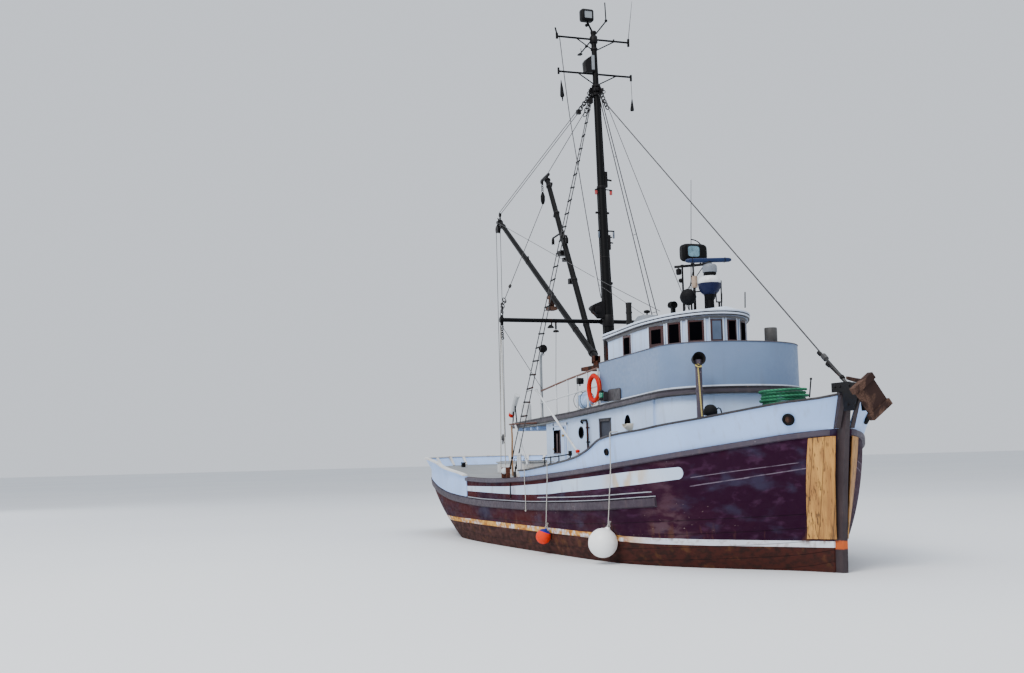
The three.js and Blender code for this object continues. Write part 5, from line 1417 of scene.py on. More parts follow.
@dataclass
class Deckhouse:
    """House on the main deck with its door, window, portlights and the boat deck on top of it."""

    thick: float = 0.13
    side: float = 1.46
    window: tuple[float, float, float, float] = (2.25, 2.79, 2.36, 2.74)
    sash: float = 0.034
    round_lights: tuple[tuple[float, float, float], ...] = ((1.31, 2.51, 0.115), (3.56, 2.69, 0.095))
    door: tuple[float, float, float, float] = (-0.15, 0.494, 1.68, 2.67)

    def boat_deck(self) -> None:
        """Lays the boat deck: a plate with an edge moulding of a cap, a broad board and a lower bead."""
        shape = Shape().add(*floor_plate(BOAT_DECK, DECK_TOP, -self.thick, -0.001, 0.022))
        piece("boat_deck_plate", shape, "paint_boat_deck", replaces=("boat_deck",), smooth=30)
        path = run_level(BOAT_DECK.curve(36), DECK_TOP)
        cap = [(-0.05, -0.004), (-0.006, 0.004), (0.014, 0.0), (0.02, -0.014), (0.014, -0.03), (-0.05, -0.03)]
        board = [(-0.05, -0.03), (0.0, -0.03), (0.002, -0.062), (0.0, -0.094), (-0.05, -0.094)]
        bead = [(-0.05, -0.094), (0.006, -0.094), (0.013, -0.104), (0.012, -0.12), (0.0, -0.131),
                (-0.05, -0.131)]
        for name, profile, finish in (("cap", cap, "paint_cap"), ("board", board, "paint_fascia"),
                                      ("bead", bead, "paint_cap")):
            piece(f"boat_deck_{name}", Shape().add(*sweep(np.array(profile), path, closed=True)), finish,
                  smooth=42)
        ribs = Shape()
        for x in np.arange(-2.3, -0.7, 0.4):
            ribs.block((x - 0.03, -1.5, 2.645), (x + 0.03, 1.5, 2.722))
        piece("boat_deck_beams", ribs, "paint_white", bevel=0.006)

    def walls(self) -> None:
        """Dresses the walls, of which the front one is a finer curve than its solid, and lays the
        skirting."""
        for node in ("deckhouse_side_starboard", "deckhouse_side_port", "deckhouse_aft"):
            softened(node, "paint_white_boards", 0.004)
        curve = Plan(1.46, 4.7004, 4.76, 5.79, 2.3).curve(34)
        low = smooth_value(LINES.deck_z, curve[:, 0]) - 0.002
        high = straight_value(DECK_TOP, curve[:, 0]) - self.thick - 0.0005
        piece("deckhouse_front_wall", Shape().add(*wall(curve, 0.045, low, high)), "paint_white_boards",
              replaces=("deckhouse_front",), smooth=40)
        skirting = Shape()
        for side, start, end in ((-1.0, -0.6, -0.245), (-1.0, 0.625, 4.7), (1.0, -0.6, 4.7)):
            x = np.linspace(start, end, 30)
            path = np.column_stack([x, np.full(30, side * self.side), smooth_value(LINES.deck_z, x) + 0.005])
            skirting.add(*sweep(np.array([(-0.005, 0), (0.022, 0), (0.022, 0.1), (0.01, 0.125),
                                          (-0.005, 0.125)]) * (side * -1, 1), path))
        piece("deckhouse_skirting", skirting, "paint_guard", smooth=30)

    def lights(self) -> None:
        """Fits the window under its drip moulding, the round light, and the arched one with the scoop below
        it."""
        sashes, rims, panes, greys, scoops = Shape(), Shape(), Shape(), Shape(), Shape()
        x0, x1, z0, z1 = self.window
        for side in (-1.0, 1.0):
            y = side * self.side
            lo, hi = sorted((y - side * 0.04, y + side * 0.012))
            wide = self.sash
            rim = border((x0 - 0.01, z0 - 0.01), (x1 + 0.01, z1 + 0.01), (x0 + wide, z0 + wide),
                         (x1 - wide, z1 - wide))
            for a, b in (*rim, ((x0 - 0.03, z1 + 0.012), (x1 + 0.03, z1 + 0.034))):
                sashes.block((a[0], lo, a[1]), (b[0], hi, b[1]))
            lo, hi = sorted((y - side * 0.03, y - side * 0.022))
            greys.block((x0 + 0.02, lo, z0 + 0.02), (x1 - 0.02, hi, z1 - 0.02))
            x, z, r = self.round_lights[0]
            face = (x, y - side * 0.004, z)
            profile = [(0.0, r + 0.018), (0.014, r + 0.018), (0.02, r + 0.01), (0.016, r - 0.006),
                       (0.006, r - 0.008)]
            rims.turned(profile, face, (0, side, 0), 32)
            panes.turned([(0.004, r - 0.002), (0.01, r - 0.002)], face, (0, side, 0), 32)
            x, z, r = self.round_lights[1]
            lo, hi = sorted((y - side * 0.002, y + side * 0.006))
            arch = np.linspace(0, np.pi, 19)
            outline = np.stack([x + 0.122 * np.cos(arch), 2.612 + 0.178 * np.sin(arch)], -1)
            panes.add(*prism(outline.tolist(), Axis.Y, lo, hi))
            rim = np.concatenate([outline, [[x + 0.122, 2.606]]])
            rims.tube(np.insert(rim, 1, y + side * 0.004, axis=1), 0.008, 8)
            a = np.linspace(np.pi, 2 * np.pi, 17)
            depth = np.linspace(0, 1, 7)
            rr = (r + 0.055) * np.sqrt(1 - 0.55 * depth ** 2)
            shell = np.stack([x + rr[:, None] * np.cos(a)[None],
                              np.broadcast_to((y + side * 0.13 * depth)[:, None], (7, 17)),
                              z - 0.005 + rr[:, None] * np.sin(a)[None] * (1 - 0.35 * depth[:, None])], -1)
            inner = shell + np.array([0, -side * 0.006, 0.01])
            ring = np.concatenate([shell, inner[:, ::-1]], 1)
            scoops.add(*surface(ring + np.array([0.1, 0, -0.075]), wrap=True, caps=True))
        piece("deckhouse_window_frames", sashes, "paint_cap", bevel=0.004)
        piece("deckhouse_light_rims", rims, "iron_fitting", smooth=40)
        piece("deckhouse_window_panes", greys, "pane_grey")
        piece("deckhouse_panes", panes, "pane_black")
        piece("deckhouse_light_scoops", scoops, "plastic_cream", smooth=50)

    def doors(self) -> None:
        """Dresses the side door: rails, a tall pane, hinges and a handle on the leaf, a frame on the wall,
        and the pipe beside it."""
        x0, x1, z0, z1 = self.door
        face = -(self.side + 0.039)
        softened("deckhouse_door", "paint_white_boards", 0.004)
        rails = Shape()
        for a, b in border((x0, z0), (x1, z1), (x0 + 0.09, z0 + 0.14), (x1 - 0.09, z1 - 0.07)):
            rails.block((a[0], face - 0.01, a[1]), (b[0], face + 0.002, b[1]))
        piece("deckhouse_door_rails", rails, "paint_white_boards", "deckhouse_door", bevel=0.003)
        piece("deckhouse_door_pane", Shape().block((x0 + 0.05, face - 0.016, z0 + 0.42),
                                                   (x0 + 0.39, face + 0.001, z1 - 0.075)), "pane_black",
              "deckhouse_door")
        sash = Shape().block((x0 + 0.39, face - 0.02, z0 + 0.4), (x0 + 0.418, face + 0.001, z1 - 0.065))
        sash.block((x0 + 0.215, face - 0.019, z0 + 0.42), (x0 + 0.29, face - 0.014, z1 - 0.15))
        sash.block((x0 + 0.03, face - 0.02, z0 + 0.4), (x0 + 0.418, face + 0.001, z0 + 0.42))
        piece("deckhouse_door_sash", sash, "wood_varnished", "deckhouse_door", bevel=0.002)
        handle = Shape().tube([(x0 + 0.045, face - 0.008, z0 + 0.5), (x0 + 0.045, face - 0.045, z0 + 0.5),
                               (x0 + 0.14, face - 0.045, z0 + 0.5)], 0.009, 10)
        handle.turned([(0, 0.028), (0.006, 0.028), (0.01, 0.014)], (x0 + 0.045, face - 0.009, z0 + 0.5),
                      (0, -1, 0), 20)
        for z in (z0 + 0.16, z1 - 0.2):
            handle.block((x1 - 0.13, face - 0.018, z - 0.025), (x1, face - 0.009, z + 0.025))
        piece("deckhouse_door_iron", handle, "metal_bronze", "deckhouse_door", bevel=0.002)
        jamb = Shape()
        y0, y1 = -self.side - 0.012, -self.side + 0.004
        for a, b in (((x0 - 0.085, z0 - 0.02), (x0 - 0.012, z1 + 0.09)),
                     ((x1 + 0.045, z0 - 0.02), (x1 + 0.11, z1 + 0.09)),
                     ((x0 - 0.085, z1 + 0.02), (x1 + 0.11, z1 + 0.09))):
            jamb.block((a[0], y0, a[1]), (b[0], y1, b[1]))
        piece("deckhouse_door_jamb", jamb, "paint_roof", bevel=0.004)
        pipe = Shape()
        pipe.tube([(1.4, -1.462, 2.7), (1.4, -1.5, 2.74), (1.43, -1.5, 2.765), (1.66, -1.5, 2.76),
                   (1.705, -1.5, 2.72), (1.715, -1.5, 2.45), (1.72, -1.5, 1.72)], 0.022, 12)
        for z in (2.6, 2.3, 2.0):
            pipe.block((1.685, -1.528, z - 0.012), (1.75, -1.458, z + 0.012))
        piece("deckhouse_pipe", pipe, "iron_black", smooth=50, bevel=0.002)

    def build(self) -> None:
        """Makes the whole house."""
        self.walls()
        self.lights()
        self.doors()
        self.boat_deck()


@dataclass
class Dodger:
    """Curved screen round the pilothouse, with its moulding, knees inside and the sidelights on it."""

    thick: float = 0.04
    lamp: Point = (2.69, -1.6, 3.235)

    def build(self) -> None:
        """Makes the screen, its top bead and the sidelights."""
        curve = DODGER.curve(40)
        low = straight_value(DECK_TOP, curve[:, 0]) + 0.001
        high = straight_value(DODGER_TOP, curve[:, 0])
        # The screen's finish is its white paint darkened as painted shade.
        piece("dodger_screen", Shape().add(*wall(curve, self.thick, low, high - 0.004)), "paint_dodger_shaded",
              replaces=("dodger",), smooth=40)
        bead = np.array([(-0.046, -0.006), (-0.046, 0.004), (-0.038, 0.012), (0.001, 0.012), (0.009, 0.004),
                         (0.009, -0.006)])
        piece("dodger_bead", Shape().add(*sweep(bead, np.column_stack([curve, high - 0.008]))),
              "paint_fascia", smooth=40)
        foot = np.array([(-0.004, 0.0), (0.016, 0.0), (0.014, 0.028), (-0.004, 0.032)])
        piece("dodger_foot", Shape().add(*sweep(foot, np.column_stack([curve, low + 0.002]))), "paint_roof",
              smooth=40)
        knees = Shape()
        inner = DODGER.curve(10, self.thick)
        for x, y in inner[4:-4:2]:
            centre = np.array([x, y]) - np.array([3.4, 0])
            centre /= np.linalg.norm(centre)
            base = float(straight_value(DECK_TOP, x))
            knees.turned_block((x - centre[0] * 0.03, y - centre[1] * 0.03, base + 0.36), (0.05, 0.04, 0.7),
                               (centre[0], centre[1], 0))
        piece("dodger_knees", knees, "paint_white", bevel=0.006)
        self.sidelights()

    def sidelights(self) -> None:
        """Makes each sidelight: a board with a rounded top, and a lamp of a coloured lens between two caps
        at its aft end."""
        for side, name, glass in ((-1.0, "starboard", "glass_green"), (1.0, "port", "glass_red")):
            x, y, z = self.lamp[0], side * -self.lamp[1], self.lamp[2]
            outline = [(3.4, 3.1), (3.4, 3.29), (3.385, 3.325), (3.35, 3.34), (2.9, 3.34), (2.85, 3.325),
                       (2.815, 3.29), (2.8, 3.24), (2.8, 3.1)]
            lo, hi = sorted((side * 1.5005, side * 1.53))
            board = Shape().add(*prism(outline, Axis.Y, lo, hi))
            lo, hi = sorted((side * 1.531, side * 1.62))
            board.block((2.8, lo, 3.11), (2.815, hi, 3.3))
            lo, hi = sorted((side * 1.5005, side * 1.63))
            board.block((2.66, lo, 3.11), (2.815, hi, 3.125))
            piece(f"sidelight_board_{name}", board, "paint_cap", replaces=(f"sidelight_{name}",), bevel=0.004)
            cap = Shape()
            cap.turned([(-0.108, 0.03), (-0.105, 0.062), (-0.075, 0.062), (-0.05, 0.045)], (x, y, z))
            cap.turned([(0.05, 0.045), (0.055, 0.062), (0.08, 0.058), (0.098, 0.022), (0.104, 0.012)],
                       (x, y, z))
            piece(f"sidelight_caps_{name}", cap, "iron_fitting", smooth=40)
            lens = [(-0.055, 0.04), (-0.04, 0.05), (-0.02, 0.054), (0.0, 0.055), (0.02, 0.054), (0.04, 0.05),
                    (0.055, 0.04)]
            piece(f"sidelight_lens_{name}", Shape().turned(lens, (x, y, z), sides=28), glass,
                  smooth=50)


@dataclass
class Pilothouse:
    """Wheelhouse with windows all round, an aft door and a roof with two mouldings."""

    nose_windows: tuple[tuple[float, ...], ...] = (
        (3.775, 1.02, 4.17, 0.906, 4.1, 4.515), (4.26, 0.867, 4.515, 0.72, 4.112, 4.545),
        (4.63, 0.63, 4.83, 0.39, 4.136, 4.56), (4.883, 0.28, 4.93, 0.05, 4.144, 4.565))
    side_window: tuple[float, float, float, float] = (2.735, 3.09, 4.01, 4.44)
    leaf: tuple[float, ...] = (1.941, -0.41, 0.314, 3.075, 4.41)
    nose_bars: tuple[float, ...] = (0.068, 0.036, 0.034, 0.03)
    side_bar: float = 0.045

    def windows(self) -> None:
        """Fits casings, sashes and panes in the plane of each opening, a little inside the wall's face."""
        casing, panes, pale, trim = Shape(), Shape(), Shape(), Shape()
        x0, x1, z0, z1 = self.side_window
        openings = [(x0, PILOTHOUSE.half, x1, PILOTHOUSE.half, z0, z1, self.side_bar, False)]
        for k, (xa, ya, xb, yb, sill, head) in enumerate(self.nose_windows):
            openings.append((xa, ya, xb, yb, sill, head, self.nose_bars[k], k == 3))
        for side in (-1.0, 1.0):
            for xa, ya, xb, yb, sill, head, width, sky in openings:
                a, b = np.array([xa, side * ya]), np.array([xb, side * yb])
                along = (b - a) / np.linalg.norm(b - a)
                out = np.array([along[1], -along[0]]) * (1 if side < 0 else -1)
                middle, wide, tall = (a + b) / 2 + out * 0.004, float(np.linalg.norm(b - a)), head - sill
                direction = (along[0], along[1], 0)
                height = (sill + head) / 2
                for offset in (-1, 1):
                    place = middle + along * offset * (wide - width) / 2
                    casing.turned_block((*place, height), (width, 0.05, tall), direction)
                    edge = middle + out * 0.008 + along * offset * (wide / 2 + 0.02)
                    trim.turned_block((*edge, height), (0.03, 0.014, tall + 0.05), direction)
                for z in (sill + width / 2, head - width / 2):
                    casing.turned_block((*middle, z), (wide, 0.048, width), direction)
                trim.turned_block((*(middle + out * 0.012), sill - 0.018), (wide + 0.07, 0.05, 0.028),
                                  direction)
                pane = middle + out * 0.017
                # Painted light: the starboard pane of the innermost nose window is pale blue for the sky seen
                # in it.
                light = pale if sky and side < 0 else panes
                light.turned_block((*pane, height), (wide - 1.6 * width, 0.008, tall - 1.6 * width),
                                   direction)
        piece("pilothouse_casings", casing, "wood_varnished", bevel=0.003)
        piece("pilothouse_trim", trim, "paint_roof", bevel=0.003)
        piece("pilothouse_panes", panes, "pane_black")
        # Painted light: these panes are pale blue for the sky seen in them.
        piece("pilothouse_panes_sky_lit", pale, "pane_sky_lit")

    def roof(self) -> None:
        """Builds the cambered roof plate and its edge: an upper bead, a groove painted dark for its shade, a
        broad moulding, a lower band painted dark for the shadow under it, and a cornice painted dark grey for
        the shade under the roof."""
        shape = Shape().add(*floor_plate(ROOF, ROOF_TOP, -0.12, -0.004, 0.02, 0.05))
        piece("pilothouse_roof_plate", shape, "paint_roof", replaces=("pilothouse_roof",), smooth=30)
        path = run_level(ROOF.curve(40), ROOF_TOP)
        bead = [(-0.06, -0.002), (0.0, 0.002), (0.012, -0.006), (0.016, -0.024), (0.012, -0.04),
                (-0.06, -0.04)]
        groove = [(-0.06, -0.04), (0.004, -0.04), (0.004, -0.062), (-0.06, -0.062)]
        moulding = [(-0.06, -0.062), (0.0, -0.062), (0.006, -0.068), (0.006, -0.092), (0.0, -0.098),
                    (-0.06, -0.098)]
        lower = [(-0.06, -0.098), (0.0, -0.098), (0.0, -0.114), (-0.006, -0.121), (-0.06, -0.121)]
        # Painted shade: the groove and the lower band are dark paint for the shadow lines of the roof's edge.
        for name, profile, finish in (("bead", bead, "paint_roof"), ("groove", groove, "paint_cap"),
                                      ("moulding", moulding, "paint_roof"), ("lower", lower, "paint_cap")):
            piece(f"pilothouse_roof_{name}", Shape().add(*sweep(np.array(profile), path, closed=True)),
                  finish, smooth=42)
        curve = PILOTHOUSE.curve(36)
        cornice = np.array([(0.0, -0.052), (0.018, -0.05), (0.03, -0.02), (0.034, -0.001), (0.0, -0.001)])
        high = straight_value(ROOF_TOP, curve[:, 0]) - 0.121
        # Painted shade: the cornice's dark grey stands for the shade under the roof's edge.
        piece("pilothouse_cornice", Shape().add(*sweep(cornice, np.column_stack([curve, high]))),
              "paint_cornice_shaded", smooth=40)

    def door(self) -> None:
        """Dresses the aft door's leaf with rails, a pane and a knob."""
        softened("pilothouse_door", "wood_varnished", 0.004)
        x, y0, y1, z0, z1 = self.leaf
        rails = Shape()
        frame_strips = border((y0, z0), (y1, z1), (y0 + 0.09, z0 + 0.15), (y1 - 0.09, z1 - 0.1))
        for a, b in (*frame_strips, ((y0, z0 + 0.66), (y1, z0 + 0.75))):
            rails.block((x - 0.01, a[0], a[1]), (x + 0.002, b[0], b[1]))
        piece("pilothouse_door_rails", rails, "wood_varnished", "pilothouse_door", bevel=0.003)
        piece("pilothouse_door_pane", Shape().block((x - 0.005, y0 + 0.1, z0 + 0.76),
                                                    (x + 0.001, y1 - 0.1, z1 - 0.11)), "glass_dark",
              "pilothouse_door")
        knob = Shape().turned([(0, 0.022), (0.008, 0.022), (0.012, 0.01), (0.035, 0.01), (0.042, 0.024),
                               (0.062, 0.026), (0.072, 0.012)], (x - 0.009, y0 + 0.045, z0 + 0.7), (-1, 0, 0),
                              24)
        piece("pilothouse_door_knob", knob, "metal_bronze", "pilothouse_door",
              smooth=45)

    def build(self) -> None:
        """Makes the whole wheelhouse."""
        softened("pilothouse_wall", "paint_white_boards", 0.003)
        softened("pilothouse_aft", "paint_white_boards", 0.003)
        self.windows()
        self.roof()
        self.door()


# Small fittings


def loop(centre: Point, normal: Point, major: float, minor: float, sides: int = 8, start: float = 0.0,
         turn: float = 2 * math.pi) -> Part:
    """Ring or part of one: a circle of the minor radius carried round the major one, square to the normal.

    Args:
        centre: middle of the ring.
        normal: direction square to its plane.
        major: radius of its line.
        minor: radius of its bar.
        sides: corners of the bar.
        start: angle at which a part ring begins.
        turn: how far it goes round.

    Returns:
        Points, faces and texture coordinates.
    """
    n = np.asarray(normal, float) / np.linalg.norm(normal)
    u = np.cross(n, np.eye(3)[int(np.argmin(np.abs(n)))])
    u /= np.linalg.norm(u)
    v = np.cross(n, u)
    whole = turn > 6.28
    a = np.linspace(start, start + turn, 37 if whole else 19)[:, None, None]
    b = np.linspace(0, 2 * np.pi, sides, endpoint=False)[None, :, None]
    out = np.cos(a) * u + np.sin(a) * v
    return surface(np.asarray(centre, float) + out * (major + minor * np.cos(b)) + n * minor * np.sin(b),
                   wrap=True, caps=not whole)


def sagging(start: Point, end: Point, drop: float, count: int = 21) -> np.ndarray:
    """Line between two points that hangs: straight shares lowered by drop times 4 t (1 - t)."""
    t = np.linspace(0, 1, count)[:, None]
    line = np.asarray(start, float) * (1 - t) + np.asarray(end, float) * t
    return line - np.array([0, 0, 1.0]) * drop * 4 * t * (1 - t)


def winding(x: float, z: float, radius: float, start: float, wide: float, turns: int,
            count: int) -> np.ndarray:
    """Line wound on a drum across the boat: round its axis, while it goes evenly along the width.

    Args:
        x: station of the axis.
        z: height of the axis.
        radius: distance of the line from it.
        start: where the first turn is, to port of the middle.
        wide: how far the turns reach from there.
        turns: how many they are.
        count: points of the line.

    Returns:
        The line's points.
    """
    t = np.linspace(0, 1, count)
    a = 2 * np.pi * turns * t
    return np.stack([x + radius * np.cos(a), start + wide * t, z + radius * np.sin(a)], -1)


def pulley(centre: Point, across: Point, radius: float, up: Point = (0, 0, 1)) -> Shape:
    """Sheave between two cheeks with a strap and an eye: turned discs along the pin and a ring at the top.

    Args:
        centre: middle of the sheave.
        across: direction of its pin.
        radius: radius of the cheeks.
        up: where its eye is.

    Returns:
        The block's shape.
    """
    axis = np.asarray(across, float) / np.linalg.norm(across)
    top = np.asarray(up, float) / np.linalg.norm(up)
    middle = np.asarray(centre, float)
    shape = Shape()
    for offset, thick, r in ((-0.4, 0.13, 1.0), (0.27, 0.13, 1.0), (-0.24, 0.1, 0.93), (-0.14, 0.28, 0.74),
                             (0.14, 0.1, 0.93)):
        d = thick * radius
        shape.turned([(0, r * radius * 0.93), (d * 0.2, r * radius), (d * 0.8, r * radius),
                      (d, r * radius * 0.93)], middle + axis * offset * radius, axis, 24)
    shape.turned([(0, 0.05 * radius), (0.01, 0.22 * radius), (radius * 0.98, 0.22 * radius),
                  (radius, 0.05 * radius)], middle - axis * 0.5 * radius, axis, 16)
    shape.turned_block(middle + top * radius * 1.0, (0.3 * radius, 0.62 * radius, 0.5 * radius),
                       np.cross(axis, top), top)
    shape.loop(middle + top * radius * 1.38, axis, radius * 0.24, radius * 0.075)
    return shape


def chain(start: Point, end: Point, links: int, wire: float) -> Shape:
    """Row of rings from one point to another, each turned a quarter against the last."""
    a, b = np.asarray(start, float), np.asarray(end, float)
    along = (b - a) / np.linalg.norm(b - a)
    side = np.cross(along, (1.0, 0.3, 0.0))
    side /= np.linalg.norm(side)
    shape = Shape()
    pitch = np.linalg.norm(b - a) / links
    for k in range(links):
        shape.loop(a + along * pitch * (k + 0.5), side if k % 2 else np.cross(along, side), pitch * 0.62,
                   wire)
    return shape


def joined(*shapes: Shape) -> Shape:
    """Returns one shape of several."""
    whole = Shape()
    for shape in shapes:
        for verts, uv in zip(shape.verts, shape.uvs):
            whole.verts.append(verts)
            whole.uvs.append(uv)
        whole.faces += [[i + whole.count for i in face] for face in shape.faces]
        whole.count += shape.count
    return whole


# Mast, booms and rigging


@dataclass
class Mast:
    """Raked pole mast with bands, two crosstrees, head lamp, aerials and the fittings on its sides."""

    foot: float = 2.89
    top: float = 12.15
    foot_radius: float = 0.13
    top_radius: float = 0.062
    step_x: float = -0.15
    step_z: float = 3.0
    rake: float = 0.042
    pole_rods: Rods = (((-0.37, 0.155, 8.5), (-0.37, 0.275, 8.485), 0.024),
                       ((-0.365, -0.15, 8.262), (-0.365, 0.255, 8.255), 0.014),
                       ((-0.347, -0.155, 7.69), (-0.347, 0.145, 7.69), 0.014),
                       ((-0.317, 0.15, 6.985), (-0.317, 0.235, 6.975), 0.018),
                       ((-0.277, 0.09, 6.015), (-0.277, 0.165, 6.01), 0.034))
    pole_boxes: Blocks = (((-0.43, 0.085, 8.31), (-0.335, 0.16, 8.69)),
                          ((-0.37, 0.086, 6.81), (-0.275, 0.16, 7.16)),
                          ((-0.345, -0.145, 7.245), (-0.305, 0.28, 7.275)),
                          ((-0.34, -0.1, 7.1), (-0.308, 0.22, 7.125)),
                          ((-0.305, -0.15, 3.3), (-0.205, -0.1, 3.55)),
                          ((-0.5, -0.235, 10.35), (-0.4, -0.12, 10.47)),
                          ((-0.495, -0.54, 10.06), (-0.405, -0.44, 10.165)))
    crosstree_rods: Rods = (((-0.526, -0.955, 11.885), (-0.526, -0.958, 12.02), 0.032),
                            ((-0.526, -0.958, 12.0), (-0.534, -0.992, 12.155), 0.02),
                            ((-0.527, 0.925, 11.87), (-0.527, 0.928, 12.06), 0.03),
                            ((-0.49, -0.958, 11.01), (-0.49, -0.958, 11.165), 0.026),
                            ((-0.49, 0.944, 11.0), (-0.49, 0.944, 11.155), 0.028),
                            ((-0.533, 0.07, 12.11), (-0.549, 0.355, 12.455), 0.017),
                            ((-0.549, 0.358, 12.43), (-0.568, 0.35, 12.93), 0.015),
                            ((-0.523, -0.08, 11.905), (-0.509, -0.377, 11.558), 0.016),
                            ((-0.545, -0.155, 12.4), (-0.532, -0.02, 12.13), 0.024),
                            ((-0.509, -0.345, 11.55), (-0.509, -0.35, 11.7), 0.008))
    bands: tuple[tuple[float, float, float], ...] = ((2.89, 2.93, 0.06), (2.93, 2.99, 0.025),
                                                     (3.62, 3.7, 0.014), (4.98, 5.26, 0.022),
                                                     (6.6, 6.64, 0.01), (8.27, 8.34, 0.016),
                                                     (10.54, 10.62, 0.04), (10.64, 10.74, 0.055),
                                                     (10.76, 10.82, 0.034), (11.68, 11.74, 0.02),
                                                     (11.86, 12.03, 0.03), (12.1, 12.16, 0.01))

    def at(self, z: float, ahead: float = 0.0, across: float = 0.0) -> Point:
        """Point on the raked centreline at a height, moved forward and to port."""
        return (self.station(z) + ahead, across, z)

    def station(self, z: np.ndarray | float) -> np.ndarray | float:
        """Station of the raked centreline at a height: it goes aft by the rake for each metre above its
        step."""
        return self.step_x - self.rake * (z - self.step_z)

    def radius(self, z: np.ndarray | float) -> np.ndarray | float:
        """Radius, which falls evenly from foot to top."""
        taper = self.top_radius - self.foot_radius
        return self.foot_radius + taper * (z - self.foot) / (self.top - self.foot)

    def pole(self) -> None:
        """Makes the pole and its iron bands."""
        z = np.linspace(self.foot, self.top, 80)
        path = np.stack([self.station(z), 0 * z, z], -1)
        pole, bands = Shape().tube(path, self.radius(z), 28), Shape()
        for low, high, extra in self.bands:
            r, tall = float(self.radius(low)), high - low
            bands.turned([(0, r - 0.004), (0.004, r + extra * 0.8), (0.012, r + extra),
                          (tall - 0.012, r + extra), (tall - 0.004, r + extra * 0.8), (tall, r - 0.004)],
                         self.at(low), (-self.rake, 0, 1), 28)
        for k in range(8):
            a = k * math.pi / 4 + 0.2
            out = (math.cos(a), math.sin(a), 0)
            lug = self.at(10.69, 0.145 * out[0], 0.145 * out[1])
            bands.turned_block(lug, (0.075, 0.022, 0.085), out)
            bands.loop((lug[0] + out[0] * 0.035, lug[1] + out[1] * 0.035, 10.635), (-out[1], out[0], 0),
                       0.036, 0.01)
        conduit = Shape()
        for a, low, high in ((1.2, 3.3, 10.5), (-2.2, 3.2, 8.2)):
            out = np.array([math.cos(a), math.sin(a)])
            zz = np.linspace(low, high, 40)
            r = self.radius(zz) + 0.01
            conduit.tube(np.stack([self.station(zz) + r * out[0], r * out[1], zz], -1), 0.011, 8)
        piece("mast_pole", pole, "iron_black", replaces=("mast",), smooth=60)
        piece("mast_bands", bands, "iron_fitting", smooth=40)
        piece("mast_conduits", conduit, "iron_fitting", smooth=60)

    def crosstrees(self) -> None:
        """Makes both crosstrees with their braces and end posts, the aerials and the signal cones."""
        shape = Shape()
        for z, star, port, foot in ((11.955, -0.955, 0.925, 11.7), (11.088, -0.958, 0.944, 10.84)):
            x = self.at(z)[0]
            shape.bar((x, star, z - 0.01), (x, port, z + 0.012), 0.024)
            for y, inner in ((-0.46, -0.055), (0.54, 0.075)):
                shape.bar((x, y, z - 0.004), self.at(foot, 0, inner), 0.015, sides=8)
        for a, b, r in self.crosstree_rods:
            shape.bar(a, b, r, sides=10)
        for centre, r in (((-0.549, 0.358, 12.47), 0.038), ((-0.515, -0.2, 11.765), 0.036),
                          ((-0.545, -0.165, 12.3), 0.042), ((-0.527, 0.535, 12.0), 0.022)):
            shape.ball(centre, r, sides=14)
        shape.block((-0.565, -0.425, 11.53), (-0.455, -0.335, 11.56))
        piece("mast_crosstrees", shape, "iron_black", bevel=0.002, smooth=45)
        rods = Shape()
        rods.bar((-0.527, 0.928, 12.04), (-0.57, 1.086, 13.04), 0.01, 0.005, 8)
        z = np.linspace(5.66, 11.94, 30)
        y = smooth_value(((5660, -150), (7050, -350), (8720, -565), (10200, -745), (11940, -890)), z)
        rods.tube(np.stack([self.station(z), y, z], -1), 0.011, 8)
        rods.bar((-0.49, 0.944, 11.02), (-0.467, 0.944, 10.55), 0.006, sides=6)
        piece("mast_aerials", rods, "wire", smooth=60)
        cones = Shape()
        cones.turned([(-0.1, 0.01), (-0.01, 0.018), (0, 0.036), (0.03, 0.052), (0.22, 0.036), (0.42, 0.007)],
                     (-0.463, -0.89, 10.449), (-0.017, -0.014, 0.416), 20)
        cones.turned([(0, 0.032), (0.01, 0.046), (0.05, 0.046), (0.3, 0.009)], (-0.455, 0.93, 10.253),
                     (-0.012, 0.014, 0.302), 20)
        piece("mast_cones", cones, "rubber_black", smooth=50)

    def lamps(self) -> None:
        """Makes the rounded lamp at the head, the hooded box below it and the lamps and boxes down the
        pole."""
        head = Shape().block((-0.65, -0.318, 12.385), (-0.45, 0.008, 12.69))
        piece("mast_head_lamp", head, "iron_black", bevel=0.055, levels=4, smooth=60)
        bezel = Shape()
        for a, b in (((-0.27, 12.43), (-0.04, 12.45)), ((-0.27, 12.625), (-0.04, 12.645)),
                     ((-0.27, 12.45), (-0.25, 12.625)), ((-0.06, 12.45), (-0.04, 12.625))):
            bezel.block((-0.46, a[0], a[1]), (-0.436, b[0], b[1]))
        hood = [(-0.29, 11.36), (-0.24, 11.435), (-0.1, 11.53), (-0.05, 11.545), (-0.05, 11.13),
                (-0.27, 11.115)]
        bezel.add(*prism(hood, Axis.X, -0.6, -0.4))
        piece("mast_hood_box", bezel, "iron_fitting", bevel=0.006, smooth=40)
        glass = Shape().block((-0.452, -0.252, 12.448), (-0.444, -0.058, 12.627))
        glass.block((-0.404, -0.13, 11.17), (-0.396, -0.052, 11.525))
        piece("mast_panes", glass, "metal_grey", bevel=0.003)
        boxes, red, clear = Shape(), Shape(), Shape()
        for lo, hi in self.pole_boxes:
            boxes.block(lo, hi)
        for a, b, r in self.pole_rods:
            boxes.bar(a, b, r, sides=10)
        for y in (-0.155, 0.145):
            boxes.turned([(0, 0.014), (0.006, 0.03), (0.045, 0.03), (0.055, 0.014)], (-0.347, y, 7.665),
                         sides=16)
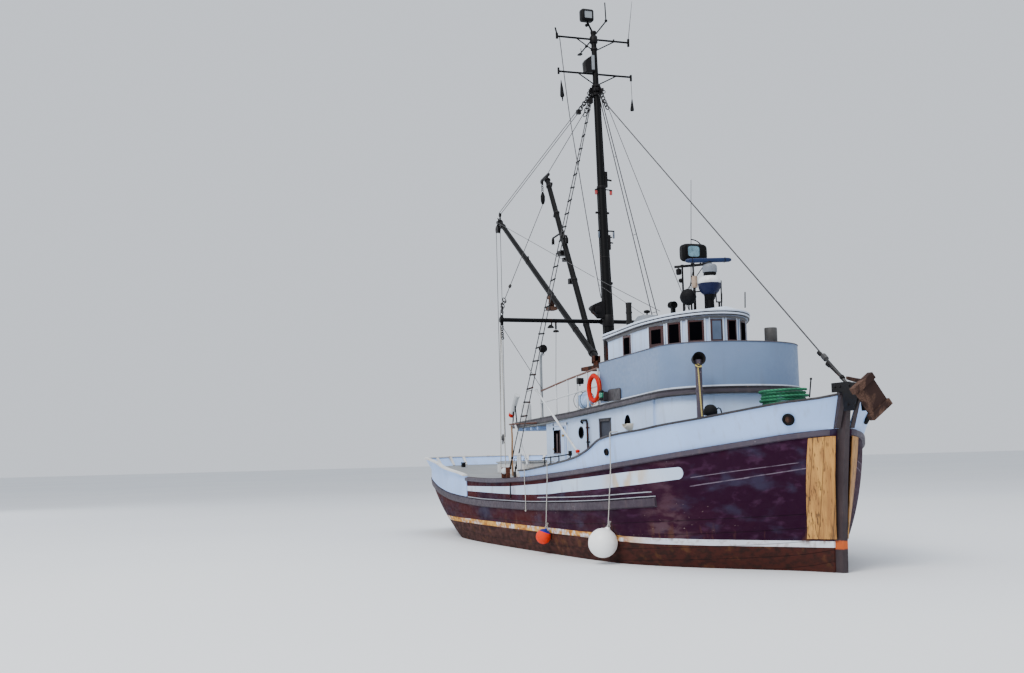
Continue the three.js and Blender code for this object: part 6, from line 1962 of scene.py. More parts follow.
        boxes.add(*prism([(-0.444, 5.425), (-0.4, 5.47), (-0.259, 5.54), (-0.1, 5.6), (-0.1, 5.185),
                          (-0.227, 5.18), (-0.373, 5.323), (-0.44, 5.385)], Axis.X, -0.345, -0.165))
        boxes.turned([(0, 0.055), (0.01, 0.085), (0.04, 0.085), (0.05, 0.06), (0.24, 0.06), (0.25, 0.085),
                      (0.28, 0.085), (0.29, 0.05)], (-0.4, -0.29, 5.37), (1, 0, 0), 22)
        for y in (-0.138, 0.245):
            boxes.turned([(0, 0.034), (0.01, 0.04), (0.03, 0.036), (0.042, 0.014)], (-0.366, y, 8.222),
                         sides=18)
            red.turned([(0, 0.022), (0.012, 0.034), (0.06, 0.036), (0.092, 0.034)], (-0.366, y, 8.132),
                       sides=18)
        for y in (-0.12, 0.262):
            clear.turned([(0, 0.01), (0.01, 0.022), (0.15, 0.024), (0.165, 0.012)], (-0.325, y, 7.085),
                         sides=16)
        piece("mast_boxes", boxes, "iron_fitting", bevel=0.004, smooth=42)
        piece("mast_red_lamps", red, "glass_red", smooth=50)
        piece("mast_clear_lamps", clear, "glass_pale", smooth=50)
        links = joined(chain(self.at(10.62, 0, -0.13), (-0.45, -0.45, 10.17), 7, 0.012),
                       chain(self.at(10.62, 0, 0.13), (-0.455, 0.285, 10.25), 5, 0.013),
                       chain(self.at(10.6, 0, -0.11), (-0.44, -0.34, 10.02), 6, 0.01))
        piece("mast_chains", links, "iron_fitting", smooth=60)

    def build(self) -> None:
        """Makes the whole mast."""
        self.pole()
        self.crosstrees()
        self.lamps()


@dataclass(frozen=True)
class Boom:
    """Boom on its swivel: tapered pole with a tip fitting and an eye band, and the blocks that hang on it."""

    name: str
    heel: Point
    tip: Point
    thick: float = 0.076
    thin: float = 0.062

    def at(self, share: float, lift: float = 0.0, across: float = 0.0) -> Point:
        """Point on the boom's line, moved up and to port."""
        a, b = np.asarray(self.heel), np.asarray(self.tip)
        point = a * (1 - share) + b * share
        return (float(point[0]), float(point[1]) + across, float(point[2]) + lift)

    def build(self) -> None:
        """Makes pole and bands."""
        a, b = np.asarray(self.heel, float), np.asarray(self.tip, float)
        along = (b - a) / np.linalg.norm(b - a)
        share = np.linspace(0, 1, 40)[:, None]
        radius = self.thick + (self.thin - self.thick) * share[:, 0] + 0.004 * np.sin(share[:, 0] * np.pi)
        piece(f"{self.name}_pole", Shape().tube(a * (1 - share) + b * share, radius, 24), "iron_black",
              self.name, replaces=(self.name,), smooth=60)
        bands = Shape()
        for s, wide, extra in ((0.034, 0.1, 0.018), (0.18, 0.05, 0.01), (0.42, 0.07, 0.014),
                               (0.66, 0.05, 0.01), (0.955, 0.06, 0.016), (0.992, 0.045, 0.022)):
            r = float(np.interp(s, [0, 1], [self.thick, self.thin]))
            bands.turned(collar(r, extra, wide, 0.006), a * (1 - s) + b * s - along * wide / 2, along, 24)
        for s, up in ((0.992, 1), (0.992, -1), (0.66, 1), (0.42, -1)):
            bands.loop(np.asarray(self.at(s)) + np.array([0, 0, up * 0.115]), (0, 1, 0), 0.042, 0.013)
        piece(f"{self.name}_bands", bands, "iron_fitting", self.name, smooth=45)


@dataclass
class Rigging:
    """Booms, spreader, shrouds with their rungs, stays, lifts and the whip falls."""

    main: Boom = Boom("main_boom", (-0.64, -0.15, 4.28), (-6.85, -0.15, 8.725))
    second: Boom = Boom("second_boom", (-1.15, 0.08, 4.28), (-3.83, 0.08, 9.295))
    spreader: tuple[float, float, float, float] = (-0.393, 5.12, 2.63, 0.048)
    fall: Point = (-6.985, -0.15, 8.43)
    guys: Rods = (((-0.28, -0.2, 6.1), (2.614, -0.15, 5.0), 0.007),
                  ((-0.28, -0.2, 5.98), (2.4, -0.4, 4.93), 0.006),
                  ((-0.39, -2.58, 5.44), (-0.39, -2.58, 5.28), 0.008),
                  ((-0.393, -2.58, 4.98), (-0.715, -1.5, 3.56), 0.007),
                  ((3.2, 0.1, 4.86), (4.05, -0.1, 5.8), 0.006),
                  ((-0.43, 0.15, 10.6), (1.7, 2.43, 1.79), 0.009),
                  ((-0.393, -1.255, 4.86), (-0.393, -1.3, 3.56), 0.006))

    def booms(self) -> None:
        """Makes both booms and what hangs on them."""
        self.main.build()
        self.second.build()
        for node in ("boom_bracket", "main_boom_swivel", "second_boom_swivel"):
            softened(node, "iron_rusty", 0.006)
        x, y, _ = self.fall
        tip = joined(pulley((x, y, 8.52), (0, 1, 0), 0.115),
                     pulley((-6.8, -0.15, 8.905), (0, 1, 0), 0.06, (0, 0, -1)))
        tip.block((-7.04, -0.185, 8.69), (-6.83, -0.115, 8.76))
        tip.bar((-6.86, -0.15, 8.7), (-6.98, -0.15, 8.84), 0.02, sides=10)
        piece("main_boom_tip", tip, "iron_fitting", "main_boom", bevel=0.003, smooth=42)
        power = joined(pulley((-3.225, -0.15, 5.915), (0.35, 1, 0), 0.165))
        power.turned_block((-3.225, -0.15, 5.775), (0.26, 0.22, 0.09), (1, 0, 0))
        power.turned_block((-3.225, -0.15, 6.06), (0.2, 0.19, 0.07), (1, 0, 0))
        piece("main_boom_block", power, "iron_anchor", "main_boom", bevel=0.004, smooth=42)
        gear = joined(pulley((-3.547, 0.08, 7.56), (0.3, 1, 0), 0.08),
                      pulley((-2.655, 0.08, 7.44), (0.3, 1, 0), 0.08),
                      pulley((-4.19, 0.08, 9.3), (0, 1, 0), 0.062, (1, 0, 0)),
                      pulley((-3.56, 0.08, 9.095), (0, 1, 0), 0.055, (-1, 0, 0.3)))
        gear.bar((-3.55, 0.08, 7.66), (-3.1, 0.08, 7.7), 0.024, sides=10)
        gear.bar((-3.1, 0.08, 7.7), (-2.66, 0.08, 7.56), 0.024, sides=10)
        gear.turned_block((-3.95, 0.08, 9.36), (0.5, 0.06, 0.06), (1, 0, 0.15))
        gear.turned([(0, 0.05), (0.02, 0.085), (0.17, 0.075), (0.2, 0.03)], (-3.3, 0.08, 8.15), (0.35, 0, 1),
                    22)
        for lo, hi, axis in (((-3.05, -0.02, 7.1), (-2.835, 0.18, 7.23), -2.69),
                             ((-2.82, 0.0, 6.92), (-2.7, 0.16, 7.02), -2.59),
                             ((-2.49, 0.0, 6.3), (-2.37, 0.16, 6.44), -2.27)):
            level = (lo[2] + hi[2]) / 2
            gear.block(lo, hi).bar((hi[0] - 0.02, 0.08, level), (axis, 0.08, level), 0.02, sides=10)
        gear.bar((-3.58, 0.08, 9.1), (-3.73, 0.08, 9.12), 0.014, sides=8)
        piece("second_boom_gear", gear, "iron_fitting", "second_boom", bevel=0.004,
              smooth=42)
        hook = joined(chain((-4.165, 0.08, 9.27), (-4.165, 0.08, 9.02), 5, 0.009))
        hook.turned([(0, 0.01), (0.03, 0.04), (0.1, 0.058), (0.22, 0.062), (0.31, 0.035), (0.345, 0.012)],
                    (-4.155, 0.08, 8.675), sides=20)
        piece("second_boom_hook", hook, "iron_black", "second_boom", smooth=50)

    def spread(self) -> None:
        """Makes the spreader bar with its clamp, end fittings and lamps."""
        x, z, half, r = self.spreader
        shape = Shape().tube([(x, y, z) for y in np.linspace(-half, half, 24)], r, 20)
        for y, wide in ((-half, 0.09), (half - 0.09, 0.09), (-0.13, 0.26)):
            shape.turned(collar(r, 0.016, wide, 0.006), (x, y, z), (0, 1, 0), 20)
        shape.block((x - 0.02, -0.1, z - 0.075), (x + 0.16, 0.1, z + 0.075))
        for side in (-1, 1):
            y = side * (half - 0.05)
            shape.block((x - 0.03, y - 0.03, z - 0.12), (x + 0.03, y + 0.03, z + 0.1))
            shape.loop((x, y, z + 0.135), (1, 0, 0), 0.034, 0.01)
            shape.loop((x, y, z - 0.155), (1, 0, 0), 0.034, 0.01)
        shape.bar((x, -1.36, z - 0.03), (x, -1.36, z - 0.1), 0.016)
        shape.turned([(0, 0.075), (0.02, 0.08), (0.07, 0.035), (0.08, 0.02)], (x, -1.385, z - 0.17), sides=20)
        shape.bar((x, -1.255, z - 0.03), (x, -1.255, z - 0.2), 0.022)
        shape.turned([(0, 0.065), (0.016, 0.072), (0.045, 0.06), (0.055, 0.02)], (x, -1.255, z - 0.265),
                     sides=20)
        piece("spreader_pole", shape, "iron_black", replaces=("spreader_bar",), bevel=0.003, smooth=45)
        links = joined(chain((x, -half + 0.05, z - 0.19), (x + 0.01, -half + 0.06, z - 0.44), 5, 0.01),
                       chain((x, -half + 0.06, z + 0.16), (x - 0.09, -half + 0.1, z + 0.32), 3, 0.01))
        piece("spreader_chains", links, "iron_fitting", smooth=50)

    def rungs(self, feet: np.ndarray, tops: np.ndarray) -> Shape:
        """Returns the rungs across a pair of shroud legs, each a little out of level."""
        shape = Shape()
        for k, z in enumerate(np.arange(2.95, 10.7, 0.315)):
            share = ((z - feet[:, 2]) / (tops[:, 2] - feet[:, 2]))[:, None]
            ends = feet * (1 - share) + tops * share
            away = (ends[1] - ends[0]) / np.linalg.norm(ends[1] - ends[0]) * 0.022
            tilt = np.array([0, 0, 0.012 * math.sin(k * 2.3)])
            shape.bar(ends[0] - away + tilt, ends[1] + away - tilt, 0.021, 0.019, 8)
        return shape

    def shrouds(self) -> None:
        """Dresses the shrouds: turnbuckles at all their feet, and rungs on the starboard pair only."""
        for side, name in SIDES:
            softened(f"shrouds_{name}", "wire")
            feet = np.array([[-0.86, side * 2.325, 1.65], [-0.48, side * 2.325, 1.66]])
            tops = np.array([[-0.519, 0.0, 10.98], [-0.451, 0.0, 10.98]])
            if side < 0:
                piece(f"shroud_rungs_{name}", self.rungs(feet, tops), "iron_black",
                      smooth=60)
            screws = Shape()
            for foot, top in zip(feet, tops):
                along = (top - foot) / np.linalg.norm(top - foot)
                screws.turned([(0.02, 0.014), (0.1, 0.016), (0.11, 0.028), (0.15, 0.03), (0.16, 0.017),
                               (0.34, 0.017), (0.35, 0.03), (0.39, 0.028), (0.4, 0.016), (0.56, 0.014)], foot,
                              along, 14)
            piece(f"shroud_screws_{name}", screws, "iron_fitting", smooth=50)

    def lines(self) -> None:
        """Sets up the taut lines: the booms' lifts, the vang, the whip falls and the
        forestay's screw."""
        mast = Mast()
        lifts = Shape()
        for across in (-0.035, 0.035):
            lifts.bar(mast.at(10.66, -0.12, across - 0.05), (-6.78, -0.15 + across, 8.95), 0.009, sides=6)
        lift = piece("main_boom_lifts", lifts, "wire", "", smooth=60)
        mast.at(10.66, -0.12, -0.05)
        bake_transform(lift)
        short = piece("second_boom_lift", Shape().bar(mast.at(10.62, -0.12, 0.02), (-3.835, 0.08, 9.4), 0.009,
                                                      sides=6), "wire", "", smooth=60)
        mast.at(10.62, -0.12, 0.02)
        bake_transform(short)
        stay = Shape().bar((-6.85, -0.23, 8.7), (-0.42, -0.23, 6.165), 0.007, sides=6)
        guy = piece("main_boom_guy", stay, "wire", "", smooth=60)
        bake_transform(guy)
        falls = Shape()
        x, y, z = self.fall
        for across, low in ((-0.04, 3.05), (0.05, 2.6)):
            falls.bar((x + across, y + across, z), (x + across, y + across, low), 0.009, sides=6)
        falls.turned([(0, 0.02), (0.02, 0.045), (0.1, 0.05), (0.16, 0.03), (0.19, 0.012)], (x, y, 2.5),
                     sides=16)
        falls.loop((x, y, 2.45), (0, 1, 0), 0.055, 0.014, start=0.6, turn=4.6)
        piece("main_boom_falls", falls, "wire", "main_boom", smooth=60)
        fixed = Shape()
        for a, b, r in self.guys:
            fixed.bar(a, b, r, sides=6)
        piece("mast_guys", fixed, "wire", smooth=60)
        vang = joined(chain((-0.4, -2.56, 5.42), (-0.56, -2.43, 5.62), 3, 0.011))
        vang.bar((-0.56, -2.43, 5.62), (-4.15, 0.075, 8.69), 0.009, sides=6)
        vang.turned([(0, 0.01), (0.02, 0.035), (0.09, 0.035), (0.11, 0.01)], (-0.95, -2.158, 5.953),
                    (-3.59, 2.505, 3.07), 12)
        line = piece("vang", vang, "rope_dark", "", smooth=60)
        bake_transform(line)
        hanging = Shape()
        for a, b in (((-0.393, -2.6, 4.98), (-0.715, -2.45, 1.735)),
                     ((-0.41, -2.61, 4.98), (-1.05, -2.44, 1.8))):
            hanging.bar(a, b, 0.011, sides=6)
        piece("spreader_falls", hanging, "rope_white", smooth=60)
        softened("forestay", "wire")
        screw = joined(chain((8.56, 0, 3.16), (8.66, 0, 3.085), 1, 0.01))
        screw.turned([(0, 0.02), (0.02, 0.036), (0.09, 0.038), (0.12, 0.02)], (7.93, 0.0, 3.66),
                     (0.835, 0, -0.56), 16)
        for across in (-0.036, 0.036):
            screw.bar((8.22, across, 3.425), (8.58, across, 3.174), 0.011, sides=10)
        screw.bar((8.19, 0, 3.446), (8.25, 0, 3.404), 0.05, 0.044, 16)
        screw.bar((8.55, 0, 3.195), (8.6, 0, 3.16), 0.044, 0.036, 16)
        piece("forestay_screw", screw, "iron_fitting", bevel=0.004, smooth=45)

    def build(self) -> None:
        """Makes the whole rigging."""
        self.booms()
        self.spread()
        self.shrouds()
        self.lines()


# Gear on the roof, the boat deck and the deck


@dataclass
class RoofGear:
    """Radar with its domes, the floodlight on its mast, ball, aerials, horn, housing and stack on the
    pilothouse roof."""

    radar: tuple[float, float] = (4.45, -0.01)
    scanner_turn: float = 70.0
    scanner_z: float = 5.79
    scanner_half: float = 0.45
    flood: Point = (3.807, 0.022, 6.045)
    ball: Point = (4.15, -0.33, 5.09)
    ball_radius: float = 0.163
    stack: tuple[float, float] = (1.995, -0.57)

    def domes(self) -> None:
        """Makes the radar's foot, the two domes on it and the turning scanner."""
        x, y = self.radar
        foot = Shape().turned([(4.7, 0.21), (4.735, 0.215), (4.76, 0.18), (4.79, 0.085), (5.0, 0.08),
                               (5.02, 0.1), (5.12, 0.12), (5.13, 0.11)], (x, y, 0), sides=40)
        foot.turned([(5.476, 0.07), (5.5, 0.118), (5.506, 0.128), (5.545, 0.128), (5.552, 0.11)],
                    (x, y + 0.02, 0), sides=36)
        piece("radar_foot", foot, "iron_black", replaces=("radar_pedestal",), smooth=40)
        bowl = Shape().turned([(5.1, 0.1), (5.118, 0.14), (5.165, 0.182), (5.23, 0.212), (5.325, 0.228)],
                              (x, y, 0), sides=40)
        piece("radar_bowl", bowl, "paint_blue_dark", smooth=40)
        a = np.linspace(0, np.pi / 2, 12)
        light = Shape().turned([(5.322, 0.215), *zip(5.345 + 0.135 * np.sin(a),
                                                     0.045 + 0.18 * np.cos(a) ** 0.55)], (x, y, 0), sides=44)
        piece("radar_dome_low", light, "plastic_white", smooth=50)
        grey = Shape().turned([(5.545, 0.118), (5.55, 0.142), (5.62, 0.146),
                               *zip(5.64 + 0.075 * np.sin(a), 0.05 + 0.094 * np.cos(a) ** 0.6),
                               (5.735, 0.048), (5.744, 0.048)], (x, y + 0.02, 0), sides=44)
        piece("radar_dome_high", grey, "paint_grey", smooth=50)
        turn = math.radians(self.scanner_turn)
        along = np.array([math.cos(turn), math.sin(turn), 0.0])
        u = np.linspace(-1, 1, 31)
        b = np.linspace(0, 2 * np.pi, 20, endpoint=False)
        shrink = (1 - np.abs(u) ** 16 * 0.5)[:, None, None]
        middle = np.array([x, y, self.scanner_z]) + along * self.scanner_half * u[:, None, None]
        across = np.array([-along[1], along[0], 0])
        wide = powered(np.cos(b), 0.55)[None, :, None] * across * 0.062
        high = powered(np.sin(b), 0.55)[None, :, None] * np.array([0, 0, 0.043])
        ring = middle + (wide + high) * shrink
        piece("radar_bar", solid(ring), "plastic_radar", "radar_scanner", replaces=("radar_scanner",),
              smooth=50)
        seam = Shape().turned([(5.7465, 0.055), (5.748, 0.066), (5.764, 0.06)], (x, y, 0), sides=28)
        for end in (-0.32, 0.32):
            seam.turned_block(np.array([x, y, self.scanner_z]) + along * end, (0.012, 0.132, 0.092), along)
        piece("radar_bar_seams", seam, "iron_fitting", "radar_scanner", bevel=0.002)

    def lights(self) -> None:
        """Makes the light mast: posts, crossbar, the big rounded floodlight and the small lamps beside it."""
        posts = Shape()
        for x, y, top in ((3.807, 0.006, 5.9), (3.647, -0.154, 5.79), (3.967, 0.166, 5.79)):
            base = float(straight_value(ROOF_TOP, x)) + 0.025
            posts.bar((x, y, base - 0.02), (x, y, top), 0.022, 0.019)
            posts.turned([(0, 0.055), (0.012, 0.055), (0.016, 0.03), (0.05, 0.026)], (x, y, base), sides=20)
            posts.turned(collar(0.022, 0.012, 0.06, 0.004), (x, y, 5.765), sides=18)
        posts.bar((3.532, -0.269, 5.79), (4.012, 0.211, 5.79), 0.027, sides=16)
        posts.bar((3.647, -0.154, 5.25), (3.967, 0.166, 5.25), 0.014, sides=10)
        posts.bar((3.66, -0.14, 5.22), (3.95, 0.15, 5.74), 0.01, sides=8)
        piece("light_mast_posts", posts, "iron_fitting", replaces=("light_mast",), smooth=45)
        u, v = round_grid(-1, 1, 15, 48)
        swell = (1 - np.abs(u) ** 5 * 0.22)
        x, y, z = self.flood
        body = np.stack([x + 0.108 * u, y + 0.286 * swell * powered(np.cos(v), 0.42),
                         z + 0.182 * swell * powered(np.sin(v), 0.42)], -1)
        piece("flood_body", solid(body), "iron_black", smooth=50)
        w = np.linspace(0, 2 * np.pi, 49)
        frame_path = np.stack([0 * w + 3.921, -0.03 + 0.145 * powered(np.cos(w), 0.5),
                               6.06 + 0.122 * powered(np.sin(w), 0.5)], -1)
        piece("flood_bezel", Shape().tube(frame_path, 0.014, 8), "iron_fitting", smooth=50)
        flat = w[:-1]
        pane = np.stack([np.stack([0 * flat + d, -0.03 + 0.14 * powered(np.cos(flat), 0.5),
                                   6.06 + 0.118 * powered(np.sin(flat), 0.5)], -1) for d in (3.9165, 3.922)])
        piece("flood_pane", solid(pane), "glass_flood")
        yoke = Shape().bar((3.807, -0.006, 5.9), (3.807, -0.006, 5.83), 0.03)
        yoke.loop((3.807, -0.006, 6.045), (1, 0, 0), 0.275, 0.012, start=math.pi * 0.98, turn=math.pi * 1.04)
        yoke.turned([(0, 0.04), (0.02, 0.055), (0.11, 0.055), (0.13, 0.03)], (3.6, -0.215, 5.62), sides=20)
        yoke.bar((3.6, -0.215, 5.75), (3.6, -0.215, 5.79), 0.012)
        yoke.ball((3.62, -0.185, 5.5), 0.048, sides=16)
        yoke.bar((3.62, -0.18, 5.5), (3.647, -0.154, 5.5), 0.01, sides=8)
        piece("flood_yoke", yoke, "iron_fitting", smooth=45)

    def small(self) -> None:
        """Makes the ball on its legs, the aerials, the tan drum, the lamp, the horn, the housing and the
        stack."""
        x, y, z = self.ball
        r = self.ball_radius
        a = np.linspace(0.16, np.pi - 0.16, 22)
        shell = Shape().turned([(-0.164, 0.012), *zip(-r * np.cos(a), r * np.sin(a)), (0.164, 0.012)],
                               (x, y, z), sides=36)
        shell.loop((x, y, z), (0, 0, 1), r, 0.007).loop((x, y, z), (1, 0.3, 0), 0.162, 0.005)
        for k in range(3):
            b = k * THIRD_TURN + 0.4
            shell.bar((x + 0.1 * math.cos(b), y + 0.1 * math.sin(b), roof_at(x)),
                      (x + 0.075 * math.cos(b), y + 0.075 * math.sin(b), z - 0.13), 0.014, sides=10)
        shell.turned([(0, 0.13), (0.012, 0.13), (0.02, 0.05)], (x, y, roof_at(x) - 0.01))
        piece("signal_ball", shell, "rubber_black", replaces=("roof_ball",), smooth=45)
        aerials = Shape()
        for start, end, r in (((3.9, -0.116, 5.25), (3.9, -0.015, 7.53), 0.009),
                              ((4.9, 0.499, 4.8), (4.9, 0.513, 5.11), 0.012),
                              ((4.7, 0.045, roof_at(4.7)), (4.7, 0.045, 4.93), 0.02),
                              ((4.7, -0.02, 4.93), (4.7, 0.11, 4.93), 0.014),
                              ((4.7, -0.015, 4.925), (4.7, -0.02, 5.125), 0.012),
                              ((4.7, 0.105, 4.925), (4.7, 0.112, 5.1), 0.012),
                              ((3.9, -0.118, roof_at(3.9)), (3.9, -0.116, 5.29), 0.02),
                              ((4.1, -0.14, roof_at(4.1)), (4.1, -0.14, 5.29), 0.018),
                              ((4.3, 0.33, roof_at(4.3)), (4.3, 0.345, 5.42), 0.014),
                              ((2.6, -0.45, 4.91), (2.6, -0.45, 4.96), 0.016)):
            aerials.bar(start, end, r, r * (0.55 if end[2] > 7 else 1.0), 10)
        piece("roof_aerials", aerials, "iron_fitting", smooth=50)
        drum = Shape().turned([(0, 0.03), (0.006, 0.052), (0.03, 0.058), (0.215, 0.058), (0.235, 0.05),
                               (0.245, 0.02)], (4.1, -0.14, 5.282), sides=26)
        piece("roof_drum", drum, "plastic_tan", smooth=45)
        lamp = Shape().turned([(0, 0.05), (0.008, 0.066), (0.04, 0.07), (0.052, 0.064), (0.065, 0.02)],
                              (2.6, -0.45, 4.955))
        horn = np.array([(0.0, 0.03), (0.05, 0.045), (0.13, 0.06), (0.17, 0.078), (0.175, 0.07),
                         (0.14, 0.048)])
        lamp.turned(horn.tolist(), (3.52, -0.375, 4.985), (1, -0.1, 0.05), 24)
        lamp.block((3.56, -0.415, roof_at(3.6) - 0.01), (3.64, -0.335, 4.95))
        lamp.turned([(-0.02, 0.02), (0, 0.075), (0.05, 0.088), (0.1, 0.07), (0.125, 0.02)],
                    (3.545, -0.375, 4.955), sides=22)
        piece("roof_lamp_and_horn", lamp, "iron_black", smooth=45, bevel=0.004)
        u, v = round_grid(0, 1, 13, 44)
        shrink = 1 - 0.42 * u ** 2.2
        wave = 0.01 * np.sin(5 * v + 3 * u) * u * (1 - u)
        tent = np.stack([2.555 + (0.305 * shrink + wave) * powered(np.cos(v), 0.5),
                         -0.42 + (0.298 * shrink + wave) * powered(np.sin(v), 0.5), 4.6 + 0.305 * u + 0 * v],
                        -1)
        piece("roof_housing", solid(tent), "paint_grey", replaces=("roof_hump",), bevel=0.012, levels=2,
              smooth=50)
        crate = Shape().block((2.02, -0.47, 4.585), (2.24, -0.15, 4.79))
        crate.block((2.0, -0.49, 4.79), (2.26, -0.13, 4.815))
        piece("roof_crate", crate, "plastic_tan", bevel=0.01)
        x, y = self.stack
        stack = Shape().turned([(4.55, 0.085), (4.575, 0.085), (4.58, 0.062), (5.2, 0.062), (5.235, 0.07),
                                (5.25, 0.068), (5.25, 0.054), (5.05, 0.052)], (x, y, 0), sides=32)
        for z in (4.8, 5.02):
            stack.turned(collar(0.062, 0.008, 0.034, 0.004), (x, y, z), sides=32)
        piece("stack", stack, "metal_sooty", replaces=("stack_pipe",), smooth=45)

    def build(self) -> None:
        """Makes everything on the roof."""
        self.domes()
        self.lights()
        self.small()


@dataclass
class BoatDeckGear:
    """Railings, life ring, bag, struts, davit, bottle, vents and the small things along the boat deck's
    edge."""

    posts: tuple[float, ...] = (-0.8, 0.09, 0.745, 1.26, 1.79, 2.33)
    top_rail: Table = ((-800, 650), (745, 731), (2330, 780))
    mid_rail: Table = ((-800, 370), (2330, 405))
    ring_middle: Point = (2.27, -1.5693, 3.4)
    ring_radius: float = 0.255
    bag_start: Point = (0.955, -1.35, 3.205)
    bag_long: float = 0.73
    bottle_foot: Point = (-2.38, -1.25, 2.8535)
    cowl: tuple[float, float] = (6.08, -1.26)
    vent: tuple[float, float] = (5.0, 0.99)

    def railings(self) -> None:
        """Makes both railings: flanged posts, a rusty top rail and a white middle one."""
        for side, name in SIDES:
            y = side * 1.5
            posts, rail, low = Shape(), Shape(), Shape()
            for x in self.posts:
                base = float(straight_value(DECK_TOP, x))
                posts.bar((x, y, base), (x, y, base + float(straight_value(self.top_rail, x)) - 0.01), 0.019)
                posts.turned([(0, 0.045), (0.01, 0.045), (0.014, 0.026), (0.05, 0.023)], (x, y, base),
                             sides=18)
                posts.ball((x, y, base + float(straight_value(self.mid_rail, x))), 0.03, sides=12)
            x = np.linspace(self.posts[0], self.posts[-1], 40)
            base = straight_value(DECK_TOP, x)
            rail.tube(np.stack([x, 0 * x + y, base + straight_value(self.top_rail, x)], -1), 0.021, 14)
            low.tube(np.stack([x, 0 * x + y, base + straight_value(self.mid_rail, x)], -1), 0.015, 12)
            piece(f"railing_posts_{name}", posts, "pipe_white", replaces=(f"railing_{name}",), smooth=45)
            piece(f"railing_top_{name}", rail, "pipe_rusty", smooth=60)
            piece(f"railing_middle_{name}", low, "pipe_white", smooth=60)

    def ring(self) -> None:
        """Makes the life ring: a rounded ring with four bands and a grab line that hangs between them."""
        x, y, z = self.ring_middle
        major = self.ring_radius
        a, b = round_grid(0, 2 * np.pi, 65, 20)
        puff = 0.049 + 0.0008 * np.sin(9 * a)
        body = np.stack([x + (major + puff * np.cos(b)) * np.cos(a), y + puff * 0.98 * np.sin(b),
                         z + (major + puff * np.cos(b)) * np.sin(a)], -1)
        piece("ring_body", Shape().add(*surface(body, wrap=True)), "ring_orange", replaces=("life_ring",),
              smooth=60)
        bands, line = Shape(), Shape()
        for k in range(4):
            t = k * np.pi / 2 + 0.5
            bend, bb = round_grid(-0.1, 0.1, 5, 20)
            aa = t + bend
            around = major + 0.0515 * np.cos(bb)
            band = np.stack([x + around * np.cos(aa), y + 0.0505 * np.sin(bb), z + around * np.sin(aa)], -1)
            bands.add(*surface(band, wrap=True, caps=True))
            s = np.linspace(0, 1, 17)
            swing = t + s * np.pi / 2
            radius = 0.31 + 0.02 * np.sin(np.pi * s)
            hung = z + radius * np.sin(swing) - 0.02 * np.sin(np.pi * s)
            line.tube(np.stack([x + radius * np.cos(swing), 0 * s + y - 0.012, hung], -1), 0.006, 8)
        piece("ring_bands", bands, "ring_orange", smooth=60)
        piece("ring_line", line, "rope_orange", smooth=60)

    def bag(self) -> None:
        """Makes the light-blue bag tied inside the railing: ellipse rings along it, pinched at the ends,
        low where it sags and creased."""
        u, v = round_grid(0, 1, 60, 48)
        full = (np.sin(np.pi * np.clip(u * 0.94 + 0.03, 0, 1)) ** 0.42)
        fold = 0.055 * np.sin(17 * u + 4 * np.cos(v)) * np.cos(2 * v + 5 * u)
        crease = 1 + fold + 0.035 * np.sin(31 * u + 7 * v)
        high = np.where(np.sin(v) > 0, 0.175, 0.15) * full * crease
        x0, y0, z0 = self.bag_start
        x = x0 + self.bag_long * u
        y = y0 + 0.12 * full * crease * np.cos(v)
        z = z0 - 0.03 * np.sin(np.pi * u) + high * np.sin(v) * (1 - 0.12 * np.cos(6 * u))
        bag = piece("blue_bag", solid(np.stack([x, y, z], -1)), "plastic_blue_bag",
                    smooth=70)
        ties = Shape()
        for share in (0.25, 0.72):
            w = np.linspace(0, 2 * np.pi, 33)
            middle = 0 * w + x0 + self.bag_long * share
            ties.tube(np.stack([middle, y0 - 0.025 + 0.165 * np.cos(w), z0 + 0.185 * np.sin(w)], -1), 0.007,
                      8)
        piece("bag_ties", ties, "rope_dark", smooth=60)

    def edge(self) -> None:
        """Makes the struts, the short float on its stand, the small lamp, the bottle and the davit with its
        sheave."""
        white = Shape()
        for start, end, r in (((-0.97, -1.55, 3.56), (3.21, -2.4, 2.08), 0.024),
                              ((-2.45, -1.54, 2.86), (0.49, -2.4, 1.87), 0.022)):
            white.bar(start, end, r).ball(start, r * 1.5, sides=12).ball(end, r * 1.5, sides=12)
        white.bar((-2.345, -1.5, 3.5), (-2.71, -1.5, 3.105), 0.062, sides=24)
        white.bar((-2.33, -1.5, 3.52), (-2.36, -1.5, 3.485), 0.07, sides=24)
        piece("struts", white, "pipe_white", smooth=45)
        cap = Shape().turned([(0, 0.063), (0.01, 0.07), (0.09, 0.07), (0.11, 0.05)], (-2.71, -1.5, 3.105),
                             (-0.365, 0, -0.395), 24)
        cap.turned([(0, 0.03), (0.01, 0.042), (0.05, 0.042), (0.06, 0.02)], (3.205, -2.399, 2.075),
                   (0.1, -0.1, 0.5), 16)
        piece("strut_caps", cap, "ring_orange", smooth=45)
        stand = Shape().bar((-2.4, -1.5, 2.855), (-2.5, -1.5, 3.33), 0.016)
        stand.bar((-2.66, -1.5, 2.853), (-2.6, -1.5, 3.22), 0.016)
        stand.block((1.345, -1.56, 3.545), (1.455, -1.43, 3.675))
        stand.bar((1.4, -1.5, 3.5), (1.4, -1.5, 3.6), 0.014)
        stand.turned([(0, 0.036), (0.008, 0.046), (0.05, 0.05), (0.06, 0.03)], (1.455, -1.495, 3.61),
                     (1, 0, 0), 20)
        piece("rail_lamp", stand, "iron_fitting", bevel=0.01, smooth=45)
        bottle = [(0, 0.1), (0.015, 0.116), (0.05, 0.119), (0.4, 0.119), (0.45, 0.108), (0.485, 0.075),
                  (0.5, 0.035), (0.512, 0.03), (0.515, 0.02)]
        x, y, _ = self.bottle_foot
        gas = Shape().turned(bottle, self.bottle_foot, sides=36).loop((x, y, 3.355), (0, 0, 1), 0.075, 0.008)
        for k in range(3):
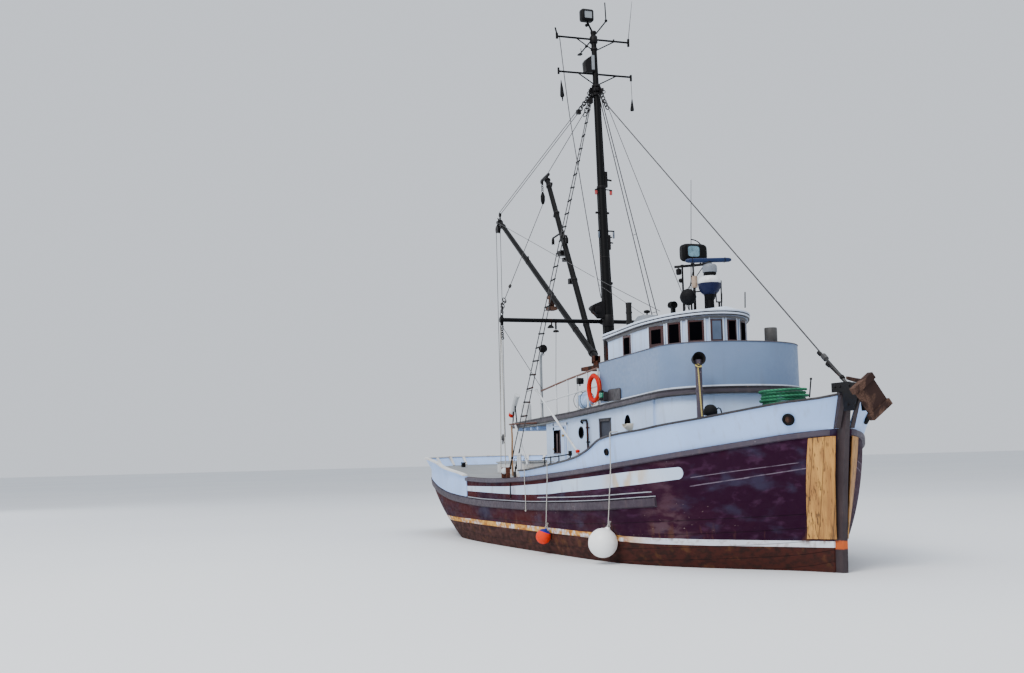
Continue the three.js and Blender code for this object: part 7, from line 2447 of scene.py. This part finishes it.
            b = k * THIRD_TURN
            px, py = x + 0.075 * math.cos(b), y + 0.075 * math.sin(b)
            gas.bar((px, py, 3.29), (px, py, 3.355), 0.007, sides=8)
        piece("gas_bottle_body", gas, "pipe_white", replaces=("gas_bottle",), smooth=45)
        path = [(-0.89, -1.45, 2.882), (-0.89, -1.45, 3.6), (-0.89, -1.45, 4.24), (-0.89, -1.449, 4.31),
                (-0.886, -1.435, 4.365), (-0.878, -1.41, 4.415), (-0.872, -1.394, 4.45)]
        pole = Shape().tube(path, np.array([0.031, 0.031, 0.031, 0.03, 0.028, 0.026, 0.024]), 16)
        pole.turned([(0, 0.054), (0.015, 0.055), (0.05, 0.048), (0.06, 0.033)], (-0.89, -1.45, 2.882))
        piece("davit_pole", pole, "metal_grey", "davit", replaces=("davit",), smooth=50)
        sheave = pulley((-0.88, -1.39, 4.52), (1, 0, 0), 0.095, (0, 0, -1))
        piece("davit_sheave", sheave, "iron_fitting", "davit", smooth=42)

    def vents(self) -> None:
        """Makes the cowl with its dark mouth and the wide vent with its hood."""
        x, y = self.cowl
        pipe = Shape().tube([(x, y, 2.0), (x, y, 2.9), (x, y, 3.5), (6.078, -1.26, 3.6),
                             (6.062, -1.258, 3.66)], np.array([0.06, 0.06, 0.06, 0.066, 0.078]), 24)
        for z in (2.1, 2.6, 3.1):
            pipe.turned(collar(0.06, 0.009, 0.045, 0.005), (x, y, z))
        piece("cowl_pipe", pipe, "paint_guard", replaces=("cowl_vent",), smooth=45)
        along = (0.17, -0.04, 0.01)
        mouth = [(-0.07, 0.02), (-0.062, 0.06), (-0.03, 0.092), (0.03, 0.104), (0.1, 0.112), (0.15, 0.12),
                 (0.166, 0.124), (0.172, 0.12), (0.166, 0.112), (0.1, 0.1), (0.0, 0.085), (-0.03, 0.04)]
        piece("cowl_mouth", Shape().turned(mouth, (6.03, -1.2625, 3.681), along, 36), "metal_sooty",
              smooth=50)
        x, y = self.vent
        vent = Shape().turned([(3.155, 0.165), (3.175, 0.165), (3.18, 0.1), (4.13, 0.1), (4.14, 0.118),
                               (4.15, 0.124), (4.39, 0.124), (4.405, 0.116), (4.405, 0.03)], (x, y, 0),
                              sides=36)
        piece("vent_body", vent, "metal_dull", replaces=("vent_pipe",), smooth=45)

    def build(self) -> None:
        """Makes everything along the boat deck."""
        self.railings()
        self.ring()
        self.bag()
        self.edge()
        self.vents()


@dataclass
class DeckGear:
    """Green rope, hatch, both winches, bow roller with the anchor, and the gear along the starboard side."""

    coil_middle: Point = (6.92, -0.04, 2.682)
    coil: tuple[float, float, float] = (7.3, 0.024, 0.0535)
    winch: tuple[float, float] = (-1.5, 2.0)
    anchor_winch: tuple[float, float] = (6.92, 2.52)
    lid: tuple[float, ...] = (-5.63, -3.67, 0.88, 1.8805, 1.93)

    def green_rope(self) -> None:
        """Lays the green rope in a round stack on the anchor winch: 36 points a turn, each turn one pitch
        above the last."""
        turns, radius, pitch = self.coil
        begin = math.radians(-65)
        a = np.linspace(begin, begin + 2 * np.pi * turns, int(turns * 36))
        r = 0.372 + 0.022 * np.sin(2 * a + 0.6) + 0.01 * np.cos(3 * a) + 0.03 * np.sin(0.61 * a + 0.9)
        x, y, z = self.coil_middle
        path = np.stack([x + r * np.cos(a), y + r * np.sin(a), z + pitch * (a - begin) / (2 * np.pi)], -1)
        start, step = np.array([6.83, -0.33, 2.646]), np.array([0.3, 0.0, 0.0])
        t = np.linspace(0, 1, 9)[:-1, None]
        heading = (path[1] - path[0]) / np.linalg.norm(path[1] - path[0]) * 0.3
        lead = ((1 + 2 * t) * (1 - t) ** 2 * start + t * (1 - t) ** 2 * step + t * t * (3 - 2 * t) * path[0]
                + t * t * (t - 1) * heading)
        path = np.concatenate([lead, path])
        rope = piece("green_rope", Shape().tube(path, radius, 12), "rope_green",
                     smooth=60)

    def hatch(self) -> None:
        """Dresses the coaming and builds the lid of boards with its bars and ring handles."""
        softened("hatch_coaming", "paint_inside", 0.008)
        x0, x1, half, z0, z1 = self.lid
        lid = Shape()
        edges = np.linspace(-half, half, 9)
        for a, b in zip(edges[:-1], edges[1:]):
            lid.block((x0, a + 0.003, z0), (x1, b - 0.003, z1 - 0.006))
        piece("hatch_lid_boards", lid, "paint_hatch", "hatch_lid", replaces=("hatch_lid",), bevel=0.006,
              levels=2)
        iron = Shape()
        for x in (-5.35, -4.65, -3.95):
            iron.block((x - 0.035, -half + 0.02, z1 - 0.008), (x + 0.035, half - 0.02, z1 + 0.006))
        for x in (-5.0, -4.3):
            for y in (-0.55, 0.55):
                iron.loop((x, y, z1 + 0.03), (1, 0, 0), 0.045, 0.009)
                iron.turned([(0, 0.05), (0.008, 0.05), (0.012, 0.02)], (x, y, z1 - 0.008), sides=20)
        piece("hatch_lid_iron", iron, "iron_rusty", "hatch_lid", bevel=0.003, smooth=45)

    def winches(self) -> None:
        """Makes the deck winch and the anchor winch, each with its barrel, rope and ends, and the vent
        beside the bow."""
        softened("deck_winch_frame", "iron_rusty", 0.01)
        x, z = self.winch
        drum = Shape()
        for y in (-0.34, 0.31):
            drum.turned([(0, 0.08), (0.003, 0.176), (0.01, 0.189), (0.022, 0.189), (0.028, 0.176),
                         (0.03, 0.08)], (x, y, z), (0, 1, 0), 40)
        drum.turned([(0, 0.045), (0.004, 0.084), (0.707, 0.084), (0.711, 0.045)], (x, -0.3555, z), (0, 1, 0),
                    32)
        for k in range(6):
            b = k * math.pi / 3
            for y in (-0.347, 0.341):
                drum.turned([(0, 0.016), (0.006, 0.014)],
                            (x + 0.135 * math.cos(b), y, z + 0.135 * math.sin(b)), (0, 1, 0), 10)
        piece("deck_winch_barrel", drum, "iron_fitting", "deck_winch_drum", replaces=("deck_winch_drum",),
              smooth=40)
        rope = winding(x, z, 0.101, -0.295, 0.59, 24, 900)
        piece("deck_winch_rope", Shape().tube(rope, 0.0145, 8), "rope_tan", "deck_winch_drum",
              smooth=60)
        motor = Shape().turned([(0, 0.06), (0.01, 0.1), (0.16, 0.1), (0.17, 0.07), (0.23, 0.07),
                                (0.24, 0.04)], (x, 0.424, z), (0, 1, 0), 28)
        motor.turned([(0, 0.09), (0.02, 0.13), (0.05, 0.1), (0.15, 0.085), (0.19, 0.11), (0.21, 0.12),
                      (0.22, 0.05)], (x, -0.424, z), (0, -1, 0), 28)
        motor.bar((x + 0.14, 0.5, 1.64), (x + 0.2, 0.5, 2.18), 0.014)
        motor.ball((x + 0.2, 0.5, 2.19), 0.028, sides=14)
        piece("deck_winch_motor", motor, "iron_rusty", smooth=40)
        softened("anchor_winch_base", "iron_rusty", 0.008)
        x, z = self.anchor_winch
        barrel = Shape().turned([(0, 0.1), (0.004, 0.139), (0.04, 0.139), (0.05, 0.105), (0.552, 0.105),
                                 (0.562, 0.139), (0.596, 0.139), (0.6, 0.1)], (x, -0.3, z), (0, 1, 0), 36)
        piece("anchor_winch_barrel", barrel, "iron_fitting", "anchor_winch_drum",
              replaces=("anchor_winch_drum",), smooth=40)
        wound = winding(x, z, 0.12, -0.23, 0.46, 13, 500)
        piece("anchor_winch_rope", Shape().tube(wound, 0.0165, 8), "rope_white", "anchor_winch_drum",
              smooth=60)
        ends = Shape()
        for side in (-1, 1):
            ends.turned([(0, 0.08), (0.02, 0.125), (0.05, 0.095), (0.12, 0.08), (0.16, 0.105), (0.18, 0.11),
                         (0.19, 0.05)], (x, side * 0.348, z), (0, side, 0), 28)
        ends.block((x - 0.1, -0.3, 2.6205), (x + 0.1, 0.3, 2.65))
        piece("anchor_winch_ends", ends, "iron_rusty", bevel=0.004, smooth=40)
        cap = [(0, 0.095), (0.01, 0.1), (0.02, 0.058), (0.6, 0.055), (0.605, 0.108), (0.62, 0.122),
               (0.68, 0.124), (0.73, 0.112), (0.77, 0.085), (0.792, 0.045), (0.797, 0.015)]
        vent = Shape().turned(cap, (6.51, -1.3, 2.055), sides=32)
        vent.tube([(6.51, -1.185, 2.76), (6.51, -1.135, 2.79), (6.51, -1.095, 2.77), (6.51, -1.075, 2.7),
                   (6.51, -1.07, 2.62)], 0.012, 10)
        piece("deck_vent", vent, "rubber_black", smooth=50)

    def bow(self) -> None:
        """Dresses the bow roller and the anchor, and makes the bolts, rings and cleats of the deck and the
        cowl's line."""
        softened("bow_roller", "iron_fitting", 0.01, levels=2)
        softened("anchor", "iron_anchor", 0.014, levels=2)
        small = Shape()
        for y in (-0.1, 0.0, 0.1):
            small.loop((9.13, y, 2.99), (0, 1, 0), 0.064, 0.006)
        for side in (-1, 1):
            for px, pz in ((8.62, 3.02), (8.76, 3.02), (8.95, 2.72), (9.06, 2.9), (9.0, 3.02)):
                small.turned([(0, 0.022), (0.01, 0.02), (0.016, 0.008)], (px, side * 0.19, pz), (0, side, 0),
                             8)
        small.bar((8.491, -0.6, 2.86), (8.554, -0.6, 3.15), 0.012)
        small.ball((8.556, -0.6, 3.16), 0.022, sides=12)
        for x, y in ((7.5, -0.74), (7.5, 0.74), (-8.3, -0.9), (-8.3, 0.9)):
            z = float(smooth_value(LINES.deck_z, x))
            small.block((x - 0.05, y - 0.05, z - 0.005), (x + 0.05, y + 0.05, z + 0.1))
            small.tube([(x - 0.2, y, z + 0.135), (x - 0.12, y, z + 0.115), (x + 0.12, y, z + 0.115),
                        (x + 0.2, y, z + 0.135)], np.array([0.014, 0.028, 0.028, 0.014]), 12)
        piece("bow_fittings", small, "iron_fitting", bevel=0.002, smooth=42)
        line = Shape().tube(sagging((6.19, -1.33, 3.55), (6.56, -1.5, 2.64), 0.03), 0.012, 8)
        line.loop((6.19, -1.32, 3.56), (0.6, 0, 1), 0.05, 0.012)
        piece("cowl_line", line, "rope_yellow", smooth=60)

    def side(self) -> None:
        """Makes the roller, posts, pin rack, locker, scupper's pipe and ropes along the starboard side
        deck."""
        white, dark, tan = Shape(), Shape(), Shape()
        for x in (-0.06, 0.06):
            white.bar((x, -2.395, 1.56), (x, -2.395, 2.06), 0.03, sides=16)
            white.turned([(0, 0.032), (0.01, 0.042), (0.04, 0.04), (0.055, 0.012)], (x, -2.395, 2.05),
                         sides=18)
        white.turned([(0, 0.03), (0.01, 0.075), (0.07, 0.055), (0.15, 0.055), (0.21, 0.075), (0.22, 0.03)],
                     (-0.82, -2.45, 1.72), (1, 0, 0), 24)
        piece("rail_roller", white, "pipe_white", smooth=45)
        for x in (-0.86, -0.585):
            dark.block((x - 0.02, -2.5, 1.56), (x + 0.02, -2.4, 1.8))
        piece("roller_cheeks", dark, "iron_rusty", bevel=0.01, levels=2, smooth=45)
        x = np.array([1.5, 1.62, 1.94, 2.36, 2.92, 3.0])
        z = smooth_value(LINES.rail_z, x)
        y = -(smooth_value(LINES.rail_b, x) - 0.02)
        rack = Shape().tube(np.stack([x, y, z + np.array([0.145, 0.148, 0.132, 0.11, 0.085, 0.08])], -1),
                            0.013, 12)
        for k in range(1, 5):
            rack.bar((x[k], y[k], z[k] - 0.004), (x[k], y[k], z[k] + (0.17, 0.15, 0.13, 0.115)[k - 1]), 0.013,
                     0.012, 12)
            rack.turned([(0, 0.045), (0.01, 0.045), (0.014, 0.026)], (x[k], y[k], z[k] - 0.004), sides=16)
        rack.block((2.895, y[4] - 0.03, z[4] + 0.05), (2.945, y[4] + 0.03, z[4] + 0.15))
        piece("pin_rack", rack, "rubber_black", bevel=0.002, smooth=45)
        sill = Shape().block((0.74, -1.8, 1.598), (1.34, -1.53, 1.88))
        sill.block((0.72, -1.82, 1.88), (1.36, -1.52, 1.905))
        piece("side_locker", sill, "paint_grey", bevel=0.01, levels=2, smooth=40)
        pipes = Shape().tube(LINES.side(np.full(9, -0.45), np.linspace(1.44, 1.12, 9), -1.0, 0.014), 0.014,
                             10)
        piece("scupper_pipes", pipes, "iron_fitting", smooth=50)
        loose = Shape()
        rail_out = -(float(smooth_value(LINES.rail_b, 0.6)) + 0.04)
        guard_out = -(float(smooth_value(LINES.deck_b, 0.59)) + 0.074)
        loose.tube([(0.6, rail_out + 0.15, 1.8), (0.6, rail_out + 0.03, 1.812), (0.6, rail_out, 1.775),
                    (0.59, guard_out, 1.59), (0.585, guard_out, 1.48), (0.58, guard_out + 0.016, 1.2),
                    (0.57, guard_out + 0.018, 0.88)], 0.009, 8)
        loose.ball((0.57, guard_out + 0.018, 0.87), 0.022, sides=12)
        piece("spare_fender_line", loose, "rope_white", smooth=60)
        heap = Shape()
        for k, (x, y, r, z) in enumerate(((0.4, -2.16, 0.16, 1.62), (0.4, -2.16, 0.14, 1.665),
                                          (-0.3, -2.12, 0.19, 1.6), (-0.3, -2.12, 0.16, 1.645),
                                          (-0.3, -2.13, 0.13, 1.69))):
            heap.loop((x + 0.01 * math.sin(k * 2), y, z), (0.05 * math.sin(k), 0.06 * math.cos(k * 2), 1), r,
                      0.022)
        piece("rope_heaps", heap, "rope_orange", smooth=60)
        for x, y, top in ((-0.96, -2.2, 2.76), (-0.86, -2.22, 2.7), (-1.04, -2.16, 2.74)):
            path = sagging((x, y, top), (x + 0.06, y - 0.02, 1.6), 0.0, 15)
            path[:, 0] += 0.02 * np.sin(np.linspace(0, 7, 15))
            tan.tube(path, 0.014, 8)
        piece("hanging_ropes", tan, "rope_tan", smooth=60)
        rack = Shape().bar((-1.12, -2.18, 2.775), (-0.78, -2.24, 2.775), 0.018)
        rack.bar((-0.95, -1.54, 2.8), (-0.95, -2.24, 2.775), 0.018)
        piece("rope_rack", rack, "pipe_rusty", smooth=60)

    def build(self) -> None:
        """Makes everything on deck."""
        self.green_rope()
        self.hatch()
        self.winches()
        self.bow()
        self.side()


@dataclass
class Fender:
    """Round fender pressed on the planking, with its eye, its coloured cap and the line up to the rail."""

    node: str
    station: float
    line_x: float
    radius: float
    height: float
    finish: str
    cap: str
    line_radius: float = 0.01
    lean: float = 0.3

    def build(self) -> None:
        """Makes the fender; the ball's upper part draws out to its neck, which leans towards the planking."""
        y = -(float(LINES.breadth(np.array(self.station), np.array(self.height))) + self.radius - 0.007)
        r = self.radius
        edge = -(float(smooth_value(LINES.rail_b, self.line_x)) + 0.0345)
        knee = np.array([self.line_x, edge, float(smooth_value(LINES.rail_z, self.line_x)) - 0.12])
        centre = np.array([self.station, y, self.height])
        along = (knee - centre) / np.linalg.norm(knee - centre) + np.array([0, self.lean, 0])
        along /= np.linalg.norm(along)
        a = np.linspace(0.06, np.pi - 0.06, 40)
        reach = -r * np.cos(a)
        wide = r * np.sin(a)
        keep = reach < r * 0.955
        neck = [(r * 0.975, r * 0.22), (r * 1.01, r * 0.15), (r * 1.05, r * 0.135), (r * 1.08, r * 0.12),
                (r * 1.09, r * 0.07)]
        profile = [*zip(reach[keep], wide[keep]), *neck]
        skin = Shape().turned(profile, centre, along, 48).loop(centre, along, r * 0.996, r * 0.012, 8)
        piece(f"{self.node}_skin", skin, self.finish, replaces=(self.node,), smooth=60)
        b = np.linspace(0.9, 0.24, 12)
        dome = [*zip(1.008 * r * np.cos(b), 1.008 * r * np.sin(b))]
        top = Shape().turned([(r * 0.6, r * 0.7), *dome, (r * 1.04, r * 0.16), (r * 1.1, r * 0.15),
                              (r * 1.11, r * 0.08)], centre, along, 36)
        piece(f"{self.node}_cap", top, self.cap, smooth=50)
        hole = centre + along * r * 1.09
        deck = float(smooth_value(LINES.deck_z, self.line_x))
        guard = np.array([self.line_x, -(float(smooth_value(LINES.deck_b, self.line_x)) + 0.064
                                         + self.line_radius), deck - 0.055])
        guard[1] = min(guard[1], float(knee[1] + (hole[1] - knee[1]) * (knee[2] - guard[2])
                                       / (knee[2] - hole[2])))
        run = np.stack([hole, guard - (0, 0, 0.06), guard + (0, 0, 0.03), knee])
        line = Shape().tube(run, self.line_radius, sides=8)
        line.bar(knee - np.array([0, 0, 0.004]), knee + np.array([0, 0, 0.15]), self.line_radius, sides=8)
        line.loop(hole + along * 0.03, np.cross(along, (0, 1, 0)), 0.03, self.line_radius * 0.9)
        for k in range(3):
            line.loop(hole + along * (0.075 + 0.022 * k), along, self.line_radius * 1.5,
                      self.line_radius * 0.7)
        line.bar(knee + np.array([0, 0.005, 0.16]), knee + np.array([0, 0.16, 0.165]), self.line_radius,
                 sides=8)
        piece(f"{self.node}_line", line, "rope_white", smooth=60)


@dataclass
class SternGear:
    """Propeller with four twisted blades, its shaft nut, and the rudder with straps on its post."""

    hub: tuple[float, float] = (-6.26, -1.3)
    blades: int = 4
    reach: float = 0.475
    blade_x: float = -6.085

    def build(self) -> None:
        """Makes propeller and rudder."""
        x0, z = self.hub
        hub = Shape().turned([(0, 0.02), (0.02, 0.052), (0.06, 0.066), (0.2, 0.086), (0.34, 0.09),
                              (0.3595, 0.08)], (x0, 0, z), (1, 0, 0), 32)
        for k in range(self.blades):
            turn = 2 * np.pi * k / self.blades
            s, c = np.meshgrid(np.linspace(0, 1, 22), np.linspace(-1, 1, 15), indexing="ij")
            radius = 0.07 + (self.reach - 0.07) * s
            half = 0.145 * (np.sin(np.pi * np.clip(0.22 + 0.78 * s, 0, 1)) ** 0.55 + 0.02)
            pitch = np.arctan2(0.085, radius)
            angle = turn + c * half * np.cos(pitch) / radius
            fore = self.blade_x + c * half * np.sin(pitch) * 1.4
            thick = (0.013 * (1 - s) + 0.004) * (1 - c ** 2) + 0.0015
            face = np.stack([fore + thick, radius * np.sin(angle), z + radius * np.cos(angle)], -1)
            back = np.stack([fore - thick, radius * np.sin(angle), z + radius * np.cos(angle)], -1)
            hub.add(*surface(np.concatenate([face, back[:, ::-1]], 1), wrap=True, caps=True))
        piece("propeller_blades", hub, "metal_bronze", "propeller", replaces=("propeller",), smooth=50)
        softened("rudder", "paint_bottom", 0.012, levels=2)
        straps = Shape()
        for level in (-0.62, -1.15, -1.7):
            straps.block((-7.28, -0.043, level - 0.035), (-6.885, 0.043, level + 0.035))
        piece("rudder_straps", straps, "iron_rusty", "rudder", bevel=0.004)


def main() -> None:
    """Builds the studio and the boat's sub-assemblies in order."""
    logging.basicConfig(level=logging.INFO, format="%(message)s")
    Studio().build()
    DeckGear().build()
    Hull().build()
    Deckhouse().build()
    Dodger().build()
    Pilothouse().build()
    RoofGear().build()
    BoatDeckGear().build()
    Mast().build()
    Rigging().build()
    Fender("fender_white", 4.52, 4.7, 0.272, 0.395, "fender_white_skin", "fender_white_skin").build()
    Fender("fender_orange", 1.64, 1.86, 0.155, 0.372, "fender_orange_skin", "fender_blue_cap").build()
    SternGear().build()
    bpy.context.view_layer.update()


if __name__ == "__main__":
    main()
